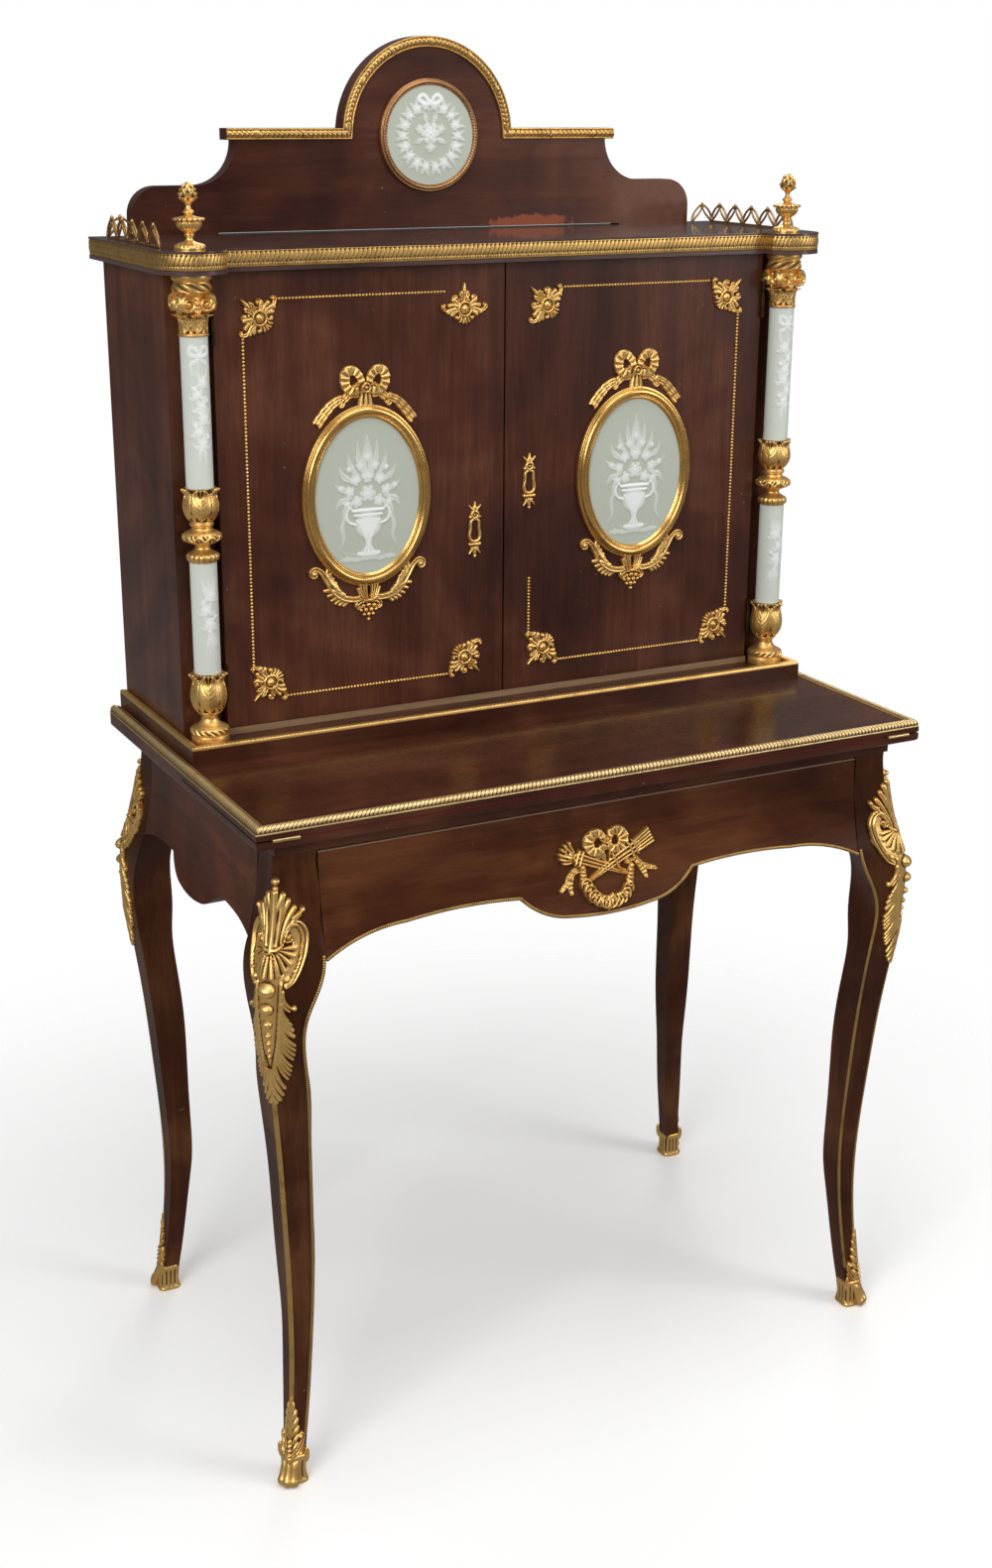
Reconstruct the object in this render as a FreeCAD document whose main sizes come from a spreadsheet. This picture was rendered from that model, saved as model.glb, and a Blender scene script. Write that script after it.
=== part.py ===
import FreeCAD, Part
import math
import os
import types

import Sketcher

# Driving dimensions of the desk, in millimetres
SIZES = {
    # Writing table: top, fold-over leaf and bed
    "top_width": 789,
    "top_depth": 456,
    "writing_height": 752,
    "leaf_depth": 210,
    "leaf_thickness": 10.4,
    "leaf_gap": 0.6,
    "seam_height": 1.6,
    "lining_thickness": 0.6,
    "lining_margin": 46,
    "lining_front_margin": 1.5,
    "bed_thickness": 24,
    "bed_nose_height": 9.5,
    "bed_nose_radius": 4,
    "bed_cove_radius": 8,
    "side_inset": 25.5,
    "front_inset": 20,
    "edge_moulding_width": 11,
    "edge_moulding_rise": 3,
    "edge_moulding_drop": 5,
    "edge_moulding_round": 3,
    # Hinges of the fold-over leaf
    "leaf_hinge_length": 28,
    "leaf_hinge_inset": 16,
    "leaf_hinge_depth": 14,
    "leaf_knuckle_radius": 1.8,
    "leaf_knuckle_clearance": 0.2,
    "leaf_pin_radius": 0.8,
    "pin_clearance": 0.05,
    # Frieze: flared apron boards and the drawer between the front legs
    "frieze_radius": 355,
    "apron_thickness": 20,
    "apron_clearance": 0.8,
    "apron_drop": 115,
    "back_apron_height": 96,
    "arch_drop": 86,
    "arch_end_drop": 112,
    "cusp_drop": 89.5,
    "lobe_drop": 120,
    "side_arch_end_drop": 97,
    "side_lobe_drop": 112.5,
    # Legs
    "leg_top_width": 44.5,
    "knee_bulge": 23,
    "knee_drop": 116,
    "leg_chamfer": 6,
    "knee_mount_thickness": 4,
    "knee_mount_height": 234,
    "knee_mount_top_drop": 14,
    "knee_mount_half_width": 33,
    "corner_strip_width": 6,
    "corner_strip_thickness": 1.2,
    "sabot_height": 25,
    "sabot_thickness": 3,
    "sabot_sole_growth": 4,
    "sabot_leaf_height": 86,
    "sabot_leaf_width": 17,
    "toe_radius": 7,
    "toe_width": 19,
    "toe_reach": 2,
    "edge_trim_width": 4,
    "edge_trim_inset": 0.4,
    "edge_trim_thickness": 1.5,
    # Drawer
    "drawer_side_gap": 1,
    "drawer_top_gap": 2,
    "drawer_wall_inset": 5.5,
    "drawer_rear_gap": 18,
    "drawer_wall": 12,
    "drawer_back_wall": 10,
    "drawer_wall_height": 72,
    "drawer_wall_drop": 12,
    "drawer_bottom_thickness": 5,
    "drawer_bottom_lift": 4,
    "runner_gap": 0.3,
    "runner_height": 10,
    "runner_reach": 48,
    "guide_gap": 2,
    "guide_height": 60,
    "trophy_width": 122,
    "trophy_height": 90,
    "trophy_low_drop": 119,
    "trophy_thickness": 5,
    "drawer_lock_width": 56,
    "drawer_lock_height": 40,
    "drawer_lock_depth": 10,
    "drawer_lock_drop": 10,
    # Cabinet
    "plinth_inset": 13,
    "plinth_height": 16.5,
    "plinth_gap": 2,
    "plinth_moulding_gap": 0.3,
    "plinth_moulding_height": 3.5,
    "plinth_moulding_round": 1.6,
    "cabinet_inset": 8.3,
    "cabinet_height": 477.5,
    "cabinet_floor_thickness": 7,
    "side_thickness": 16,
    "back_thickness": 9,
    "post_width": 43.2,
    "post_thickness": 24,
    "post_setback": 12,
    "shelf_thickness": 14,
    "shelf_setback": 40,
    # Doors
    "door_setback": 38,
    "door_thickness": 20,
    "door_hinge_gap": 2,
    "door_meeting_gap": 2,
    "door_top_gap": 1.5,
    "door_bottom_gap": 0.8,
    "door_hinge_height": 40,
    "door_hinge_inset": 30,
    "door_hinge_plate": 0.8,
    "door_hinge_depth": 14,
    "door_knuckle_radius": 2.2,
    "door_knuckle_clearance": 0.4,
    "door_pin_radius": 1,
    "oval_half_width": 74,
    "oval_half_height": 96.5,
    "oval_band": 14,
    "oval_depth": 9,
    "oval_round": 3.5,
    "plaque_thickness": 5,
    "plaque_clearance": 0.2,
    "bow_width": 104,
    "bow_height": 52,
    "spray_width": 126,
    "spray_height": 66,
    "ornament_thickness": 5,
    "corner_mount_size": 20,
    "corner_mount_thickness": 3,
    "corner_boss_radius": 6,
    "corner_boss_height": 5,
    "corner_inset_x": 48.5,
    "corner_inset_z": 45,
    "bead_inset_x": 31,
    "bead_inset_z": 27,
    "bead_diameter": 3.2,
    "bead_height": 2,
    "escutcheon_height": 59,
    "escutcheon_width": 17,
    "escutcheon_thickness": 2.5,
    "left_escutcheon_inset": 35.5,
    "left_escutcheon_drop": 48,
    "right_escutcheon_inset": 29.5,
    "door_lock_width": 34,
    "door_lock_height": 56,
    "door_lock_depth": 10,
    "bolt_width": 8,
    # Columns in the front corners
    "column_inset": 22,
    "column_advance": 9,
    "shaft_radius": 14,
    "rod_radius": 4,
    "rod_clearance": 0.1,
    "base_height": 74.5,
    "base_radius": 20,
    "lower_sleeve_height": 117,
    "knop_height": 76,
    "knop_radius": 19,
    "capital_height": 60,
    "capital_radius": 20,
    # Cornice, galleries and finials
    "cornice_height": 22.5,
    "cornice_corner_radius": 36.7,
    "cornice_step": 30.8,
    "cornice_advance": 13,
    "band_height": 16.5,
    "band_lift": 4,
    "band_thickness": 2.5,
    "gallery_back_gap": 8,
    "gallery_height": 22,
    "gallery_thickness": 2.5,
    "gallery_rail_height": 2.5,
    "gallery_inset": 13,
    "gallery_unit_width": 32,
    "gallery_bar": 3,
    "finial_height": 55.5,
    "finial_radius": 15.5,
    # Crest board and medallion
    "crest_inset": 28.2,
    "crest_thickness": 20,
    "crest_end_height": 50.5,
    "crest_end_radius": 30,
    "crest_sweep_radius": 46,
    "crest_shoulder_inset": 117,
    "crest_shoulder_height": 96.5,
    "crest_relief_height": 1.5,
    "crest_relief_inset": 95,
    "arch_rise": 4.3,
    "arch_radius": 92,
    "crest_moulding_width": 12,
    "crest_moulding_tip": 10,
    "crest_moulding_proud": 4,
    "medallion_radius": 60,
    "medallion_band": 7,
    "medallion_depth": 7,
    # Overrun of every cutting tool past the stock
    "overrun": 5,
}

# Lower leg: height in shares of the shank, bulge, face width and inner width in shares of the leg's own sizes
LEG_SHARES = (
    (0.0143, 0.38, 0.405, 0.405),
    (0.0418, 0.31, 0.405, 0.405),
    (0.1337, 0.12, 0.465, 0.465),
    (0.2506, -0.065, 0.540, 0.540),
    (0.3820, -0.050, 0.647, 0.647),
    (0.5334, 0.174, 0.744, 0.744),
    (0.6838, 0.460, 0.830, 0.830),
    (0.8162, 0.810, 0.900, 0.900),
    (0.9165, 1.000, 1.020, 1.020),
    (0.9583, 1.010, 1.275, 1.034),
)
# Upper leg: drop below the bed in shares of the knee drop, inner width, and how far the face edge stays back
KNEE_SHARES = (
    (1.0, 1.05, 0.035), (0.75, 1.05, 0.011), (0.5, 1.03, 0.0), (0.25, 1.01, 0.0), (0.0, 1.0, 0.0),
)
# A skin over two faces meeting at a chamfer keeps its thickness when the chamfer grows this much
CHAMFER_GROWTH_SHARE = 2 - math.sqrt(2)
# Widest skin that stays inside a leg's faces
SKIN_WIDTH_SHARE = 0.95
STRIP_SKIN_SHARE = 0.3
# Leg levels that the knee mounts, the corner strips, the edge trims and the sabot leaves span
KNEE_SKIN_LEVELS = slice(6, None)
STRIP_SKIN_LEVELS = slice(1, 9)
TRIM_LEVELS = slice(2, 11)
SABOT_SKIN_LEVELS = slice(0, 4)

# Lower edge of drawer and side aprons: place along the half width, and drop between two heights
FRONT_EDGE_SHARES = {
    "arch_bend": (0.88, 0.40),
    "arch_end": (0.724, 0.135),
    "crown": (0.518, 0.0),
    "cusp": (0.324, 0.0),
    "lobe_bend": (0.253, 0.59),
    "lobe_side": (0.160, 0.885),
}
SIDE_EDGE_SHARES = {
    "arch_bend": (0.90, 0.55),
    "arch_end": (0.78, 0.2),
    "crown": (0.62, 0.0),
    "cusp": (0.43, 0.0),
    "lobe_bend": (0.32, 0.62),
    "lobe_side": (0.185, 0.9),
}

# Half outline of a knee mount from its tip upwards: half width and height shares
KNEE_MOUNT_SHARES = (
    (0.36, 0.12), (0.62, 0.28), (0.50, 0.44), (0.86, 0.50), (1.0, 0.62), (0.92, 0.76),
    (0.55, 0.82), (0.70, 0.88), (0.30, 0.92), (0.14, 0.98),
)

# Turned profiles from the foot upwards: radius and height shares
BASE_SHARES = (
    (1.0, 0.0), (1.0, 0.10), (0.94, 0.12), (1.0, 0.16), (0.94, 0.21), (0.74, 0.24), (0.52, 0.31),
    (0.50, 0.37), (0.66, 0.40), (0.66, 0.43), (0.86, 0.54), (0.94, 0.68), (0.80, 0.88), (0.96, 0.98),
    (0.90, 1.0),
)
KNOP_SHARES = (
    (0.76, 0.0), (0.78, 0.10), (0.70, 0.14), (0.98, 0.20), (1.0, 0.27), (0.96, 0.33), (0.66, 0.37),
    (0.62, 0.42), (0.84, 0.46), (0.86, 0.52), (0.60, 0.56), (0.92, 0.66), (1.0, 0.80), (0.88, 0.92),
    (1.0, 0.98), (0.92, 1.0),
)
CAPITAL_SHARES = (
    (0.76, 0.0), (0.76, 0.05), (0.68, 0.08), (0.72, 0.28), (0.80, 0.36), (0.74, 0.40), (0.92, 0.48),
    (1.0, 0.60), (0.92, 0.72), (0.86, 0.76), (0.96, 0.82), (1.0, 0.92), (1.0, 1.0),
)
FINIAL_SHARES = (
    (0.95, 0.0), (0.92, 0.05), (0.60, 0.10), (0.30, 0.15), (0.30, 0.22), (0.62, 0.30), (0.80, 0.40),
    (1.0, 0.43), (0.98, 0.46), (0.34, 0.50), (0.22, 0.54), (0.40, 0.58), (0.22, 0.63), (0.30, 0.68),
    (0.54, 0.76), (0.58, 0.86), (0.40, 0.94), (0.12, 1.0),
)
MEDALLION_SHARES = ((1.0, 0.0), (1.0, 0.55), (0.6, 1.0), (0.35, 0.8), (0.0, 0.9))

# Flat ornament outlines, right half, from the bottom up: half width and height shares
BOW_SHARES = (
    (0.05, 0.0), (0.20, 0.30), (0.36, 0.12), (0.50, -0.12), (0.44, 0.22), (0.26, 0.42), (0.34, 0.60),
    (0.40, 0.78), (0.30, 0.96), (0.14, 0.94), (0.07, 0.80),
)
SPRAY_SHARES = (
    (0.06, 0.10), (0.12, 0.22), (0.06, 0.30), (0.24, 0.34), (0.34, 0.46), (0.46, 0.62), (0.50, 0.84),
    (0.44, 1.0), (0.36, 0.90),
)
CORNER_SHARES = (
    (1.0, 0.0), (0.62, 0.28), (0.92, 0.92), (0.28, 0.62), (0.0, 1.0), (-0.28, 0.62), (-0.92, 0.92),
    (-0.62, 0.28), (-1.0, 0.0), (-0.62, -0.28), (-0.92, -0.92), (-0.28, -0.62), (0.0, -1.0),
    (0.28, -0.62), (0.92, -0.92), (0.62, -0.28),
)
DROP_MOUNT_SHARES = (
    (0.30, -0.85), (0.16, -0.45), (0.62, -0.62), (1.0, -0.20), (0.62, 0.0), (0.50, 0.36), (0.18, 0.62),
    (0.14, 0.96),
)
ESCUTCHEON_SHARES = (
    (0.10, -0.98), (0.30, -0.80), (0.18, -0.60), (0.42, -0.42), (0.50, -0.14), (0.34, 0.16),
    (0.50, 0.34), (0.24, 0.52), (0.34, 0.74), (0.12, 0.94),
)
# Crossed torch and quiver, swag, ribbon bow and tails of the drawer's trophy
TORCH_SHARES = ((-0.50, 0.78), (-0.40, 0.90), (-0.33, 0.80), (0.27, 0.44), (0.24, 0.36), (-0.40, 0.70))
QUIVER_SHARES = ((0.46, 0.94), (0.50, 0.82), (0.36, 0.72), (-0.22, 0.30), (-0.27, 0.36), (0.28, 0.80))
SWAG_SHARES = {
    "left_out": (-0.28, 0.58), "low": (-0.03, 0.0), "right_out": (0.25, 0.52),
    "right_in": (0.17, 0.52), "rise": (-0.03, 0.20), "left_in": (-0.19, 0.58),
}
RIBBON_SHARES = (
    (-0.26, 0.58), (-0.52, 0.34), (-0.44, 0.28), (-0.20, 0.50), (0.20, 0.46), (0.48, 0.30), (0.52, 0.40),
    (0.24, 0.56), (0.10, 0.80), (0.20, 1.0), (0.0, 0.92), (-0.20, 0.98), (-0.12, 0.78),
)

# Bead strips that survive on each door: place across and along, in shares of the bead offsets
LEFT_BEAD_SHARES = {
    "upright": ((-1.0, -0.836, 0.74),),
    "level": ((1.0, -0.725, 0.694), (-1.0, -0.717, 0.71)),
}
RIGHT_BEAD_SHARES = {
    "upright": ((1.0, -0.81, 0.81), (-1.0, -0.84, -0.527)),
    "level": ((1.0, -0.694, 0.694), (-1.0, -0.70, 0.74)),
}

# Places on small curves
POINTED_ARCH_SHARES = (0.72, 0.62)
BOSS_SHARES = (0.7, 0.9)
KEYHOLE_SHARE = 0.1
SHELF_SHARE = 0.48
QUARTER_BEND_SHARE = 1 - math.sqrt(1 / 2)

TOLERANCE_SHARE = 1e-6


class Size:
    """A length with its value and the formula over the sheet that gives it."""

    def __init__(self, value, text):
        self.value = value
        self.text = text

    def __add__(self, other):
        other = as_size(other)
        return Size(self.value + other.value, f"({self.text} + {other.text})")

    def __sub__(self, other):
        other = as_size(other)
        return Size(self.value - other.value, f"({self.text} - {other.text})")

    def __mul__(self, other):
        other = as_size(other)
        return Size(self.value * other.value, f"({self.text} * {other.text})")

    def __truediv__(self, other):
        other = as_size(other)
        return Size(self.value / other.value, f"({self.text} / {other.text})")

    def __neg__(self):
        return Size(-self.value, f"(-1 * {self.text})")

    __radd__ = __add__
    __rmul__ = __mul__

    def __rsub__(self, other):
        return as_size(other) - self


class Bend(tuple):
    """A point that an arc of an outline passes through."""


def as_size(number):
    """Return a number as a size, and a size as it is."""
    return number if isinstance(number, Size) else Size(number, repr(number))


def root(size):
    """Return the square root of a size."""
    return Size(math.sqrt(size.value), f"sqrt({size.text})")


doc = FreeCAD.newDocument("writing_desk")
sheet = doc.addObject("Spreadsheet::Sheet", "Sizes")
for row, (alias, number) in enumerate(SIZES.items(), start=1):
    sheet.set(f"A{row}", alias)
    sheet.set(f"B{row}", str(number))
    sheet.setAlias(f"B{row}", alias)
s = types.SimpleNamespace(**{alias: Size(number, f"Sizes.{alias}") for alias, number in SIZES.items()})
ZERO = Size(0, "0")


def bind(item, path, size):
    """Tie a property of a document object to the sheet."""
    item.setExpression(path, as_size(size).text)


def place(item, x=ZERO, y=ZERO, z=ZERO):
    """Tie the position of a document object to the sheet."""
    for axis, size in zip("xyz", (x, y, z)):
        bind(item, f"Placement.Base.{axis}", size)
    return item


def vector(point):
    """Return a sketch point as a vector."""
    return FreeCAD.Vector(as_size(point[0]).value, as_size(point[1]).value, 0)


def new_sketch(body, role, name):
    """Add a sketch on one of a body's own origin planes."""
    sketch = body.newObject("Sketcher::SketchObject", name)
    plane = next(item for item in body.Origin.OriginFeatures if item.Role == role)
    sketch.AttachmentSupport = [(plane, "")]
    sketch.MapMode = "FlatFace"
    return sketch


def draw(sketch, points):
    """Draw a closed outline through corner points, with an arc wherever a Bend lies between two."""
    edges = []
    for index, point in enumerate(points):
        if isinstance(point, Bend):
            continue
        following = points[(index + 1) % len(points)]
        if isinstance(following, Bend):
            edges.append((point, following, points[(index + 2) % len(points)]))
        else:
            edges.append((point, None, following))
    first = sketch.GeometryCount
    curves = []
    for start, bend, end in edges:
        if bend:
            curves.append(Part.Arc(vector(start), vector(bend), vector(end)))
        else:
            curves.append(Part.LineSegment(vector(start), vector(end)))
    sketch.addGeometry(curves, False)
    heads = []
    for index, (start, bend, end) in enumerate(edges, start=first):
        to_start = (sketch.getPoint(index, 1) - vector(start)).Length
        to_end = (sketch.getPoint(index, 1) - vector(end)).Length
        heads.append(1 if to_start < to_end else 2)
    rules = []
    ties = []
    for index, (start, bend, end) in enumerate(edges):
        edge = first + index
        head = heads[index]
        after = (index + 1) % len(edges)
        rules.append(Sketcher.Constraint("Coincident", edge, 3 - head, first + after, heads[after]))
        spots = [(edge, head, start)]
        if bend:
            mark = sketch.addGeometry(Part.Point(vector(bend)), True)
            rules.append(Sketcher.Constraint("PointOnObject", mark, 1, edge))
            spots.append((mark, 1, bend))
        for geometry, corner, point in spots:
            for kind, size in zip(("DistanceX", "DistanceY"), map(as_size, point)):
                ties.append((len(rules), size))
                rules.append(Sketcher.Constraint(kind, -1, 1, geometry, corner, size.value))
    numbers = sketch.addConstraint(rules)
    for index, size in ties:
        bind(sketch, f"Constraints[{numbers[index]}]", size)


def new_body(label):
    """Add an empty body with its own label."""
    body = doc.addObject("PartDesign::Body", label)
    body.Label = label
    return body


def pad(label, role, points, length, x=ZERO, y=ZERO, z=ZERO, symmetric=False, holes=()):
    """Pad an outline: XY pads rise along +Z, XZ pads come forward along -Y, YZ pads run along +X."""
    body = new_body(label)
    sketch = new_sketch(body, role, f"{label}_outline")
    draw(sketch, points)
    for hole in holes:
        draw(sketch, hole)
    feature = body.newObject("PartDesign::Pad", f"{label}_pad")
    feature.Profile = sketch
    bind(feature, "Length", length)
    if symmetric:
        feature.SideType = "Symmetric"
    return place(body, x, y, z)


def cut_through(body, role, points):
    """Cut an outline right through a body, both ways from the sketch plane."""
    doc.recompute()
    before = body.Shape.Volume
    sketch = new_sketch(body, role, f"{body.Name}_cut_outline")
    draw(sketch, points)
    feature = body.newObject("PartDesign::Pocket", f"{body.Name}_cut")
    feature.Profile = sketch
    feature.Type = "ThroughAll"
    feature.SideType = "Symmetric"
    doc.recompute()
    if not body.Shape.Volume < before:
        raise RuntimeError(f"{body.Name}: the cut removes nothing")


def turned(label, points, x, y, z, facing_front=False):
    """Turn a profile of radius and height about the upright axis, or about an axis facing front."""
    body = new_body(label)
    sketch = new_sketch(body, "XZ_Plane", f"{label}_profile")
    draw(sketch, points)
    feature = body.newObject("PartDesign::Revolution", f"{label}_turning")
    feature.Profile = sketch
    feature.ReferenceAxis = (sketch, ["V_Axis"])
    feature.Angle = 360
    if facing_front:
        body.Placement = FreeCAD.Placement(FreeCAD.Vector(), FreeCAD.Rotation(FreeCAD.Vector(1, 0, 0), 90))
    return place(body, x, y, z)


def loft(label, sections):
    """Loft a smooth solid through level outlines, each given with its height."""
    body = new_body(label)
    sketches = []
    for index, (height, points) in enumerate(sections):
        sketch = new_sketch(body, "XY_Plane", f"{label}_section_{index}")
        bind(sketch, "AttachmentOffset.Base.z", height)
        draw(sketch, points)
        sketches.append(sketch)
    feature = body.newObject("PartDesign::AdditiveLoft", f"{label}_loft")
    feature.Profile = sketches[0]
    feature.Sections = sketches[1:]
    feature.Ruled = False
    return body


def block(label, low, high):
    """Make a block between two opposite corners."""
    box = doc.addObject("Part::Box", label)
    box.Label = label
    for path, start, end in zip(("Length", "Width", "Height"), low, high):
        bind(box, path, as_size(end) - as_size(start))
    return place(box, *low)


def rod(label, radius, length, x, y, z, axis="z"):
    """Make a cylinder from a point along +X or +Z."""
    cylinder = doc.addObject("Part::Cylinder", label)
    cylinder.Label = label
    if axis == "x":
        turn = FreeCAD.Rotation(FreeCAD.Vector(0, 1, 0), 90)
        cylinder.Placement = FreeCAD.Placement(FreeCAD.Vector(), turn)
    bind(cylinder, "Radius", radius)
    bind(cylinder, "Height", length)
    return place(cylinder, x, y, z)


def joined(kind, label, pieces):
    """Fuse pieces, keep what they share, or group them as separate solids."""
    feature = doc.addObject(kind, label)
    feature.Label = label
    if kind == "Part::Compound":
        feature.Links = pieces
    else:
        feature.Shapes = pieces
    return feature


def fused(label, pieces):
    """Fuse several pieces into one casting."""
    return joined("Part::MultiFuse", label, pieces)


def shared(label, pieces):
    """Keep what several pieces share."""
    return joined("Part::MultiCommon", label, pieces)


def group(label, pieces):
    """Group separate solids as one node."""
    return joined("Part::Compound", label, pieces)


def less(label, base, tool):
    """Cut one piece from another."""
    cut = doc.addObject("Part::Cut", label)
    cut.Label = label
    cut.Base = base
    cut.Tool = tool
    return cut


def mirrored(label, source, normal):
    """Mirror a piece through the origin."""
    mirror = doc.addObject("Part::Mirroring", label)
    mirror.Label = label
    mirror.Source = source
    mirror.Normal = FreeCAD.Vector(*normal)
    return mirror


def rounded(body, label, radius, wanted):
    """Round the edges of a body that pass a test."""
    doc.recompute()
    tip = body.Tip
    names = [f"Edge{n}" for n, edge in enumerate(tip.Shape.Edges, start=1) if wanted(edge)]
    feature = body.newObject("PartDesign::Fillet", label)
    feature.Base = (tip, names)
    bind(feature, "Radius", radius)
    return body


def level_at(edge, height):
    """Tell whether an edge lies level at a height in its own body."""
    slack = height.value * TOLERANCE_SHARE + TOLERANCE_SHARE
    return all(abs(vertex.Z - height.value) < slack for vertex in edge.Vertexes)


def span(points):
    """Mirror the right half of an outline, given from the bottom up, about the upright axis."""
    return [*points, *[(-u, v) for u, v in reversed(points)]]


def scaled(shares, width, height):
    """Turn an outline's shares into sizes."""
    return [(width * u, height * v) for u, v in shares]


LEFT_RIGHT = (1, 0, 0)
FRONT_BACK = (0, 1, 0)

# Heights and planes that the whole desk shares
half_width = s.top_width / 2
half_depth = s.top_depth / 2
leaf_low = s.writing_height - s.leaf_thickness
bed_top = leaf_low - s.seam_height
bed_low = bed_top - s.bed_thickness
frieze_x = half_width - s.side_inset
frieze_y = half_depth - s.front_inset
leaf_back = s.leaf_depth - half_depth
plinth_front = leaf_back + s.plinth_gap
plinth_half = half_width - s.plinth_inset
plinth_top = s.writing_height + s.plinth_height
floor_top = plinth_top + s.cabinet_floor_thickness
cornice_low = plinth_top + s.cabinet_height
cornice_top = cornice_low + s.cornice_height
cabinet_half = plinth_half - s.cabinet_inset
inner_half = cabinet_half - s.side_thickness
post_inner = cabinet_half - s.post_width
door_front = plinth_front + s.door_setback
door_back = door_front + s.door_thickness
post_front = door_front + s.post_setback
post_back = post_front + s.post_thickness
back_front = half_depth - s.back_thickness
column_x = cabinet_half - s.column_inset
column_y = door_front - s.column_advance


def flare(drop):
    """Return how far the frieze stands out at a drop below the bed: a circle that starts upright."""
    return s.frieze_radius - root(s.frieze_radius * s.frieze_radius - drop * drop)


def leg_levels():
    """List each level of a leg: height, bulge, face width and inner width."""
    levels = []
    shank = bed_low - s.knee_drop
    for height, bulge, face, inner in LEG_SHARES:
        levels.append((shank * height, s.knee_bulge * bulge, s.leg_top_width * face, s.leg_top_width * inner))
    for drop, inner, ease in KNEE_SHARES:
        bulge = flare(s.knee_drop * drop)
        face = s.leg_top_width * (1 - ease) + bulge
        levels.append((bed_low - s.knee_drop * drop, bulge, face, s.leg_top_width * inner))
    return levels


LEVELS = leg_levels()


def corner_section(level, growth, face, inner):
    """Outline a front left leg at one level, with its outer faces grown and its corner chamfered."""
    out_x = frieze_x + level[1] + growth
    out_y = frieze_y + level[1] + growth
    chamfer = s.leg_chamfer * level[3] / s.leg_top_width + growth * CHAMFER_GROWTH_SHARE
    return [
        (chamfer - out_x, -out_y),
        (face - out_x, -out_y),
        (inner - out_x, inner - out_y),
        (-out_x, face - out_y),
        (-out_x, chamfer - out_y),
    ]


def leg_skin(label, growth, width, span_of_levels):
    """Loft a wedge that stands out from a leg's two outer faces between two levels."""
    sections = []
    for level in LEVELS[span_of_levels]:
        sections.append((level[0], corner_section(level, growth, width, width)))
    return loft(label, sections)


def diagonal_pad(label, points):
    """Pad an upright outline outwards along the diagonal of the front left leg."""
    body = pad(label, "XZ_Plane", points, s.leg_top_width * 2)
    turn = FreeCAD.Rotation(FreeCAD.Vector(0, 0, 1), -45)
    body.Placement = FreeCAD.Placement(FreeCAD.Vector(), turn)
    return place(body, s.leg_top_width - frieze_x, s.leg_top_width - frieze_y)


def four_corners(label, source):
    """Repeat a front left piece at the other three legs."""
    right = mirrored(f"{label}_front_right", source, LEFT_RIGHT)
    back_left = mirrored(f"{label}_back_left", source, FRONT_BACK)
    back_right = mirrored(f"{label}_back_right", right, FRONT_BACK)
    return [source, right, back_left, back_right]


def make_legs():
    """Cabriole legs with sabots, knee mounts, corner strips and the trims of the front edges."""
    leg = loft("leg_front_left", [(level[0], corner_section(level, ZERO, level[2], level[3])) for level in LEVELS])
    four_corners("leg", leg)

    skin = leg_skin("knee_skin", s.knee_mount_thickness, s.leg_top_width * SKIN_WIDTH_SHARE, KNEE_SKIN_LEVELS)
    mount_low = bed_low - s.knee_mount_top_drop - s.knee_mount_height
    half = [(ZERO, mount_low)]
    for across, up in KNEE_MOUNT_SHARES:
        half.append((s.knee_mount_half_width * across, mount_low + s.knee_mount_height * up))
    top = [(ZERO, mount_low + s.knee_mount_height)]
    outline = [*half, *top, *[(-u, v) for u, v in reversed(half[1:])]]
    mount = shared("knee_mount", [less("knee_shell", skin, leg), diagonal_pad("knee_outline", outline)])
    group("knee_mounts", four_corners("knee_mount", mount))

    thin = leg_skin("strip_skin", s.corner_strip_thickness, s.leg_top_width * STRIP_SKIN_SHARE, STRIP_SKIN_LEVELS)
    strip_half = s.corner_strip_width / 2
    strip = shared("corner_strip", [
        less("strip_shell", thin, leg),
        diagonal_pad("strip_outline", [
            (-strip_half, s.sabot_leaf_height), (strip_half, s.sabot_leaf_height),
            (strip_half, mount_low), (-strip_half, mount_low),
        ]),
    ])
    sections = []
    for height, bulge, face, inner in LEVELS[TRIM_LEVELS]:
        edge = frieze_x + bulge - face + s.edge_trim_inset
        front = frieze_y + bulge
        sections.append((height, [
            (-edge - s.edge_trim_width, -front - s.edge_trim_thickness), (-edge, -front - s.edge_trim_thickness),
            (-edge, s.edge_trim_thickness - front), (-edge - s.edge_trim_width, s.edge_trim_thickness - front),
        ]))
    trim = less("edge_trim", loft("edge_trim_stock", sections), leg)
    trims = [trim, mirrored("edge_trim_right", trim, LEFT_RIGHT)]
    group("leg_trims", four_corners("corner_strip", strip) + trims)

    make_sabots(leg)


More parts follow.
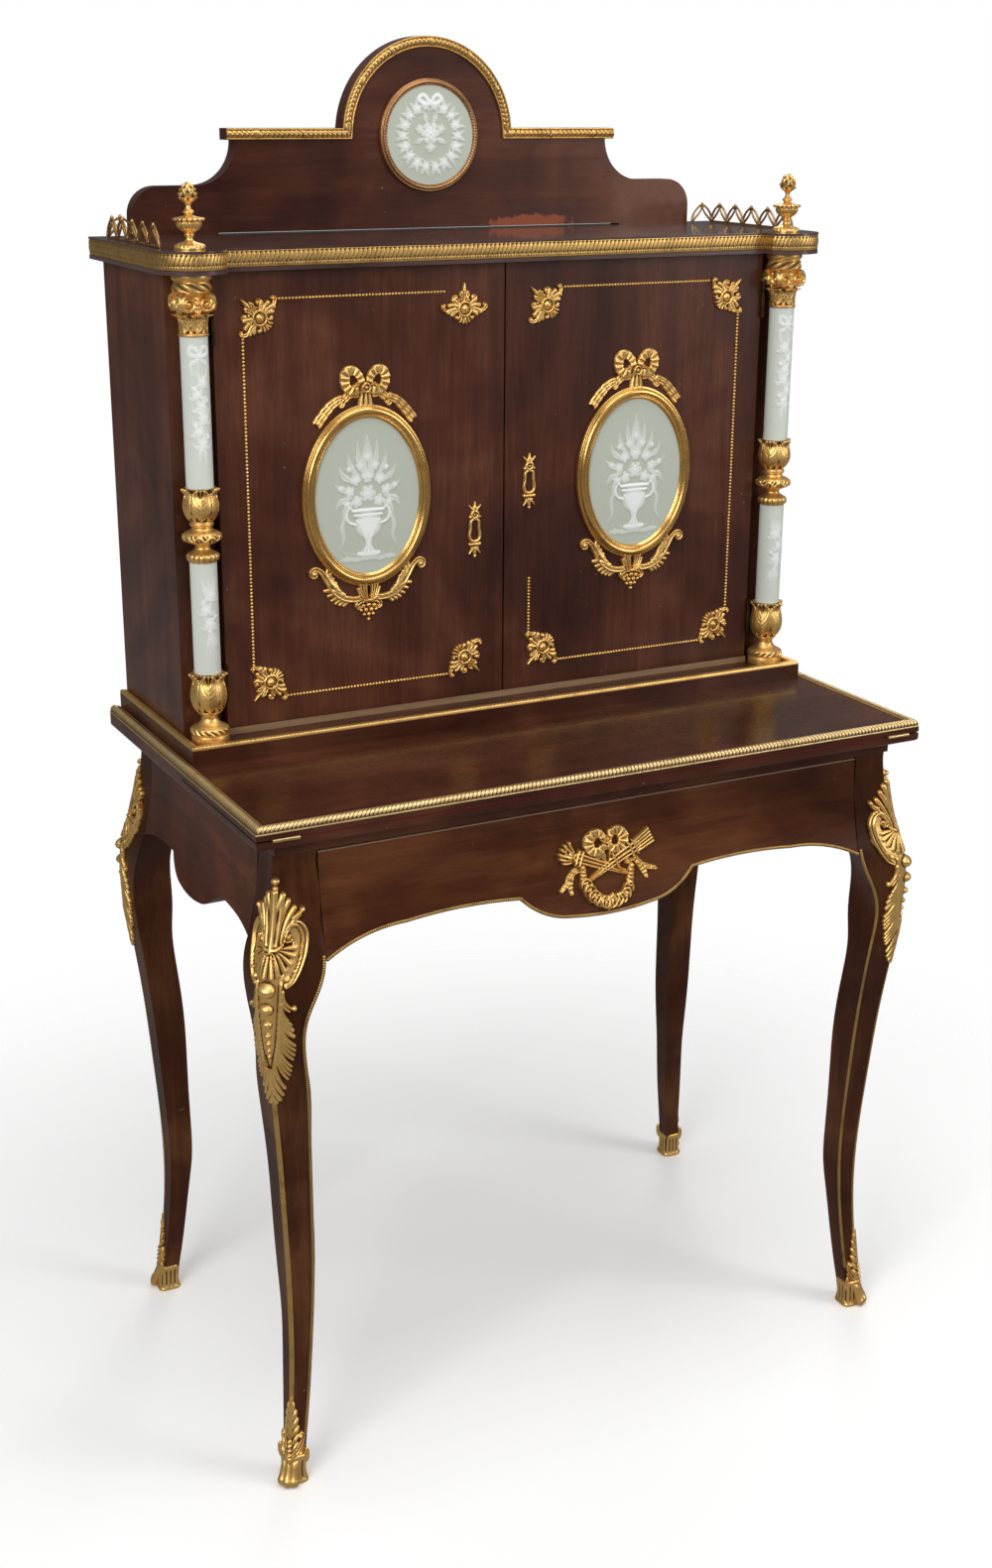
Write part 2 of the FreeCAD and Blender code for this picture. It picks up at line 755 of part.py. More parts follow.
def make_sabots(leg):
    """Shoes that take the feet: a shell, a leaf up the corner and a scrolled toe on the diagonal."""
    sole = LEVELS[0]
    ankle = LEVELS[1]
    sections = []
    for height, level, growth in ((ZERO, sole, s.sabot_sole_growth), (s.sabot_height, ankle, s.sabot_thickness)):
        width = level[2] + growth * 2
        sections.append((height, corner_section(level, growth, width, width)))
    shoe = loft("sabot_shoe", sections)
    skin = leg_skin("sabot_skin", s.sabot_thickness, ankle[2], SABOT_SKIN_LEVELS)
    leaf_half = s.sabot_leaf_width / 2
    leaf = shared("sabot_leaf", [skin, diagonal_pad("sabot_leaf_outline", [
        (-leaf_half, sole[0]), (leaf_half, sole[0]), (ZERO, s.sabot_leaf_height),
    ])])
    toe = rod("sabot_toe", s.toe_radius, s.toe_width, ZERO, ZERO, ZERO, "x")
    toe.Placement = FreeCAD.Placement(
        FreeCAD.Vector(),
        FreeCAD.Rotation(FreeCAD.Vector(0, 0, 1), -45).multiply(FreeCAD.Rotation(FreeCAD.Vector(0, 1, 0), 90)))
    out_x = frieze_x + sole[1] + s.toe_reach
    out_y = frieze_y + sole[1] + s.toe_reach
    lean = s.toe_width / (2 * math.sqrt(2))
    place(toe, -out_x - lean, lean - out_y, s.toe_radius)
    sabot = less("sabot_front_left", fused("sabot_casting", [shoe, leaf, toe]), leg)
    four_corners("sabot", sabot)


def lower_edge(half, shares, end_drop, arch_drop, cusp_drop, lobe_drop):
    """List the shaped lower edge of an apron from its right end to its left end, as drops below the bed."""
    def spot(name, start, end):
        across, down = shares[name]
        return (half * across, -(start + (end - start) * down))
    right = [
        (half, -end_drop),
        Bend(spot("arch_bend", arch_drop, end_drop)),
        spot("arch_end", arch_drop, end_drop),
        Bend(spot("crown", arch_drop, cusp_drop)),
        spot("cusp", cusp_drop, lobe_drop),
        Bend(spot("lobe_bend", cusp_drop, lobe_drop)),
        spot("lobe_side", cusp_drop, lobe_drop),
    ]
    left = [type(point)((-point[0], point[1])) for point in reversed(right)]
    return [*right, Bend((ZERO, -lobe_drop)), *left]


def raised(points, rise):
    """Move outline points up."""
    return [type(point)((point[0], point[1] + rise)) for point in points]


def flared_profile(face, thickness, top_drop, low_drop, growth=ZERO):
    """Outline a flared board: a circular outer face, an upright inner face, measured outwards and up."""
    middle = (top_drop + low_drop) / 2
    return [
        (face + flare(top_drop) + growth, bed_low - top_drop),
        Bend((face + flare(middle) + growth, bed_low - middle)),
        (face + flare(low_drop) + growth, bed_low - low_drop),
        (face - thickness, bed_low - low_drop),
        (face - thickness, bed_low - top_drop),
    ]


def make_aprons():
    """Side aprons flared like the legs, and a plain back apron, between the leg tops."""
    side_half = frieze_y - s.leg_top_width - s.apron_clearance
    side = pad("side_apron_right", "XZ_Plane",
               flared_profile(frieze_x, s.apron_thickness, ZERO, s.apron_drop), side_half * 2, symmetric=True)
    edge = lower_edge(side_half, SIDE_EDGE_SHARES, s.side_arch_end_drop, s.arch_drop, s.arch_drop, s.side_lobe_drop)
    waste = s.apron_drop + s.overrun
    cut_through(side, "YZ_Plane", [
        (side_half + s.overrun, bed_low - waste),
        (side_half + s.overrun, bed_low - s.side_arch_end_drop),
        *raised(edge, bed_low),
        (-side_half - s.overrun, bed_low - s.side_arch_end_drop),
        (-side_half - s.overrun, bed_low - waste),
    ])
    back_half = frieze_x - s.leg_top_width - s.apron_clearance
    back = block("back_apron", (-back_half, frieze_y - s.apron_thickness, bed_low - s.back_apron_height),
                 (back_half, frieze_y, bed_low))
    group("frieze_aprons", [side, mirrored("side_apron_left", side, LEFT_RIGHT), back])


drawer_half = frieze_x - s.leg_top_width - s.drawer_side_gap
drawer_wall_top = bed_low - s.drawer_wall_drop
drawer_wall_low = drawer_wall_top - s.drawer_wall_height
drawer_wall_half = drawer_half - s.drawer_wall_inset
drawer_rear = frieze_y - s.apron_thickness - s.drawer_rear_gap


def drawer_prism(label, points):
    """Pad an upright outline through the drawer front and well past its face."""
    depth = s.knee_bulge * 2 + s.apron_thickness
    return pad(label, "XZ_Plane", points, depth, y=s.apron_thickness - frieze_y)


def drawer_skin(label, growth):
    """Make a shell that stands out from the flared drawer front."""
    profile = [type(p)((-p[0], p[1])) for p in
               flared_profile(frieze_y, s.apron_thickness / 2, s.drawer_top_gap, s.lobe_drop, growth)]
    return pad(label, "YZ_Plane", profile, drawer_half * 2, x=-drawer_half)


def make_drawer():
    """Drawer with a flared, shaped front, its gilt edge trim, trophy mount and lock."""
    profile = [type(p)((-p[0], p[1])) for p in
               flared_profile(frieze_y, s.apron_thickness, s.drawer_top_gap, s.lobe_drop)]
    front = pad("drawer_front", "YZ_Plane", profile, drawer_half * 2, symmetric=True)
    edge = raised(lower_edge(drawer_half, FRONT_EDGE_SHARES, s.arch_end_drop, s.arch_drop, s.cusp_drop,
                             s.lobe_drop), bed_low)
    waste = bed_low - s.lobe_drop - s.overrun
    cut_through(front, "XZ_Plane", [
        (drawer_half + s.overrun, waste), (drawer_half + s.overrun, bed_low - s.arch_end_drop),
        *edge,
        (-drawer_half - s.overrun, bed_low - s.arch_end_drop), (-drawer_half - s.overrun, waste),
    ])
    trim_shell = less("drawer_trim_shell", drawer_skin("drawer_trim_skin", s.edge_trim_thickness),
                      drawer_skin("drawer_trim_core", ZERO))
    strip = drawer_prism("drawer_trim_outline", [*edge, *reversed(raised(edge, s.edge_trim_width))])
    trim = shared("drawer_trim", [trim_shell, strip])

    trophy_low = bed_low - s.trophy_low_drop
    def trophy(shares):
        return raised(scaled(shares, s.trophy_width, s.trophy_height), trophy_low)
    swag = dict(zip(SWAG_SHARES, trophy(SWAG_SHARES.values())))
    figures = fused("trophy_outline", [
        drawer_prism("torch_outline", trophy(TORCH_SHARES)),
        drawer_prism("quiver_outline", trophy(QUIVER_SHARES)),
        drawer_prism("ribbon_outline", trophy(RIBBON_SHARES)),
        drawer_prism("swag_outline", [
            swag["left_out"], Bend(swag["low"]), swag["right_out"],
            swag["right_in"], Bend(swag["rise"]), swag["left_in"],
        ]),
    ])
    shell = less("trophy_shell", drawer_skin("trophy_skin", s.trophy_thickness), front)
    seat = less("trophy_seat", shell, trim)
    shared("drawer_mount", [seat, figures])

    inner = drawer_wall_half - s.drawer_wall
    front_back = s.apron_thickness - frieze_y
    right = block("drawer_side_right", (inner, front_back, drawer_wall_low),
                  (drawer_wall_half, drawer_rear, drawer_wall_top))
    group("drawer_sides", [right, mirrored("drawer_side_left", right, LEFT_RIGHT)])
    bottom_low = drawer_wall_low + s.drawer_bottom_lift
    bottom_top = bottom_low + s.drawer_bottom_thickness
    block("drawer_bottom", (-inner, front_back, bottom_low), (inner, drawer_rear, bottom_top))
    block("drawer_back", (-inner, drawer_rear - s.drawer_back_wall, bottom_top),
          (inner, drawer_rear, drawer_wall_top))
    lock_top = bed_low - s.drawer_top_gap - s.drawer_lock_drop
    lock_half = s.drawer_lock_width / 2
    case = block("drawer_lock_stock", (-lock_half, front_back, lock_top - s.drawer_lock_height),
                 (lock_half, front_back + s.drawer_lock_depth, lock_top))
    bolt_half = s.bolt_width / 2
    bolt_front = front_back + (s.drawer_lock_depth - s.bolt_width) / 2
    bolt = block("drawer_bolt", (-bolt_half, bolt_front, lock_top - s.drawer_lock_height / 2),
                 (bolt_half, bolt_front + s.bolt_width, lock_top))
    group("drawer_lock", [less("drawer_lock_case", case, bolt), bolt])


def make_runners():
    """Runners under the drawer sides with guides beside them, along the side aprons."""
    outer = frieze_x - s.apron_thickness
    top = drawer_wall_low - s.runner_gap
    guide = drawer_wall_half + s.guide_gap
    reach = frieze_y - s.leg_top_width - s.apron_clearance
    right = pad("drawer_runner_right", "XZ_Plane", [
        (outer - s.runner_reach, top - s.runner_height), (outer, top - s.runner_height),
        (outer, top + s.guide_height), (guide, top + s.guide_height),
        (guide, top), (outer - s.runner_reach, top),
    ], reach * 2, symmetric=True)
    group("drawer_runners", [right, mirrored("drawer_runner_left", right, LEFT_RIGHT)])


def rectangle(x0, y0, x1, y1):
    """Outline a rectangle."""
    return [(x0, y0), (x1, y0), (x1, y1), (x0, y1)]


def three_sided(half, front, back, width):
    """Outline a strip along the left, front and right edges of a board."""
    return [
        (-half, back), (-half, front), (half, front), (half, back),
        (half - width, back), (half - width, front + width), (width - half, front + width), (width - half, back),
    ]


def make_table_top():
    """Bed with a moulded edge, the fixed rear top on it, and the lined fold-over leaf."""
    bed = pad("table_top", "XY_Plane", rectangle(-frieze_x, -frieze_y, frieze_x, frieze_y),
              s.bed_thickness, z=bed_low)
    nose_low = s.bed_thickness - s.bed_nose_height
    nose_sketch = new_sketch(bed, "XY_Plane", "nose_outline")
    bind(nose_sketch, "AttachmentOffset.Base.z", nose_low)
    draw(nose_sketch, rectangle(-half_width, -half_depth, half_width, half_depth))
    nose = bed.newObject("PartDesign::Pad", "nose_pad")
    nose.Profile = nose_sketch
    bind(nose, "Length", s.bed_nose_height)

    def in_cove(edge):
        inside = all(abs(v.X) < half_width.value and abs(v.Y) < half_depth.value for v in edge.Vertexes)
        return level_at(edge, nose_low) and inside

    def on_nose(edge):
        return level_at(edge, nose_low) and not in_cove(edge)

    rounded(bed, "bed_cove", s.bed_cove_radius, in_cove)
    rounded(bed, "bed_nose", s.bed_nose_radius, on_nose)

    moulding_low = s.writing_height - s.edge_moulding_drop
    lining_half = half_width - s.lining_margin
    lining_front = s.lining_front_margin - half_depth
    lining_top = bed_top + s.lining_thickness
    block("bed_lining", (-lining_half, lining_front, bed_top), (lining_half, leaf_back, lining_top))
    block("leaf_lining", (-lining_half, lining_front, leaf_low - s.lining_thickness),
          (lining_half, leaf_back, leaf_low))
    inset = half_width - s.edge_moulding_width
    leaf_core = block("leaf_core", (-half_width, -half_depth, leaf_low), (half_width, leaf_back, moulding_low))
    leaf_face = block("leaf_face", (-inset, s.edge_moulding_width - half_depth, moulding_low),
                      (inset, leaf_back, s.writing_height))
    fused("leaf_board", [leaf_core, leaf_face])
    rear_front = leaf_back + s.leaf_gap
    rear_core = block("rear_core", (-half_width, rear_front, bed_top), (half_width, half_depth, moulding_low))
    rear_face = block("rear_face", (-inset, rear_front, moulding_low), (inset, half_depth, s.writing_height))
    fused("rear_top", [rear_core, rear_face])

    moulding_height = s.edge_moulding_drop + s.edge_moulding_rise

    def on_crown(edge):
        return level_at(edge, moulding_height) and edge.Length > s.edge_moulding_width.value * 2

    moulding = pad("leaf_moulding", "XY_Plane",
                   three_sided(half_width, -half_depth, leaf_back, s.edge_moulding_width),
                   moulding_height, z=moulding_low)
    rounded(moulding, "leaf_moulding_crown", s.edge_moulding_round, on_crown)
    rear = pad("rear_moulding_right", "XY_Plane", rectangle(inset, rear_front, half_width, half_depth),
               moulding_height, z=moulding_low)
    rounded(rear, "rear_moulding_crown", s.edge_moulding_round, on_crown)
    group("rear_top_moulding", [rear, mirrored("rear_moulding_left", rear, LEFT_RIGHT)])


hinge_axis_y = -half_depth - s.leaf_knuckle_radius - s.leaf_knuckle_clearance
hinge_axis_z = (bed_top + leaf_low) / 2


def make_leaf_hinges():
    """Butt hinges in the seam at the front corners; returns their fixed halves."""
    end = half_width - s.leaf_hinge_inset
    start = end - s.leaf_hinge_length
    third = s.leaf_hinge_length / 3
    plate_front = s.leaf_knuckle_clearance - half_depth
    plate_back = plate_front + s.leaf_hinge_depth
    play = s.leaf_knuckle_clearance
    axis = (hinge_axis_y, hinge_axis_z)
    bore = rod("leaf_hinge_bore", s.leaf_pin_radius + s.pin_clearance, third * 2, start, *axis, "x")
    moving = fused("leaf_hinge_stock", [
        block("leaf_plate", (start, plate_front, leaf_low - s.lining_thickness), (end, plate_back, leaf_low)),
        block("leaf_tab", (start + third + play, hinge_axis_y, leaf_low - s.lining_thickness),
              (end - third - play, plate_front, leaf_low)),
        rod("leaf_knuckle", s.leaf_knuckle_radius, third - play * 2, start + third + play, *axis, "x"),
    ])
    moving_right = less("leaf_hinge_right", moving, bore)
    group("leaf_hinge_plates", [moving_right, mirrored("leaf_hinge_left", moving_right, LEFT_RIGHT)])
    plate_top = bed_top + s.lining_thickness
    fixed = fused("bed_hinge_right", [
        block("bed_plate", (start, plate_front, bed_top), (end, plate_back, plate_top)),
        block("bed_tab_inner", (start, hinge_axis_y, bed_top), (start + third, plate_front, plate_top)),
        block("bed_tab_outer", (end - third, hinge_axis_y, bed_top), (end, plate_front, plate_top)),
        rod("bed_knuckle_inner", s.leaf_knuckle_radius, third, start, *axis, "x"),
        rod("bed_knuckle_outer", s.leaf_knuckle_radius, third, end - third, *axis, "x"),
        rod("bed_pin", s.leaf_pin_radius, s.leaf_hinge_length, start, *axis, "x"),
    ])
    return [fixed, mirrored("bed_hinge_left", fixed, LEFT_RIGHT)]


def make_cabinet():
    """Plinth with its gilt moulding, carcass boards, corner posts and a shelf."""
    block("cabinet_plinth", (-plinth_half, plinth_front, s.writing_height), (plinth_half, half_depth, plinth_top))
    moulding_width = s.cabinet_inset - s.plinth_moulding_gap
    moulding = pad("plinth_moulding", "XY_Plane",
                   three_sided(plinth_half, plinth_front, half_depth, moulding_width),
                   s.plinth_moulding_height, z=plinth_top)

    def on_crown(edge):
        return level_at(edge, s.plinth_moulding_height) and edge.Length > moulding_width.value * 2

    rounded(moulding, "plinth_moulding_crown", s.plinth_moulding_round, on_crown)
    pad("cabinet_floor", "XY_Plane", [
        (-post_inner, door_front), (post_inner, door_front), (post_inner, post_back), (inner_half, post_back),
        (inner_half, back_front), (-inner_half, back_front), (-inner_half, post_back), (-post_inner, post_back),
    ], s.cabinet_floor_thickness, z=plinth_top)
    side = block("cabinet_side_right", (inner_half, post_back, plinth_top), (cabinet_half, half_depth, cornice_low))
    group("cabinet_sides", [side, mirrored("cabinet_side_left", side, LEFT_RIGHT)])
    post = block("corner_post_right", (post_inner, post_front, plinth_top), (cabinet_half, post_back, cornice_low))
    group("corner_posts", [post, mirrored("corner_post_left", post, LEFT_RIGHT)])
    block("cabinet_back", (-inner_half, back_front, plinth_top), (inner_half, half_depth, cornice_low))
    shelf_low = plinth_top + s.cabinet_height * SHELF_SHARE
    block("cabinet_shelf", (-inner_half, door_front + s.shelf_setback, shelf_low),
          (inner_half, back_front, shelf_low + s.shelf_thickness))


def column_piece(label, shares, radius, height, z):
    """Turn a bored column mount from its profile shares, and group it with its fellow on the right."""
    bore = s.rod_radius + s.rod_clearance
    profile = [(bore, ZERO), *scaled(shares, radius, height), (bore, height)]
    left = turned(f"{label}_left", profile, -column_x, column_y, z)
    group(label, [left, mirrored(f"{label}_right", left, LEFT_RIGHT)])


def column_sleeve(label, height, z):
    """Turn a porcelain tube of a column, and group it with its fellow on the right."""
    bore = s.rod_radius + s.rod_clearance
    tube = [(bore, ZERO), (s.shaft_radius, ZERO), (s.shaft_radius, height), (bore, height)]
    left = turned(f"{label}_left", tube, -column_x, column_y, z)
    group(label, [left, mirrored(f"{label}_right", left, LEFT_RIGHT)])


def make_columns():
    """Columns of gilt mounts and porcelain sleeves threaded on iron rods."""
    lower = plinth_top + s.base_height
    knop = lower + s.lower_sleeve_height
    upper = knop + s.knop_height
    capital = cornice_low - s.capital_height
    column_piece("column_bases", BASE_SHARES, s.base_radius, s.base_height, plinth_top)
    column_sleeve("column_lower_sleeves", s.lower_sleeve_height, lower)
    column_piece("column_knops", KNOP_SHARES, s.knop_radius, s.knop_height, knop)
    column_sleeve("column_upper_sleeves", capital - upper, upper)
    column_piece("column_capitals", CAPITAL_SHARES, s.capital_radius, s.capital_height, capital)
    left = rod("column_rod_left", s.rod_radius, s.cabinet_height, -column_x, column_y, plinth_top)
    group("column_rods", [left, mirrored("column_rod_right", left, LEFT_RIGHT)])


def cornice_outline(inset):
    """Outline the cornice, or its core inside the gilt band: round corners over the columns."""
    radius = s.cornice_corner_radius - inset
    step = column_x - s.cornice_step + inset
    reach = column_x - step
    front = door_front - s.cornice_advance + inset
    step_y = column_y - root(radius * radius - reach * reach)
    side = column_x + radius
    return [
        (side, half_depth), (side, column_y), Bend((column_x, column_y - radius)), (step, step_y), (step, front),
        (-step, front), (-step, step_y), Bend((-column_x, column_y - radius)), (-side, column_y),
        (-side, half_depth),
    ]


def make_cornice():
    """Cornice board with its gilt band let in, galleries on the sides and finials over the columns."""
    board = pad("cornice_stock", "XY_Plane", cornice_outline(ZERO), s.cornice_height, z=cornice_low)
    band_low = cornice_low + s.band_lift
    outer = pad("band_outer", "XY_Plane", cornice_outline(ZERO), s.band_height, z=band_low)
    inner = pad("band_inner", "XY_Plane", cornice_outline(s.band_thickness), s.band_height, z=band_low)
    band = less("cornice_band", outer, inner)
    less("cornice_board", board, band)

    finial = [(ZERO, ZERO), *scaled(FINIAL_SHARES, s.finial_radius, s.finial_height), (ZERO, s.finial_height)]
    left = turned("finial_left", finial, -column_x, column_y, cornice_top)
    group("finials", [left, mirrored("finial_right", left, LEFT_RIGHT)])
    make_galleries()


def pointed_arch(half, height):
    """Outline a pointed arch standing on a level line, with its middle at zero."""
    across, up = POINTED_ARCH_SHARES
    return [
        (half, ZERO), Bend((half * across, height * up)), (ZERO, height), Bend((-half * across, height * up)),
        (-half, ZERO),
    ]


def make_galleries():
    """Pierced galleries of overlapping pointed arches on a rail, along both sides of the cornice."""
    gallery_x = column_x + s.cornice_corner_radius - s.gallery_inset
    half = s.gallery_unit_width / 2
    inner_height = s.gallery_height - s.gallery_bar * 2
    hole = raised(pointed_arch(half - s.gallery_bar, inner_height), s.gallery_bar / 2)
    length = half_depth - s.crest_thickness - s.gallery_back_gap - post_front
    run = length - s.gallery_unit_width
    body = pad("gallery_arches", "YZ_Plane", pointed_arch(half, s.gallery_height), s.gallery_thickness,
               gallery_x - s.gallery_thickness / 2, post_front + half, cornice_top, holes=(hole,))
    count = 1 + round(run.value / (half.value + s.gallery_bar.value * 2))
    pattern = body.newObject("PartDesign::LinearPattern", "gallery_pattern")
    pattern.Originals = [body.Tip]
    axis = next(item for item in body.Origin.OriginFeatures if item.Role == "Y_Axis")
    pattern.Direction = (axis, [""])
    bind(pattern, "Length", run)
    pattern.Occurrences = count
    body.Tip = pattern
    rail = block("gallery_rail", (gallery_x - s.gallery_thickness / 2, post_front, cornice_top),
                 (gallery_x + s.gallery_thickness / 2, post_front + length, cornice_top + s.gallery_rail_height))
    right = fused("gallery_right", [body, rail])
    group("galleries", [right, mirrored("gallery_left", right, LEFT_RIGHT)])


def make_crest():
    """Arched crest board with a gilt moulding over shoulders and arch, and a framed round plaque."""
    half = cabinet_half - s.crest_inset
    shoulder_half = half - s.crest_shoulder_inset
    relief_half = half - s.crest_relief_inset
    front = half_depth - s.crest_thickness
    end_top = s.crest_end_height
    end_low = end_top - s.crest_end_radius
    corner = QUARTER_BEND_SHARE
    sweep_end = shoulder_half + s.crest_sweep_radius
    sweep_bend = shoulder_half + s.crest_sweep_radius * corner
    shoulder = s.crest_shoulder_height
    centre = shoulder + s.arch_rise
    outer = s.arch_radius + s.crest_moulding_width
    top = shoulder + s.crest_moulding_width
    tip = shoulder_half + s.crest_moulding_tip
    meet = root(outer * outer - (top - centre) * (top - centre))
    right = [
        (half, ZERO),
        (half, end_low),
        Bend((half - s.crest_end_radius * corner, end_top - s.crest_end_radius * corner)),
        (half - s.crest_end_radius, end_top),
        (sweep_end, end_top),
        Bend((sweep_bend, end_top + (shoulder - end_top) * corner)),
        (shoulder_half, shoulder),
        (tip, shoulder),
        (tip, top),
        (meet, top),
    ]
    left = [type(point)((-point[0], point[1])) for point in reversed(right)]
    relief = [
        (-relief_half, ZERO), (-relief_half, s.crest_relief_height),
        (relief_half, s.crest_relief_height), (relief_half, ZERO),
    ]
    pad("crest_board", "XZ_Plane", [*right, Bend((ZERO, centre + outer)), *left, *relief],
        s.crest_thickness, y=half_depth, z=cornice_top)

    pad("crest_moulding", "XZ_Plane", [
        (tip, shoulder), (tip, top), (meet, top), Bend((ZERO, centre + outer)), (-meet, top), (-tip, top),
        (-tip, shoulder), (-s.arch_radius, shoulder), (-s.arch_radius, centre),
        Bend((ZERO, centre + s.arch_radius)), (s.arch_radius, centre), (s.arch_radius, shoulder),
    ], s.crest_moulding_proud, y=front, z=cornice_top)

    inner = s.medallion_radius - s.medallion_band
    ring = [(inner, ZERO)]
    for across, up in MEDALLION_SHARES:
        ring.append((inner + s.medallion_band * across, s.medallion_depth * up))
    turned("medallion_frame", ring, ZERO, front, cornice_top + centre, facing_front=True)
    face = inner - s.plaque_clearance
    disc = [(ZERO, ZERO), (face, ZERO), (face, s.plaque_thickness), (ZERO, s.plaque_thickness)]
    turned("medallion_plaque", disc, ZERO, front, cornice_top + centre, facing_front=True)


door_outer = post_inner - s.door_hinge_gap
door_inner = s.door_meeting_gap / 2
door_low = floor_top + s.door_bottom_gap
door_top = cornice_low - s.door_top_gap
door_middle_x = (door_outer + door_inner) / 2
door_middle_z = (door_low + door_top) / 2
door_half_x = (door_outer - door_inner) / 2
door_half_z = (door_top - door_low) / 2
bead_x = door_half_x - s.bead_inset_x
bead_z = door_half_z - s.bead_inset_z


def oval_solid(label, half_x, half_z, depth, x):
    """Extrude an upright ellipse forward from a door's face."""
    ellipse = doc.addObject("Part::Ellipse", f"{label}_line")
    turn = FreeCAD.Rotation(FreeCAD.Vector(1, 0, 0), 90)
    quarter = FreeCAD.Rotation(FreeCAD.Vector(0, 0, 1), 90)
    ellipse.Placement = FreeCAD.Placement(FreeCAD.Vector(), turn.multiply(quarter))
    bind(ellipse, "MajorRadius", half_z)
    bind(ellipse, "MinorRadius", half_x)
    place(ellipse, x, door_front, door_middle_z)
    solid = doc.addObject("Part::Extrusion", label)
    solid.Label = label
    solid.Base = ellipse
    solid.DirMode = "Custom"
    solid.Dir = FreeCAD.Vector(0, -1, 0)
    solid.Solid = True
    bind(solid, "LengthFwd", depth)
    return solid


def make_oval(side, x):
    """Gilt oval with a ribbon bow above and a leaf spray below, cast in one, round a porcelain plaque."""
    inner_x = s.oval_half_width - s.oval_band
    inner_z = s.oval_half_height - s.oval_band
    whole = oval_solid(f"{side}_oval_stock", s.oval_half_width, s.oval_half_height, s.oval_depth, x)
    doc.recompute()
    front = (door_front - s.oval_depth).value
    fillet = doc.addObject("Part::Fillet", f"{side}_oval_round")
    fillet.Base = whole
    radius = s.oval_round.value
    fillet.Edges = [(n, radius, radius) for n, edge in enumerate(whole.Shape.Edges, start=1)
                    if all(abs(v.Y - front) < TOLERANCE_SHARE for v in edge.Vertexes)]
    opening = oval_solid(f"{side}_oval_opening", inner_x, inner_z, s.oval_depth, x)
    bow_low = door_middle_z + s.oval_half_height - s.oval_band / 2
    bow = pad(f"{side}_bow", "XZ_Plane", raised(span(scaled(BOW_SHARES, s.bow_width, s.bow_height)), bow_low),
              s.ornament_thickness, x=x, y=door_front)
    spray_low = door_middle_z - s.oval_half_height - s.spray_height / 2
    spray = pad(f"{side}_spray", "XZ_Plane",
                raised(span(scaled(SPRAY_SHARES, s.spray_width, s.spray_height)), spray_low),
                s.ornament_thickness, x=x, y=door_front)
    casting = fused(f"{side}_oval_casting", [fillet, bow, spray])
    less(f"{side}_plaque_frame", casting, opening)
    oval_solid(f"{side}_plaque", inner_x - s.plaque_clearance, inner_z - s.plaque_clearance, s.plaque_thickness, x)


def corner_mount(label, shares, x, z):
    """Flat cartouche with a round boss, set on a door."""
    size = s.corner_mount_size
    plate = pad(f"{label}_plate", "XZ_Plane", scaled(shares, size, size), s.corner_mount_thickness,
                x=x, y=door_front, z=z)
    round_off = BOSS_SHARES
    boss = turned(f"{label}_boss", [
        (ZERO, ZERO), (s.corner_boss_radius, ZERO), (s.corner_boss_radius, s.corner_mount_thickness),
        Bend((s.corner_boss_radius * round_off[0], s.corner_boss_height * round_off[1])),
        (ZERO, s.corner_boss_height),
    ], x, door_front, z, facing_front=True)
    return fused(label, [plate, boss])


def escutcheon(label, x, z, turn):
    """Keyhole plate with a pierced keyhole, upright or upside down."""
    outline = span(scaled(ESCUTCHEON_SHARES, s.escutcheon_width, s.escutcheon_height / 2))
    plate = pad(f"{label}_plate", "XZ_Plane", [(u * turn, v * turn) for u, v in outline],
                s.escutcheon_thickness, x=x, y=door_front, z=z)
    hole = s.escutcheon_width * KEYHOLE_SHARE
    keyhole = block(f"{label}_keyhole", (x - hole, door_front - s.overrun, z - hole * 2),
                    (x + hole, door_front, z + hole * 2))
    return less(label, plate, keyhole)


def bead_strips(side, x, runs):
    """Bead strips that border a door, as narrow rods under the beads."""
    half = s.bead_diameter / 2
    pieces = []
    for number, (across, start, end) in enumerate(runs["upright"]):
        line = x + bead_x * across
        pieces.append(block(f"{side}_bead_upright_{number}",
                            (line - half, door_front - s.bead_height, door_middle_z + bead_z * start),
                            (line + half, door_front, door_middle_z + bead_z * end)))
    for number, (up, start, end) in enumerate(runs["level"]):
        line = door_middle_z + bead_z * up
        pieces.append(block(f"{side}_bead_level_{number}",
                            (x + bead_x * start, door_front - s.bead_height, line - half),
                            (x + bead_x * end, door_front, line + half)))
    return pieces


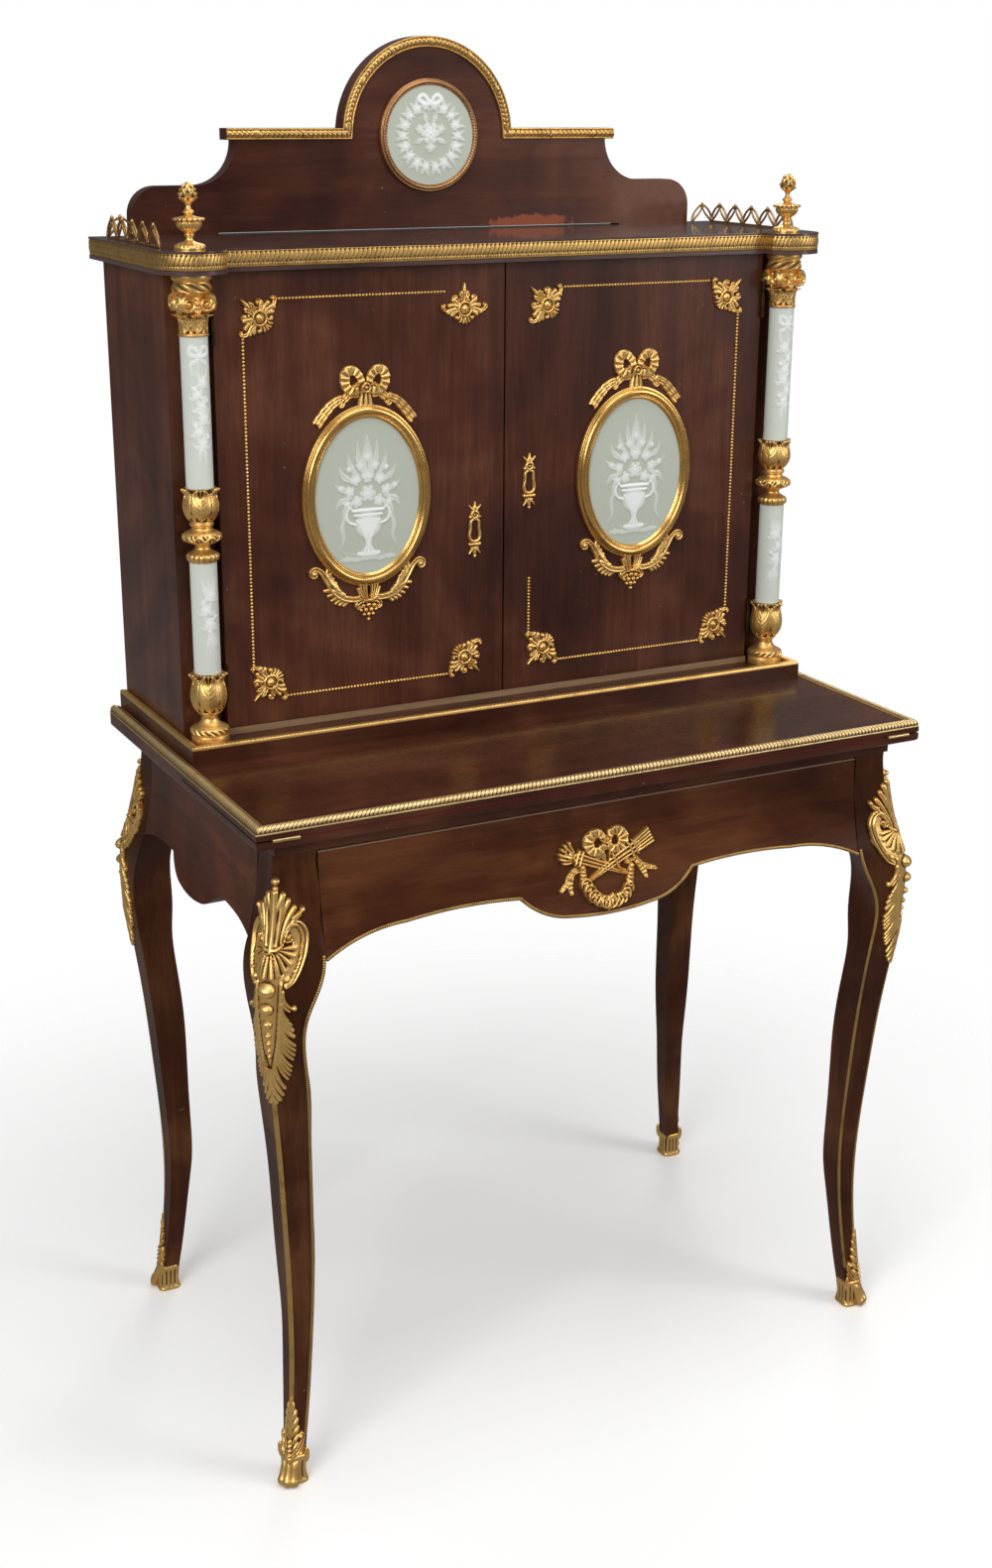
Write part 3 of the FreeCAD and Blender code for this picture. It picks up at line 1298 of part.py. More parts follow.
def make_doors():
    """Two flat doors with their ovals, corner mounts, bead strips and keyhole plates."""
    for side, sign in (("left", -1), ("right", 1)):
        x = door_middle_x * sign
        ends = (door_outer * sign, door_inner * sign)
        low_x, high_x = ends if sign < 0 else ends[::-1]
        block(f"{side}_door_panel", (low_x, door_front, door_low), (high_x, door_back, door_top))
        make_oval(side, x)
        mounts = []
        for across in (-1, 1):
            for up in (-1, 1):
                odd = side == "left" and across > 0 and up > 0
                shares = [*DROP_MOUNT_SHARES, *[(-u, v) for u, v in reversed(DROP_MOUNT_SHARES)]]
                mounts.append(corner_mount(
                    f"{side}_corner_{len(mounts)}", shares if odd else CORNER_SHARES,
                    x + (door_half_x - s.corner_inset_x) * across,
                    door_middle_z + (door_half_z - s.corner_inset_z) * up))
        if side == "left":
            plate = escutcheon("left_escutcheon", x + door_half_x - s.left_escutcheon_inset,
                               door_middle_z - s.left_escutcheon_drop, -1)
            runs = LEFT_BEAD_SHARES
        else:
            plate = escutcheon("right_escutcheon", x - door_half_x + s.right_escutcheon_inset,
                               door_middle_z, 1)
            runs = RIGHT_BEAD_SHARES
        group(f"{side}_door_mounts", [*mounts, plate, *bead_strips(side, x, runs)])
    lock_low = door_middle_z - s.door_lock_height / 2
    case = block("door_lock_stock", (door_inner, door_back, lock_low),
                 (door_inner + s.door_lock_width, door_back + s.door_lock_depth, lock_low + s.door_lock_height))
    bolt_y = door_back + (s.door_lock_depth - s.bolt_width) / 2
    bolt = block("door_bolt", (door_inner, bolt_y, door_middle_z - s.bolt_width / 2),
                 (door_inner + s.door_lock_width / 2, bolt_y + s.bolt_width, door_middle_z + s.bolt_width / 2))
    group("right_door_lock", [less("door_lock_case", case, bolt), bolt])


door_axis_x = post_inner - s.door_hinge_gap / 2
door_axis_y = door_front - s.door_knuckle_radius - s.door_knuckle_clearance


def make_door_hinges():
    """Two butt hinges to each door; returns their fixed halves."""
    fixed_halves = []
    moving_halves = []
    plate_front = door_front
    plate_back = post_front + s.door_hinge_depth
    play = s.leaf_knuckle_clearance
    third = s.door_hinge_height / 3
    heights = (door_low + s.door_hinge_inset, door_top - s.door_hinge_inset - s.door_hinge_height)
    for number, low in enumerate(heights):
        axis = (door_axis_x, door_axis_y)
        case_x = (post_inner - s.door_hinge_plate, post_inner)
        leaf_x = (door_outer, door_outer + s.door_hinge_plate)
        top = low + s.door_hinge_height
        bore = rod(f"door_bore_{number}", s.door_pin_radius + s.pin_clearance, s.door_hinge_height, *axis, low)
        moving = fused(f"door_leaf_stock_{number}", [
            block(f"door_plate_{number}", (leaf_x[0], plate_front, low), (leaf_x[1], door_back, top)),
            block(f"door_tab_{number}", (leaf_x[0], door_axis_y, low + third + play),
                  (leaf_x[1], plate_front, top - third - play)),
            rod(f"door_knuckle_{number}", s.door_knuckle_radius, third - play * 2, *axis, low + third + play),
        ])
        moving_halves.append(less(f"right_door_leaf_{number}", moving, bore))
        fixed_halves.append(fused(f"case_leaf_right_{number}", [
            block(f"case_plate_{number}", (case_x[0], plate_front, low), (case_x[1], plate_back, top)),
            block(f"case_tab_low_{number}", (case_x[0], door_axis_y, low), (case_x[1], plate_front, low + third)),
            block(f"case_tab_high_{number}", (case_x[0], door_axis_y, top - third), (case_x[1], plate_front, top)),
            rod(f"case_knuckle_low_{number}", s.door_knuckle_radius, third, *axis, low),
            rod(f"case_knuckle_high_{number}", s.door_knuckle_radius, third, *axis, top - third),
            rod(f"case_pin_{number}", s.door_pin_radius, s.door_hinge_height, *axis, low),
        ]))
    group("right_door_hinges", moving_halves)
    group("left_door_hinges", [mirrored(f"left_door_leaf_{n}", half, LEFT_RIGHT)
                               for n, half in enumerate(moving_halves)])
    return fixed_halves + [mirrored(f"case_leaf_left_{n}", half, LEFT_RIGHT)
                           for n, half in enumerate(fixed_halves)]


NODES = (
    "leg_front_left", "leg_front_right", "leg_back_left", "leg_back_right",
    "sabot_front_left", "sabot_front_right", "sabot_back_left", "sabot_back_right",
    "knee_mounts", "leg_trims", "frieze_aprons", "drawer_runners",
    "table_top", "bed_lining", "rear_top", "rear_top_moulding",
    "leaf_board", "leaf_lining", "leaf_moulding", "leaf_hinge_plates", "fixed_hinge_plates",
    "drawer_front", "drawer_trim", "drawer_mount", "drawer_sides", "drawer_bottom", "drawer_back", "drawer_lock",
    "cabinet_plinth", "plinth_moulding", "cabinet_floor", "cabinet_sides", "corner_posts", "cabinet_back",
    "cabinet_shelf", "column_bases", "column_lower_sleeves", "column_knops", "column_upper_sleeves",
    "column_capitals", "column_rods", "cornice_board", "cornice_band", "galleries", "finials",
    "crest_board", "crest_moulding", "medallion_frame", "medallion_plaque",
    "left_door_panel", "left_plaque_frame", "left_plaque", "left_door_mounts", "left_door_hinges",
    "right_door_panel", "right_plaque_frame", "right_plaque", "right_door_mounts", "right_door_hinges",
    "right_door_lock",
)


def check_document():
    """Stop if any object failed or any node's shape is empty or broken."""
    doc.recompute()
    failed = [item.Label for item in doc.Objects if {"Invalid", "Error"} & set(item.State)]
    for label in NODES:
        shape = doc.getObjectsByLabel(label)[0].Shape
        if shape.isNull() or not shape.isValid() or not shape.Solids:
            failed.append(label)
    if failed:
        raise RuntimeError(f"failed objects: {failed}")


def write_parts():
    """Write each node's solids to its own file."""
    os.makedirs("parts", exist_ok=True)
    for label in NODES:
        doc.getObjectsByLabel(label)[0].Shape.exportStep(f"parts/{label}.step")


make_legs()
make_aprons()
make_drawer()
make_runners()
make_table_top()
make_cabinet()
make_columns()
make_cornice()
make_crest()
make_doors()
group("fixed_hinge_plates", make_leaf_hinges() + make_door_hinges())
check_document()
write_parts()
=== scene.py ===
"""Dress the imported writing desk: polished mahogany, gilt bronze mounts and porcelain plaques."""

from __future__ import annotations

import logging
import math
from dataclasses import dataclass
from enum import Enum
from typing import Callable

import bpy
import numpy as np
from mathutils import Matrix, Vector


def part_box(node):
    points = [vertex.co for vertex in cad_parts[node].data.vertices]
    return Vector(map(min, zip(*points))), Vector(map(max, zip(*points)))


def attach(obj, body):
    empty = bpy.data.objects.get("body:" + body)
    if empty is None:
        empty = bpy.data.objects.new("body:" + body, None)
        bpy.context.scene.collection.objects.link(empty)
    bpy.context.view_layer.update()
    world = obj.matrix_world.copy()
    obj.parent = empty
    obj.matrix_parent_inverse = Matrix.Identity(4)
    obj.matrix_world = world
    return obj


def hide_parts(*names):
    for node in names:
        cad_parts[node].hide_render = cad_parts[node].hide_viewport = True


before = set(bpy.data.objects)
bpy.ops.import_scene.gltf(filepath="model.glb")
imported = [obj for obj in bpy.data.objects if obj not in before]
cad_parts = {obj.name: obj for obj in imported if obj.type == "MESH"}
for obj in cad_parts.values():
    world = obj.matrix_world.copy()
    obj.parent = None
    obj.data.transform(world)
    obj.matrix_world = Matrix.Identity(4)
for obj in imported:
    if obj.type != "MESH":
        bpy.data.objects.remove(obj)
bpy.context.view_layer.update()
MM = 0.001
TURN = 2.0 * math.pi
LOG = logging.getLogger("writing_desk")

Array = np.ndarray
Triple = tuple[float, float, float]
Colour = Triple
Spot = tuple[float, float]
Place = Callable[[Array, Array, Array], Array]
Swell = Callable[[Array, Array], Array]


class Grain(Enum):
    """Direction of the wood's fibres, as the mapping scale that stretches a pattern along it."""

    ACROSS = (0.07, 1.0, 1.0)
    DEEP = (1.0, 0.07, 1.0)
    UPRIGHT = (1.0, 1.0, 0.07)


class Section(Enum):
    """Cross-section of a raised stroke."""

    ROUND = 0
    BAND = 1
    GROOVED = 2
    FLUTED = 3


ROUND, BAND, GROOVED, FLUTED = Section


class Wire:
    """A shader socket that takes part in arithmetic."""

    def __init__(self, graph: Graph, socket: bpy.types.NodeSocket) -> None:
        """Hold a socket and the graph that it belongs to."""
        self.graph = graph
        self.socket = socket

    def _sum(self, operation: str, first: object, second: object) -> Wire:
        """Add a Math node.

        Args:
            operation: the Math node's operation.
            first: the first value or wire.
            second: the second value or wire.

        Returns:
            The node's output.
        """
        node = self.graph.node("ShaderNodeMath", {"operation": operation}, {0: first, 1: second})
        return Wire(self.graph, node.outputs[0])

    def __add__(self, other: object) -> Wire:
        """Add."""
        return self._sum("ADD", self, other)

    def __sub__(self, other: object) -> Wire:
        """Take away."""
        return self._sum("SUBTRACT", self, other)

    def __rsub__(self, other: object) -> Wire:
        """Take away from a number."""
        return self._sum("SUBTRACT", other, self)

    def __mul__(self, other: object) -> Wire:
        """Multiply."""
        return self._sum("MULTIPLY", self, other)

    def __pow__(self, other: object) -> Wire:
        """Raise to a power."""
        return self._sum("POWER", self, other)

    __radd__ = __add__
    __rmul__ = __mul__

    def step(self, low: float, high: float) -> Wire:
        """Return a smooth step from 0 at low to 1 at high.

        Args:
            low: value that gives 0.
            high: value that gives 1.

        Returns:
            The node's output.
        """
        node = self.graph.node("ShaderNodeMapRange", {"interpolation_type": "SMOOTHSTEP"},
                               {0: self, 1: low, 2: high})
        return Wire(self.graph, node.outputs[0])


class Graph:
    """A node tree under construction."""

    def __init__(self, tree: bpy.types.NodeTree) -> None:
        """Start from an empty tree."""
        self.tree = tree
        tree.nodes.clear()

    def node(self, kind: str, settings: dict | None = None, sockets: dict | None = None) -> bpy.types.Node:
        """Add a node.

        Args:
            kind: Blender's name of the node's type.
            settings: properties, set first; "stops" fills a colour ramp.
            sockets: values or wires of inputs, by name or number.

        Returns:
            The new node.
        """
        made = self.tree.nodes.new(kind)
        for key, value in (settings or {}).items():
            if key == "stops":
                ramp = made.color_ramp
                while len(ramp.elements) < len(value):
                    ramp.elements.new(1.0)
                for element, (place, colour) in zip(ramp.elements, value):
                    element.position = place
                    element.color = (*colour, 1.0)
            else:
                setattr(made, key, value)
        for key, value in (sockets or {}).items():
            if isinstance(value, Wire):
                self.tree.links.new(value.socket, made.inputs[key])
            else:
                made.inputs[key].default_value = value
        return made

    def wire(self, kind: str, settings: dict | None = None, sockets: dict | None = None,
             output: int | str = 0) -> Wire:
        """Add a node and return one of its outputs."""
        return Wire(self, self.node(kind, settings, sockets).outputs[output])

    def noise(self, vector: Wire, scale: float, detail: float = 3.0, rough: float = 0.5,
              warp: float = 0.0) -> Wire:
        """Return fractal noise between about 0 and 1."""
        return self.wire("ShaderNodeTexNoise", {}, {
            "Vector": vector, "Scale": scale, "Detail": detail, "Roughness": rough, "Distortion": warp})

    def place(self, scale: Triple = (1.0, 1.0, 1.0)) -> Wire:
        """Return object coordinates, scaled."""
        source = self.wire("ShaderNodeTexCoord", output="Object")
        return self.wire("ShaderNodeMapping", {}, {"Vector": source, "Scale": scale})

    def axis(self, vector: Wire, index: int) -> Wire:
        """Return one coordinate of a vector."""
        return self.wire("ShaderNodeSeparateXYZ", {}, {0: vector}, index)

    def mix(self, factor: object, first: object, second: object) -> Wire:
        """Return a colour between two colours.

        Args:
            factor: share of the second colour.
            first: colour or wire.
            second: colour or wire.

        Returns:
            The node's output.
        """
        first = first if isinstance(first, Wire) else (*first, 1.0)
        second = second if isinstance(second, Wire) else (*second, 1.0)
        return self.wire("ShaderNodeMix", {"data_type": "RGBA"}, {0: factor, 6: first, 7: second}, output=2)

    def ramp(self, value: Wire, stops: list[tuple[float, Colour]]) -> Wire:
        """Return the colour of a ramp at a value."""
        return self.wire("ShaderNodeValToRGB", {"stops": stops}, {0: value})

    def bump(self, height: Wire, strength: float, distance: float) -> Wire:
        """Return a normal tilted by a height in metres times distance."""
        return self.wire("ShaderNodeBump", {}, {"Strength": strength, "Distance": distance, "Height": height})

    def attribute(self, name: str) -> Wire:
        """Return a number stored on the mesh's vertices."""
        return self.wire("ShaderNodeAttribute", {"attribute_name": name}, output="Fac")

    def close(self, sockets: dict) -> None:
        """End the tree in a principled surface with these inputs."""
        shader = self.wire("ShaderNodeBsdfPrincipled", {}, sockets)
        self.node("ShaderNodeOutputMaterial", {}, {"Surface": shader})


def new_material(name: str) -> tuple[bpy.types.Material, Graph]:
    """Start a material with an empty node graph.

    Args:
        name: the name.

    Returns:
        The material and its graph.
    """
    material = bpy.data.materials.new(name)
    material.use_nodes = True
    return material, Graph(material.node_tree)


@dataclass(frozen=True)
class Mahogany:
    """French-polished wood: streaked fibres, cloudy figure, dark pores and a clear gloss."""

    name: str
    grain: Grain
    deep: Colour = (0.030, 0.0072, 0.0038)
    body: Colour = (0.066, 0.0182, 0.0092)
    warm: Colour = (0.125, 0.043, 0.0205)
    bare_wood_and_highlight: Colour = (0.30, 0.19, 0.13)
    roughness: float = 0.30
    coat: float = 0.10
    gloss: float = 0.28
    patch: tuple[float, float, float, float] | None = None
    patch_back: float = 0.215
    # Height of the top edge that gets a painted highlight in the bare-wood colour, partly a worn edge.
    worn_edge_highlight: float | None = None
    fresh: Colour = (0.26, 0.068, 0.027)

    def build(self) -> bpy.types.Material:
        """Return the material.

        Returns:
            The material.
        """
        material, g = new_material(self.name)
        fibre = g.place(self.grain.value)
        plain = g.place()
        streak = g.noise(fibre, 240.0, 4.0, 0.62, 0.3)
        figure = g.noise(fibre, 26.0, 3.0, 0.55, 0.9)
        cloud = g.noise(plain, 5.5, 3.0, 0.6, 0.6)
        pores = g.noise(fibre, 1150.0, 2.0, 0.5).step(0.60, 0.72)
        shade = streak * 0.28 + figure * 0.48 + cloud * 1.15 - 0.46
        colour = g.ramp(shade, [(0.24, self.deep), (0.50, self.body), (0.76, self.warm)])
        colour = g.mix(pores * 0.55, colour, self.deep)
        smear = g.noise(plain, 14.0, 3.0, 0.6)
        knocks = g.noise(plain, 190.0, 2.0, 0.5).step(0.725, 0.745) * smear.step(0.56, 0.66)
        colour = g.mix(knocks * 0.55, colour, self.bare_wood_and_highlight)
        if self.patch:
            x, z, wide, tall = self.patch
            over, up = (g.axis(plain, 0) - x) * (1.0 / wide), (g.axis(plain, 2) - z) * (1.0 / tall)
            reach = (over * over + up * up) ** 0.5 + (g.noise(plain, 120.0, 3.0) - 0.5) * 1.1
            ahead = 1.0 - g.axis(plain, 1).step(self.patch_back, self.patch_back + 0.002)
            colour = g.mix((1.0 - reach.step(0.70, 1.0)) * ahead * 0.85, colour, self.fresh)
        # Painted highlight: a thin band just under this height, along the drawer front's top edge, takes the
        # pale bare-wood colour, partly a worn edge and partly the light it catches.
        if self.worn_edge_highlight:
            edge = g.axis(plain, 2).step(self.worn_edge_highlight - 0.0012, self.worn_edge_highlight - 0.0006)
            colour = g.mix(edge * 0.8, colour, self.bare_wood_and_highlight)
        rough = self.roughness - 0.07 + streak * 0.08 + smear * 0.10 + pores * 0.10
        normal = g.bump(streak * 0.4 - pores, 0.10, 0.0004)
        g.close({"Base Color": colour, "Roughness": rough, "Normal": normal, "Coat Weight": self.coat,
                 "Coat Roughness": 0.07, "Specular IOR Level": self.gloss})
        return material


@dataclass(frozen=True)
class GiltBronze:
    """Cast and chased bronze with old gilding: bright on its crests, worn to patina in clouds, and painted
    dark brown and less metallic in its hollows as shade.
    """

    name: str
    crest: Colour = (0.90, 0.570, 0.195)
    hollow_shade: Colour = (0.075, 0.028, 0.007)
    patina: Colour = (0.62, 0.340, 0.095)
    roughness: float = 0.38

    def build(self) -> bpy.types.Material:
        """Return the material.

        Returns:
            The material.
        """
        material, g = new_material(self.name)
        plain = g.place()
        depth = g.attribute("cavity")
        cloud = g.noise(plain, 55.0, 4.0, 0.62)
        grit = g.noise(plain, 900.0, 2.0, 0.6)
        worn = g.mix(cloud.step(0.46, 0.72) * 0.75, self.crest, self.patina)
        # Painted shade: the cavity tint darkens the hollows towards the dark hollow colour, rougher and less
        # metallic.
        sunk = (depth * 1.4 + (cloud - 0.5) * 0.22).step(0.08, 0.90)
        colour = g.mix(sunk, worn, self.hollow_shade)
        rough = self.roughness + sunk * 0.30 + cloud * 0.12 + grit * 0.06 - 0.08
        normal = g.bump(grit * 0.6 + cloud * 0.4, 0.14, 0.0006)
        g.close({"Base Color": colour, "Roughness": rough, "Metallic": 0.92 - sunk * 0.40, "Normal": normal})
        return material


@dataclass(frozen=True)
class Porcelain:
    """Tinted porcelain with white slip painted on in thin relief, under a soft glaze."""

    name: str
    ground: Colour = (0.450, 0.485, 0.405)
    shade: Colour = (0.40, 0.44, 0.36)
    slip: Colour = (0.82, 0.83, 0.82)

    def build(self) -> bpy.types.Material:
        """Return the material.

        Returns:
            The material.
        """
        material, g = new_material(self.name)
        plain = g.place()
        cloud = g.noise(plain, 30.0, 3.0, 0.5)
        speck = g.noise(plain, 600.0, 2.0, 0.6)
        body = g.mix(cloud.step(0.3, 0.8) * 0.35, self.ground, self.shade)
        film = g.attribute("slip").step(0.02, 0.95)
        colour = g.mix(film * 0.92, body, self.slip)
        rough = 0.36 + cloud * 0.10 + film * 0.08
        normal = g.bump(speck + cloud, 0.05, 0.0003)
        g.close({"Base Color": colour, "Roughness": rough, "Normal": normal, "Coat Weight": 0.25,
                 "Coat Roughness": 0.12})
        return material


@dataclass(frozen=True)
class Plain:
    """A lesser finish with a cloudy tint and a fine grain: lining, iron, steel, brass or inner wood."""

    name: str
    low: Colour
    high: Colour
    roughness: float
    metallic: float = 0.0
    grain: Triple = (1.0, 1.0, 1.0)
    scale: float = 180.0
    relief: float = 0.2
    dim_from: float | None = None
    dim: Colour = (0.045, 0.026, 0.012)

    def build(self) -> bpy.types.Material:
        """Return the material.

        Returns:
            The material.
        """
        material, g = new_material(self.name)
        fibre = g.place(self.grain)
        fine = g.noise(fibre, self.scale, 4.0, 0.6)
        cloud = g.noise(g.place(), 9.0, 3.0, 0.5)
        colour = g.ramp(fine * 0.6 + cloud * 0.4, [(0.30, self.low), (0.70, self.high)])
        if self.dim_from:
            colour = g.mix(g.axis(g.place(), 2).step(self.dim_from, self.dim_from + 0.005), colour, self.dim)
        rough = self.roughness - 0.06 + fine * 0.12
        normal = g.bump(fine, self.relief, 0.0006)
        g.close({"Base Color": colour, "Roughness": rough, "Normal": normal, "Metallic": self.metallic})
        return material


# Angle in degrees from which edges stay sharp, and steepness with which a relief falls away outside its edge.
CREASE = 60.0
FALL = 2.5
# Beaded wire along edges: radius, distance between beads, distance between rings and points of a ring.
WIRE_RADIUS = 1.85
WIRE_PERIOD = 2.4
WIRE_STEP = 0.6
WIRE_SIDES = 8


@dataclass
class Solid:
    """A closed mesh in millimetres: points, groups of faces of one size each, and a number per point."""

    points: Array
    faces: list[Array]
    tint: Array

    def outward(self) -> Solid:
        """Return the solid with its faces turned outwards, by the sign of its volume summed over fans.

        Returns:
            The solid.
        """
        volume = 0.0
        for group in self.faces:
            corners = self.points[group]
            for k in range(1, group.shape[1] - 1):
                volume += np.einsum("ij,ij->", corners[:, 0], np.cross(corners[:, k], corners[:, k + 1]))
        if volume < 0:
            return Solid(self.points, [group[:, ::-1] for group in self.faces], self.tint)
        return self

    def mapped(self, move: Callable[[Array], Array]) -> Solid:
        """Return a moved copy, turned right side out."""
        return Solid(move(self.points), self.faces, self.tint).outward()

    def mirrored(self, axis: int) -> Solid:
        """Return a copy mirrored across the plane through the middle of the desk.

        Args:
            axis: 0 for left and right, 1 for front and back.

        Returns:
            The solid.
        """
        flip = np.ones(3)
        flip[axis] = -1.0
        return self.mapped(lambda points: points * flip)

    def paired(self) -> Solid:
        """Return the solid together with its mirror image on the other side of the desk."""
        return joined([self, self.mirrored(0)])


def joined(solids: list[Solid]) -> Solid:
    """Return several solids as one mesh.

    Args:
        solids: the solids.

    Returns:
        The solid.
    """
    starts = np.cumsum([0] + [len(solid.points) for solid in solids])
    groups: dict[int, list[Array]] = {}
    for solid, start in zip(solids, starts):
        for group in solid.faces:
            groups.setdefault(group.shape[1], []).append(group + start)
    return Solid(np.concatenate([solid.points for solid in solids]),
                 [np.concatenate(group) for group in groups.values()],
                 np.concatenate([solid.tint for solid in solids]))


def emit(name: str, solid: Solid, body: str, material: bpy.types.Material, nodes: tuple[str, ...] = (),
         tint: str = "cavity") -> None:
    """Make a Blender object of a solid and let it ride on a body.

    Args:
        name: the object's name.
        solid: its mesh in millimetres.
        body: the CAD body that carries it.
        material: its finish.
        nodes: CAD nodes that it stands for.
        tint: name of the vertex attribute that holds the solid's tint.
    """
    mesh = bpy.data.meshes.new(name)
    faces = [face for group in solid.faces for face in group.tolist()]
    mesh.from_pydata((solid.points * MM).tolist(), [], faces)
    layer = mesh.attributes.new(tint, "FLOAT", "POINT")
    layer.data.foreach_set("value", solid.tint.astype(np.float32))
    mesh.polygons.foreach_set("use_smooth", np.ones(len(mesh.polygons), dtype=bool))
    mesh.set_sharp_from_angle(angle=math.radians(CREASE))
    mesh.materials.append(material)
    mesh.update()
    piece = bpy.data.objects.new(name, mesh)
    bpy.context.scene.collection.objects.link(piece)
    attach(piece, body)
    if nodes:
        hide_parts(*nodes)
    LOG.info("%s: %d faces on %s", name, len(mesh.polygons), body)


def dome(square: Array) -> Array:
    """Return the height of a unit half ball over the square of the distance from its middle."""
    return np.sqrt(np.clip(1.0 - square, 0.0, 1.0))


def circle(count: int) -> Array:
    """Return evenly spaced angles of a full turn."""
    return np.linspace(0.0, TURN, count, endpoint=False)


def quads(rows: int, cols: int, wrap_rows: bool, wrap_cols: bool) -> Array:
    """Return the faces of a grid of points, joined up along a direction that wraps.

    Args:
        rows: number of rows.
        cols: number of columns.
        wrap_rows: whether the last row meets the first.
        wrap_cols: whether the last column meets the first.

    Returns:
        Point numbers, four to a face.
    """
    index = np.arange(rows * cols).reshape(rows, cols)
    if wrap_rows:
        index = np.vstack([index, index[:1]])
    if wrap_cols:
        index = np.hstack([index, index[:, :1]])
    return np.stack([index[:-1, :-1], index[:-1, 1:], index[1:, 1:], index[1:, :-1]], axis=-1).reshape(-1, 4)


def blurred(height: Array, reach: int) -> Array:
    """Return a grid averaged over a square window, by running sums along each side.

    Args:
        height: the grid.
        reach: half the window, in points.

    Returns:
        The averaged grid.
    """
    for axis in (0, 1):
        pad = [(0, 0), (0, 0)]
        pad[axis] = (reach + 1, reach)
        total = np.cumsum(np.pad(height, pad, mode="edge"), axis=axis)
        size = 2 * reach + 1
        ahead = np.take(total, np.arange(size, total.shape[axis]), axis=axis)
        behind = np.take(total, np.arange(0, total.shape[axis] - size), axis=axis)
        height = (ahead - behind) / size
    return height


def hollows(height: Array, reach: int, scale: float) -> Array:
    """Return how sunk each point of a grid is below its surroundings, from 0 to 1."""
    return np.clip((blurred(height, reach) - height) / scale, 0.0, 1.0)


def walled(top: Array, bottom: Array, keep: Array, tint: Array) -> Solid:
    """Close the kept cells of a grid into a solid.

    The kept cells of the top grid, the same cells of the bottom grid turned over, and a wall along each
    edge where a kept cell meets a dropped one.

    Args:
        top: upper points, rows by columns by 3.
        bottom: lower points, of the same shape.
        keep: which cells are kept, one less each way.
        tint: number per grid point.

    Returns:
        The closed solid.
    """
    keep = keep & ~lone_corners(keep)
    rows, cols = keep.shape[0] + 1, keep.shape[1] + 1
    index = np.arange(rows * cols).reshape(rows, cols)
    under = rows * cols
    framed = np.pad(keep, 1)
    a, b, c, d = index[:-1, :-1], index[:-1, 1:], index[1:, 1:], index[1:, :-1]
    faces = [np.stack([a, b, c, d], -1)[keep], np.stack([d, c, b, a], -1)[keep] + under]
    for first, second, beyond in ((a, b, framed[:-2, 1:-1]), (b, c, framed[1:-1, 2:]),
                                  (c, d, framed[2:, 1:-1]), (d, a, framed[1:-1, :-2])):
        edge = keep & ~beyond
        one, two = first[edge], second[edge]
        faces.append(np.stack([two, one, one + under, two + under], -1))
    every = np.concatenate(faces)
    points = np.concatenate([top.reshape(-1, 3), bottom.reshape(-1, 3)])
    used, numbered = np.unique(every, return_inverse=True)
    both = np.concatenate([tint.ravel(), tint.ravel()])
    return Solid(points[used], [numbered.reshape(-1, 4)], both[used]).outward()


def lone_corners(keep: Array) -> Array:
    """Return the cells that touch only a diagonal neighbour at a corner, where walls would pinch.

    Args:
        keep: which cells are kept.

    Returns:
        A mask of cells.
    """
    a, b, c, d = keep[:-1, :-1], keep[:-1, 1:], keep[1:, 1:], keep[1:, :-1]
    bad = np.zeros(keep.shape, dtype=bool)
    bad[:-1, :-1] |= a & c & ~b & ~d
    bad[:-1, 1:] |= b & d & ~a & ~c
    return bad


def bow_line(*knots: Spot, count: int = 32) -> Array:
    """Return a smooth line through points, by cubic pieces whose slopes follow the neighbours.

    Args:
        knots: the points to pass.
        count: number of points.

    Returns:
        The points.
    """
    points = np.array(knots, dtype=float)
    ends = np.vstack([2 * points[0] - points[1], points, 2 * points[-1] - points[-2]])
    place = np.linspace(0.0, len(points) - 1.0, count)
    cell = np.minimum(place.astype(int), len(points) - 2)
    t = (place - cell)[:, None]
    p0, p1, p2, p3 = ends[cell], ends[cell + 1], ends[cell + 2], ends[cell + 3]
    return 0.5 * (2 * p1 + (p2 - p0) * t + (2 * p0 - 5 * p1 + 4 * p2 - p3) * t**2
                  + (3 * p1 - p0 - 3 * p2 + p3) * t**3)


def spiral(centre: Spot, start: float, end: float, angle: float, turns: float, count: int) -> Array:
    """Return points of a scroll: the radius runs evenly from start to end while the angle turns.

    Args:
        centre: the middle.
        start: first radius.
        end: last radius.
        angle: first angle in degrees.
        turns: turns, against the clock.
        count: number of points.

    Returns:
        The points.
    """
    share = np.linspace(0.0, 1.0, count)
    radius = start + (end - start) * share
    turn = math.radians(angle) + TURN * turns * share
    return np.stack([centre[0] + radius * np.cos(turn), centre[1] + radius * np.sin(turn)], -1)


def along(path: Array, u: Array, v: Array) -> tuple[Array, Array]:
    """Return for each point the share along the nearest place of a path and the signed distance to it.

    Args:
        path: points of the line.
        u: across, of each point.
        v: up, of each point.

    Returns:
        The shares and the distances.
    """
    run = np.diff(path, axis=0)
    length = np.hypot(run[:, 0], run[:, 1]) + 1e-9
    reached = np.concatenate([[0.0], np.cumsum(length)])
    best = np.full(u.shape, 1e9)
    share = np.zeros(u.shape)
    side = np.zeros(u.shape)
    for k in range(len(run)):
        du, dv = u - path[k, 0], v - path[k, 1]
        t = np.clip((du * run[k, 0] + dv * run[k, 1]) / length[k]**2, 0.0, 1.0)
        eu, ev = du - t * run[k, 0], dv - t * run[k, 1]
        gap = np.hypot(eu, ev)
        near = gap < best
        best = np.where(near, gap, best)
        share = np.where(near, (reached[k] + t * length[k]) / reached[-1], share)
        side = np.where(near, run[k, 0] * ev - run[k, 1] * eu, side)
    return share, np.where(side < 0, -best, best)


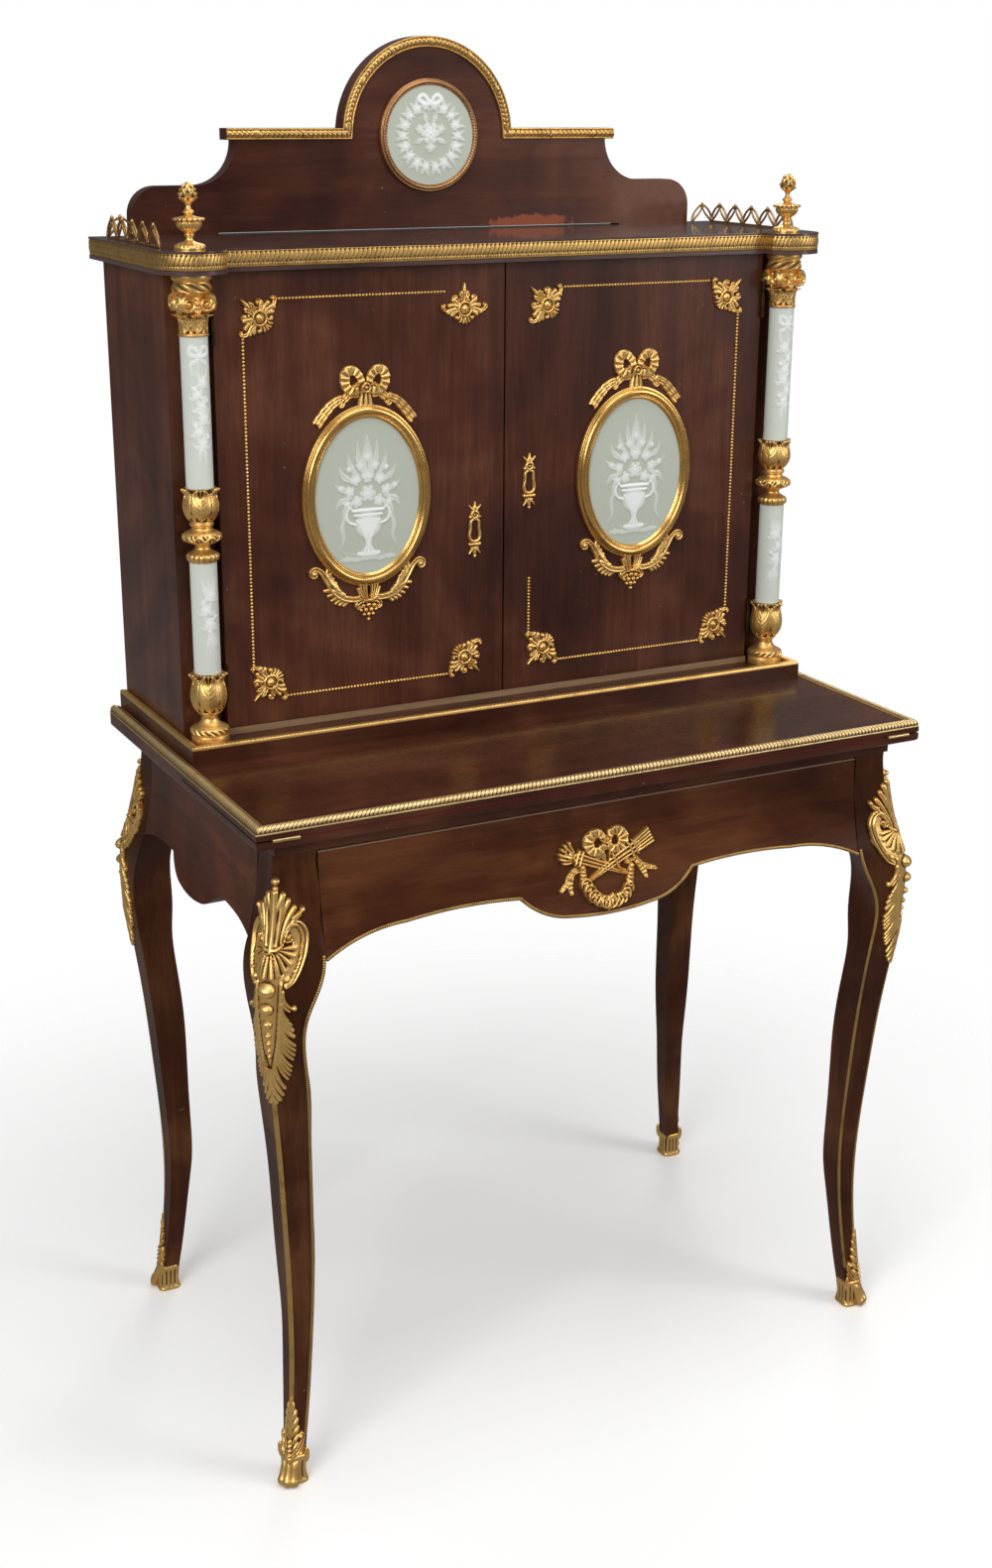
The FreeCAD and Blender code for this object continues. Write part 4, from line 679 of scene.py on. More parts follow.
class Relief:
    """A chased ornament as a height field over a flat patch: strokes and bosses, joined by the larger."""

    FLOOR = -1.4
    MARGIN = 1.5

    def __init__(self, low: Spot, high: Spot, pitch: float, mirror: bool = False) -> None:
        """Lay out the grid between two corners in millimetres; a mirrored one starts at its middle line.

        Args:
            low: lower left corner.
            high: upper right corner.
            pitch: distance between grid points.
            mirror: whether the left half mirrors the right.
        """
        self.across = np.arange(0.0 if mirror else low[0], high[0] + pitch / 2, pitch)
        self.up = np.arange(low[1], high[1] + pitch / 2, pitch)
        self.u, self.v = np.meshgrid(self.across, self.up)
        self.pitch = pitch
        self.mirror = mirror
        self.height = np.full(self.u.shape, self.FLOOR)

    def window(self, path: Array, reach: float) -> tuple[slice, slice]:
        """Return the rows and columns of the grid within reach of a path.

        Args:
            path: points of the line.
            reach: distance to keep round it.

        Returns:
            Rows and columns.
        """
        low, high = path.min(axis=0) - reach, path.max(axis=0) + reach
        columns = np.searchsorted(self.across, (low[0], high[0]))
        rows = np.searchsorted(self.up, (low[1], high[1]))
        return slice(*rows.tolist()), slice(*columns.tolist())

    def near(self, path: Array, reach: float) -> tuple[tuple[slice, slice], Array, Array]:
        """Return the window round a path, and there the share along it and the signed distance to it."""
        where = self.window(path, reach)
        return where, *along(path, self.u[where], self.v[where])

    def raise_to(self, where: tuple[slice, slice], height: Array, x: Array, size: Array | float) -> None:
        """Keep the larger of the present height and a new one, which falls away steeply beyond its edge.

        Args:
            where: rows and columns.
            height: the new height.
            x: distance from the middle, 1 at the edge.
            size: distance of the edge in millimetres.
        """
        new = np.where(x <= 1.0, height, -(x - 1.0) * size * FALL)
        self.height[where] = np.maximum(self.height[where], new)

    def stroke(self, path: Array, width: Triple, rise: Spot, section: Section = ROUND,
               ribs: float = 0.0) -> None:
        """Raise a stroke along a path.

        Its half width runs from the first value over the middle to the last, its height from the first rise
        to the second; ribs adds that many cross ripples.

        Args:
            path: points of the middle line.
            width: half width at the start, the middle and the end.
            rise: height at the start and the end.
            section: cross-section of the stroke.
            ribs: number of ripples along it.
        """
        where, share, side = self.near(path, max(width) + self.MARGIN)
        half = np.interp(share, [0.0, 0.5, 1.0], width)
        x = np.clip(np.abs(side) / half, 0.0, 4.0)
        shape = dome(x**2)
        if section is BAND:
            shape = np.clip((1.0 - x) * 4.0, 0.0, 1.0) * 0.85 + 0.15 * shape
        elif section is GROOVED:
            shape = shape**0.7 * (1.0 - 0.55 * np.exp(-(x / 0.38)**2))
        elif section is FLUTED:
            shape = shape**0.5 * (0.78 + 0.22 * np.cos(3.0 * math.pi * side / half))
        height = (rise[0] + (rise[1] - rise[0]) * share) * shape
        if ribs:
            height = height * (0.82 + 0.18 * np.cos(TURN * ribs * share))
        self.raise_to(where, height, x, half)

    def strokes(self, *rows: tuple) -> None:
        """Raise strokes along smooth lines: the knots, the number of points, then what a stroke takes."""
        for knots, count, *shape in rows:
            self.stroke(bow_line(*knots, count=count), *shape)

    def ring(self, centre: Spot, radius: float, width: float, rise: float, count: int,
             half: bool = False) -> None:
        """Raise a round wire as a circle, or as its right half."""
        path = spiral(centre, radius, radius, -90.0 if half else 0.0, 0.5 if half else 1.0, count)
        self.stroke(path, (width, width, width), (rise, rise))

    def leaf(self, path: Array, width: float, rise: float, lobes: float) -> None:
        """Raise an acanthus leaf along its midrib.

        The half width swells and tapers as a sine of the share along the rib; forward slanting lobes notch
        the edge, each lobe is hollowed between ridges, and a rounded rib runs down the middle.

        Args:
            path: points of the midrib from base to tip.
            width: largest half width.
            rise: largest height.
            lobes: number of lobes on each side.
        """
        where, share, side = self.near(path, width + self.MARGIN)
        swell = width * np.sin(math.pi * np.clip(share * 0.90 + 0.08, 0, 1)**0.85)**0.8 + 0.35
        x = np.clip(np.abs(side) / swell, 0.0, 4.0)
        wave = np.abs(np.sin(math.pi * (lobes * share - 0.9 * x)))
        edge = 0.62 + 0.38 * wave**0.7
        inside = x / edge
        rib = np.exp(-(x / 0.14)**2)
        ridge = 0.42 + 0.48 * wave * np.clip(x * 1.8, 0.0, 1.0)
        height = rise * (dome(inside**2)**0.5 * ridge + 0.42 * rib)
        self.raise_to(where, height * (1.12 - 0.34 * share), inside, swell)

    def boss(self, centre: Spot, radius: float, rise: float, stretch: float = 1.0) -> None:
        """Raise a round or oval boss.

        Args:
            centre: the middle.
            radius: the radius.
            rise: the height.
            stretch: height of the oval over its width.
        """
        where = self.window(np.array([centre]), radius * max(1.0, stretch) + self.MARGIN)
        x = np.hypot(self.u[where] - centre[0], (self.v[where] - centre[1]) / stretch) / radius
        self.raise_to(where, rise * dome(x**2), x, radius)

    def rosette(self, centre: Spot, radius: float, rise: float, petals: int, turn: float = 0.0) -> None:
        """Raise a flower: two whorls of petals whose rims follow a cosine of the angle, and a round heart.

        Args:
            centre: the middle.
            radius: the radius.
            rise: the height.
            petals: petals of a whorl.
            turn: turn in radians.
        """
        where = self.window(np.array([centre]), radius + self.MARGIN)
        du, dv = self.u[where] - centre[0], self.v[where] - centre[1]
        reach, angle = np.hypot(du, dv), np.arctan2(dv, du) + turn
        height = np.full(reach.shape, 0.25 * rise)
        for size, lift, shift in ((1.0, 0.85, 0.0), (0.60, 1.15, math.pi / 2.0)):
            lobe = np.abs(np.cos(petals * angle / 2.0 + shift))
            x = reach / (radius * size * (0.70 + 0.30 * np.sqrt(lobe)))
            petal = rise * lift * np.clip(1.0 - x**2, 0.0, 1.0)**0.3 * (0.40 + 0.60 * lobe**0.6)
            petal = petal * (0.5 + 0.5 * np.clip(x, 0.0, 1.0))
            height = np.where(x <= 1.0, np.maximum(petal, height), height)
        heart = rise * 1.2 * dome((reach / (0.18 * radius))**2)
        outer = reach / (radius * (0.70 + 0.30 * np.sqrt(np.abs(np.cos(petals * angle / 2.0)))))
        self.raise_to(where, np.maximum(height, heart), outer, radius)

    def comb(self, inner: Array, outer: Array, count: int, rise: float, bend: float = 0.0,
             lead: float = 1.0) -> None:
        """Raise a frond: round fingers side by side, each from a point on one line to a point on another.

        A finger follows a parabola that leaves the straight line between its ends by the bend times its
        length, and is as wide as its share of either line, so its neighbours leave a flute between them.

        Args:
            inner: points of the line where the fingers start.
            outer: points of the line where the fingers end.
            count: number of fingers.
            rise: height of each finger in its middle.
            bend: bow of each finger, as a share of its length.
            lead: share of that height at the finger's tip.
        """
        share = (np.arange(count) + 0.5) / count
        start, end = (np.stack([np.interp(share, np.linspace(0.0, 1.0, len(line)), c) for c in line.T], -1)
                      for line in (inner, outer))
        gaps = [np.hypot(*np.diff(line, axis=0).T).sum() / count for line in (inner, outer)]
        t = np.linspace(0.0, 1.0, 14)[None, :, None]
        across = (end - start)[:, ::-1] * np.array([-1.0, 1.0])
        paths = start[:, None] * (1.0 - t) + end[:, None] * t + across[:, None] * (4.0 * bend * t * (1.0 - t))
        wide = (max(0.6, 0.44 * gaps[0]), max(0.9, 0.255 * sum(gaps)), max(0.5, 0.40 * gaps[1]))
        for path in paths:
            self.stroke(path, wide, (rise, rise * lead))

    def combs(self, *rows: tuple) -> None:
        """Raise fronds between smooth lines: knots and points of either line, then what a comb takes."""
        for inner, first, outer, second, *shape in rows:
            self.comb(bow_line(*inner, count=first), bow_line(*outer, count=second), *shape)

    def balls(self, base: float, share: float, *rows: Triple) -> None:
        """Raise balls given as across, up and radius; the height is a base and a share of the radius."""
        for x, y, radius in rows:
            self.boss((x, y), radius, base + share * radius)

    def press(self, path: Array, width: Triple, level: float) -> None:
        """Press a flat channel along a path into what is raised so far.

        Args:
            path: points of the line.
            width: half width at the start, the middle and the end.
            level: height of the channel's floor.
        """
        where, share, side = self.near(path, max(width) + self.MARGIN)
        inside = np.abs(side) < np.interp(share, [0.0, 0.5, 1.0], width)
        self.height[where] = np.where(inside, level, self.height[where])

    def pierce(self, centre: Spot, radius: float, stretch: float = 1.0) -> None:
        """Cut a round or oval hole through."""
        hole = np.hypot(self.u - centre[0], (self.v - centre[1]) / stretch) < radius
        self.height = np.where(hole, self.FLOOR, self.height)

    def unfolded(self) -> tuple[Array, Array, Array]:
        """Return the whole grid and its height, with a mirrored relief opened out to both sides.

        Returns:
            Across, up and height.
        """
        if not self.mirror:
            return self.u, self.v, self.height
        across = np.concatenate([-self.across[:0:-1], self.across])
        u, v = np.meshgrid(across, self.up)
        return u, v, np.hstack([self.height[:, :0:-1], self.height])

    def solid(self, place: Place, depth: float = 1.0) -> Solid:
        """Close the raised part into a solid on a base surface.

        Args:
            place: maps across, up and height to points.
            depth: how far the back lies below the base surface.

        Returns:
            The solid, with painted shade in its hollows and along its low foot as tint.
        """
        u, v, height = self.unfolded()
        near = height > -0.5
        keep = near[:-1, :-1] & near[1:, :-1] & near[:-1, 1:] & near[1:, 1:]
        top = place(u, v, np.maximum(height, -0.5 * depth))
        bottom = place(u, v, np.full(u.shape, -depth))
        # Painted shade: hollows and the low foot of the relief get a tint that darkens them in the gilt
        # finish.
        sunk = hollows(np.maximum(height, -0.2), max(2, round(2.4 / self.pitch)), 1.5)
        rim = np.clip((0.45 - height) / 0.9, 0.0, 0.8)
        return walled(top, bottom, keep, np.maximum(sunk, rim))


def facing(x: float, y: float, z: float, flip: float = 1.0, turn: float = 0.0) -> Place:
    """Return a base surface that faces the front at a depth, mirrored or turned in its plane by degrees.

    Args:
        x: middle across.
        y: depth of the plane.
        z: middle up.
        flip: -1 to mirror.
        turn: turn in degrees.

    Returns:
        The map from the patch to the plane.
    """
    cosine, sine = math.cos(math.radians(turn)), math.sin(math.radians(turn))

    def place(u: Array, v: Array, h: Array) -> Array:
        """Map a flat patch to the front plane."""
        return np.stack([x + flip * (u * cosine - v * sine), y - h, z + u * sine + v * cosine], -1)

    return place


def turned(profile: Array, centre: Triple, around: int, swell: Swell) -> Solid:
    """Turn a closed profile of radius and height about an upright axis.

    Each point lies at the profile's radius, plus a swell that depends on the angle and the height, so leaves
    and flutes stand out from the turned form. Points near the axis form the bore and don't swell.

    Args:
        profile: loop of (radius, height), in millimetres.
        centre: foot of the axis.
        around: points round the axis.
        swell: extra radius as a function of angle and height.

    Returns:
        The solid, closed through the bore.
    """
    angle = np.repeat(circle(around)[None], len(profile), axis=0)
    radius = np.repeat(profile[:, :1], around, axis=1)
    height = np.repeat(profile[:, 1:], around, axis=1)
    extra = np.where(radius > 1.0, swell(angle, height), 0.0)
    reach = radius + extra
    points = np.stack([centre[0] + reach * np.cos(angle), centre[1] + reach * np.sin(angle),
                       centre[2] + height], -1)
    # Painted shade: sunken parts of the swell and narrow necks of the profile get a tint that darkens them.
    sunk = hollows(np.hstack([extra] * 3), 5, 1.1)[:, around:2 * around]
    neck = np.clip((blurred(radius, 4) - radius) / 3.0, 0.0, 0.6)
    return Solid(points.reshape(-1, 3), [quads(len(profile), around, True, True)],
                 np.maximum(sunk, neck).ravel()).outward()


def wrapped(art: Relief, count: int, low: float) -> Swell:
    """Return a swell that repeats a mirrored relief round a turned form, from a height up.

    Args:
        art: the mirrored relief of one sector.
        count: number of sectors.
        low: height where it starts.

    Returns:
        Extra radius as a function of angle and height.
    """
    def swell(angle: Array, height: Array) -> Array:
        """Look the relief up at the share of its sector and the height.

        Args:
            angle: angle round the axis.
            height: height over the foot.

        Returns:
            Extra radius.
        """
        phase = np.abs(angle / TURN * count % 1.0 * 2.0 - 1.0)
        column = np.round(phase * (len(art.across) - 1)).astype(int)
        row = np.round((height - low) / art.pitch).astype(int)
        inside = (row >= 0) & (row < len(art.up))
        found = art.height[np.clip(row, 0, len(art.up) - 1), column]
        return np.where(inside, np.clip(found, -0.9, None), -0.4)

    return swell


def bored(outer: Array, bore: float = 0.4) -> Array:
    """Close an outer profile through a narrow bore."""
    return np.vstack([outer, [(bore, outer[-1, 1])], [(bore, outer[0, 1])]])


def mitred(corners: Array, offset: Array) -> Array:
    """Return a path's corners moved sideways by each offset, to the left of its run, with mitred corners.

    Args:
        corners: the path.
        offset: the offsets.

    Returns:
        A moved path for each offset.
    """
    run = np.diff(corners, axis=0)
    run = run / np.hypot(run[:, :1], run[:, 1:])
    normal = np.stack([-run[:, 1], run[:, 0]], -1)
    before = np.vstack([normal[:1], normal])
    after = np.vstack([normal, normal[-1:]])
    mitre = (before + after) / (1.0 + np.einsum("ij,ij->i", before, after))[:, None]
    return corners[None] + offset[:, None, None] * mitre[None]


def moulding(corners: Array, face: Array, back: list[Spot], relief: Swell, pitch: float,
             place: Callable[[Array], Array] = lambda points: points) -> Solid:
    """Carry a section along a mitred path and raise a repeating pattern on its face.

    A station at share s of a run and a section point (offset, height) lies on the line between the run's two
    mitred corners at that offset; the pattern moves it out along the section's own normal.

    Args:
        corners: path in its plane.
        face: seen side of the section as (offset, height), running against the clock with the back.
        back: hidden corners of the section.
        relief: height of the pattern over distance along the path and share across the face.
        pitch: distance between stations.
        place: maps path plane and height to the desk.

    Returns:
        The closed solid.
    """
    section = np.vstack([face, np.reshape(back, (-1, 2))])
    lines = mitred(corners, section[:, 0])
    length = np.hypot(*np.diff(corners, axis=0).T)
    counts = np.maximum(1, np.round(length / pitch)).astype(int)
    cell = np.concatenate([np.repeat(np.arange(len(length)), counts), [len(length) - 1]])
    share = np.concatenate([np.arange(n) / n for n in counts] + [[1.0]])
    flat = lines[:, cell] * (1.0 - share)[None, :, None] + lines[:, cell + 1] * share[None, :, None]
    distance = (np.concatenate([[0.0], np.cumsum(length)])[cell] + share * length[cell])[None]
    loop = np.vstack([section[-1:], section, section[:1]])
    tangent = loop[2:] - loop[:-2]
    normal = np.stack([tangent[:, 1], -tangent[:, 0]], -1) / np.hypot(tangent[:, :1], tangent[:, 1:])
    raised = np.zeros((len(section), distance.shape[1]))
    raised[1:len(face) - 1] = relief(np.repeat(distance, len(face), 0), np.repeat(
        np.linspace(0.0, 1.0, len(face))[:, None], distance.shape[1], 1))[1:-1]
    side = mitred(corners, np.array([1.0]))[0] - corners
    lateral = side[cell] * (1.0 - share)[:, None] + side[cell + 1] * share[:, None]
    lateral = lateral / np.hypot(lateral[:, :1], lateral[:, 1:])
    flat = flat + (raised * normal[:, :1])[..., None] * lateral[None]
    height = section[:, 1:] + raised * normal[:, 1:]
    points = place(np.concatenate([flat, height[..., None]], -1)).reshape(-1, 3)
    ends = np.arange(len(section)) * distance.shape[1]
    faces = [quads(len(section), distance.shape[1], True, False),
             np.stack([ends, (ends + distance.shape[1] - 1)[::-1]])]
    # The tint is painted shade in the hollows of the raised pattern.
    return Solid(points, faces, hollows(raised, 3, 0.6).ravel()).outward()


def upright(y: float) -> Callable[[Array], Array]:
    """Return the place of a moulding on an upright front plane: path x and z, height to the front."""
    return lambda points: np.stack([points[..., 0], y - points[..., 2], points[..., 1]], -1)


def tube(path: Array, radius: Array, around: int, flat: float = 1.0, side: Triple = (1.0, 0.0, 0.0)) -> Solid:
    """Carry a round or flattened section along a path in space, with its ends closed.

    Each ring lies across the path's direction; its first axis is the given side made square to the direction.

    Args:
        path: points of the middle line.
        radius: radius at each point.
        around: points round the section.
        flat: width of the section along its first axis, in radii.
        side: direction of the first axis.

    Returns:
        The closed tube.
    """
    direction = np.gradient(path, axis=0)
    direction = direction / np.linalg.norm(direction, axis=1, keepdims=True)
    first = np.array(side)[None] - direction * (direction @ np.array(side))[:, None]
    first = first / np.linalg.norm(first, axis=1, keepdims=True)
    second = np.cross(direction, first)
    angle = circle(around)[None, :, None]
    ring = np.cos(angle) * first[:, None] * flat + np.sin(angle) * second[:, None]
    points = (path[:, None] + ring * radius[:, None, None]).reshape(-1, 3)
    last = (len(path) - 1) * around
    caps = np.stack([np.arange(around)[::-1], np.arange(last, last + around)])
    return Solid(points, [quads(len(path), around, False, True), caps], np.zeros(len(points))).outward()


def domes(centres: Array, radius: float, rise: float, around: int, rings: int) -> Solid:
    """Return beads on a front plane: half ellipsoids on flat backs, each of a few dozen faces.

    A bead's ring at angle k lies at radius cos k and height sin k, in shares of its own radius and rise.

    Args:
        centres: middles of the beads on the plane.
        radius: radius of a bead.
        rise: height of a bead.
        around: points round a ring.
        rings: rings above the foot.

    Returns:
        All beads as one mesh.
    """
    lift = np.linspace(-0.25, math.pi / 2 * 0.93, rings + 1)
    angle = circle(around)
    grid = np.stack([np.cos(lift)[:, None] * np.cos(angle), np.repeat(-np.sin(lift)[:, None], around, 1),
                     np.cos(lift)[:, None] * np.sin(angle)], -1).reshape(-1, 3)
    points = (centres[:, None] + grid[None] * (radius, rise, radius)).reshape(-1, 3)
    starts = np.arange(len(centres)) * len(grid)
    sides = (quads(rings + 1, around, False, True)[None] + starts[:, None, None]).reshape(-1, 4)
    caps = np.concatenate([np.arange(around)[None, ::-1] + starts[:, None],
                           np.arange(len(grid) - around, len(grid))[None] + starts[:, None]])
    # Painted shade: each bead's foot ring gets a strong tint that darkens it, its sides a faint one.
    shade = np.repeat(np.array([0.9] + [0.15] * (rings - 1) + [0.0]), around)
    return Solid(points, [sides, caps], np.tile(shade, len(centres))).outward()


def smooth(value: Array, low: float, high: float) -> Array:
    """Return a smooth step from 0 at low to 1 at high."""
    share = np.clip((value - low) / (high - low), 0.0, 1.0)
    return share * share * (3.0 - 2.0 * share)


def between(value: Array, low: float, rise: float, fall: float, high: float) -> Array:
    """Return 1 between rise and fall, with smooth steps down to 0 at low and at high."""
    return smooth(value, low, rise) * (1.0 - smooth(value, fall, high))


def spline(knots: Array, values: Array, at: Array) -> Array:
    """Return the natural cubic spline through values at knots, from the three-term equations of its bends.

    Args:
        knots: places of the values.
        values: the values.
        at: places to work out.

    Returns:
        The values there.
    """
    gap, count = np.diff(knots), len(knots)
    slope = np.diff(values) / gap
    system = np.eye(count)
    right = np.zeros(count)
    inner = np.arange(1, count - 1)
    system[inner, inner - 1] = gap[:-1]
    system[inner, inner] = 2.0 * (gap[:-1] + gap[1:])
    system[inner, inner + 1] = gap[1:]
    right[1:-1] = 6.0 * np.diff(slope)
    bend = np.linalg.solve(system, right)
    cell = np.clip(np.searchsorted(knots, at) - 1, 0, count - 2)
    t, h = at - knots[cell], gap[cell]
    linear = slope[cell] - h * (2.0 * bend[cell] + bend[cell + 1]) / 6.0
    cubic = (bend[cell + 1] - bend[cell]) / (6.0 * h)
    return values[cell] + t * (linear + t * (bend[cell] / 2.0 + t * cubic))


def arc_through(a: Spot, b: Spot, c: Spot, count: int) -> Array:
    """Return points of the circle arc from a over b to c.

    Args:
        a: first point.
        b: point between.
        c: last point.
        count: number of points.

    Returns:
        The points.
    """
    (ax, ay), (bx, by), (cx, cy) = a, b, c
    d = 2.0 * (ax * (by - cy) + bx * (cy - ay) + cx * (ay - by))
    sa, sb, sc = ax * ax + ay * ay, bx * bx + by * by, cx * cx + cy * cy
    x = (sa * (by - cy) + sb * (cy - ay) + sc * (ay - by)) / d
    y = (sa * (cx - bx) + sb * (ax - cx) + sc * (bx - ax)) / d
    first, middle, last = (math.atan2(py - y, px - x) for px, py in (a, b, c))
    turn = (last - first) % TURN
    if (middle - first) % TURN > turn:
        turn -= TURN
    angle = first + turn * np.linspace(0.0, 1.0, count)
    radius = math.hypot(ax - x, ay - y)
    return np.stack([x + radius * np.cos(angle), y + radius * np.sin(angle)], -1)


@dataclass
class Carcass:
    """The joiner's work: wood, linings, hinges and locks that keep their solids and get their finishes."""

    def dress(self) -> None:
        """Give each solid node its finish."""
        door = Mahogany("door_mahogany", Grain.UPRIGHT)
        leg = Mahogany("leg_mahogany", Grain.UPRIGHT, deep=(0.022, 0.0056, 0.0018),
                       body=(0.044, 0.0122, 0.0040), warm=(0.098, 0.036, 0.011), roughness=0.34, coat=0.02,
                       gloss=0.10)
        top = Mahogany("top_mahogany", Grain.ACROSS, deep=(0.026, 0.0066, 0.0034),
                       body=(0.052, 0.0150, 0.0074), warm=(0.092, 0.031, 0.015), roughness=0.22, coat=0.06,
                       gloss=0.16)
        crest = Mahogany("crest_mahogany", Grain.ACROSS, gloss=0.2, coat=0.05,
                         patch=(0.129, 1.2725, 0.058, 0.011))
        # Painted sheen: the cornice top's lighter, greyer colours stand in for the sheen it shows, on top of
        # its real clear coat.
        cornice_sheen = Mahogany("cornice_sheen_mahogany", Grain.ACROSS, deep=(0.036, 0.0150, 0.0120),
                         body=(0.078, 0.0420, 0.0360), warm=(0.100, 0.056, 0.047), roughness=0.20, coat=0.9,
                         gloss=0.4)
        # The drawer front's top edge gets a painted highlight, partly worn bare wood.
        front = Mahogany("drawer_mahogany", Grain.ACROSS, deep=(0.030, 0.0078, 0.0030),
                         body=(0.060, 0.0165, 0.0060), warm=(0.115, 0.038, 0.013), roughness=0.24, coat=0.10,
                         gloss=0.15, worn_edge_highlight=float(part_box("drawer_front")[1][2]))
        side = Mahogany("apron_mahogany", Grain.DEEP, deep=(0.036, 0.0100, 0.0045),
                        body=(0.068, 0.0205, 0.0088), warm=(0.135, 0.042, 0.016), coat=0.04, gloss=0.12)
        oak = Plain("inner_oak", (0.16, 0.085, 0.040), (0.30, 0.185, 0.095), 0.55, grain=Grain.ACROSS.value)
        lining = Plain("red_lining", (0.23, 0.010, 0.016), (0.36, 0.021, 0.028), 0.62, scale=900.0)
        brass = Plain("hinge_brass", (0.42, 0.29, 0.12), (0.66, 0.48, 0.22), 0.32, 1.0, scale=400.0)
        fixed = Plain("fixed_brass", (0.42, 0.29, 0.12), (0.66, 0.48, 0.22), 0.38, 0.9, scale=400.0,
                      dim_from=0.762)
        dark = Plain("dark_brass", (0.030, 0.017, 0.008), (0.075, 0.044, 0.018), 0.45, 0.8, scale=400.0)
        steel = Plain("lock_steel", (0.20, 0.19, 0.18), (0.36, 0.35, 0.33), 0.42, 1.0, scale=300.0)
        finishes: list[tuple[Mahogany | Plain, tuple[str, ...]]] = [
            (door, ("left_door_panel", "right_door_panel", "cabinet_sides", "corner_posts")),
            (leg, ("leg_front_left", "leg_front_right", "leg_back_left", "leg_back_right")),
            (top, ("table_top", "rear_top", "leaf_board", "cabinet_plinth")),
            (crest, ("crest_board",)),
            (cornice_sheen, ("cornice_board",)),
            (front, ("drawer_front",)),
            (side, ("frieze_aprons",)),
            (oak, ("drawer_runners", "drawer_sides", "drawer_bottom", "drawer_back", "cabinet_floor",
                   "cabinet_back", "cabinet_shelf")),
            (lining, ("bed_lining", "leaf_lining")),
            (brass, ("leaf_hinge_plates",)),
            (fixed, ("fixed_hinge_plates",)),
            (dark, ("left_door_hinges", "right_door_hinges")),
            (steel, ("drawer_lock", "right_door_lock", "column_rods")),
        ]
        for finish, nodes in finishes:
            material = finish.build()
            for node in nodes:
                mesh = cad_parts[node].data
                mesh.materials.clear()
                mesh.materials.append(material)


@dataclass
class Palette:
    """Finishes that the new pieces share."""

    gilt: bpy.types.Material
    aged: bpy.types.Material
    copper: bpy.types.Material
    bronze: bpy.types.Material
    frame: bpy.types.Material
    porcelain: bpy.types.Material
    sleeve: bpy.types.Material
    pale: bpy.types.Material

    @classmethod
    def mixed(cls) -> Palette:
        """Build the finishes.

        Returns:
            The palette.
        """
        finishes = (
            GiltBronze("gilt_bronze"),
            GiltBronze("aged_gilt", crest=(0.66, 0.410, 0.135), patina=(0.40, 0.23, 0.070)),
            GiltBronze("copper_gilt", crest=(0.50, 0.27, 0.12), patina=(0.33, 0.17, 0.075)),
            GiltBronze("dark_bronze", crest=(0.38, 0.22, 0.08), patina=(0.22, 0.12, 0.045), roughness=0.40),
            GiltBronze("frame_gilt", crest=(0.76, 0.45, 0.135), patina=(0.54, 0.30, 0.080), roughness=0.21),
            Porcelain("plaque_porcelain"),
            # Painted light: the sleeves' porcelain is a lighter copy of the plaques', for the light that
            # falls on the columns.
            Porcelain("lit_sleeve_porcelain", ground=(0.60, 0.635, 0.575), shade=(0.54, 0.58, 0.515)),
            GiltBronze("pale_gilt", crest=(0.80, 0.580, 0.275), patina=(0.55, 0.365, 0.150)))
        return cls(*(finish.build() for finish in finishes))


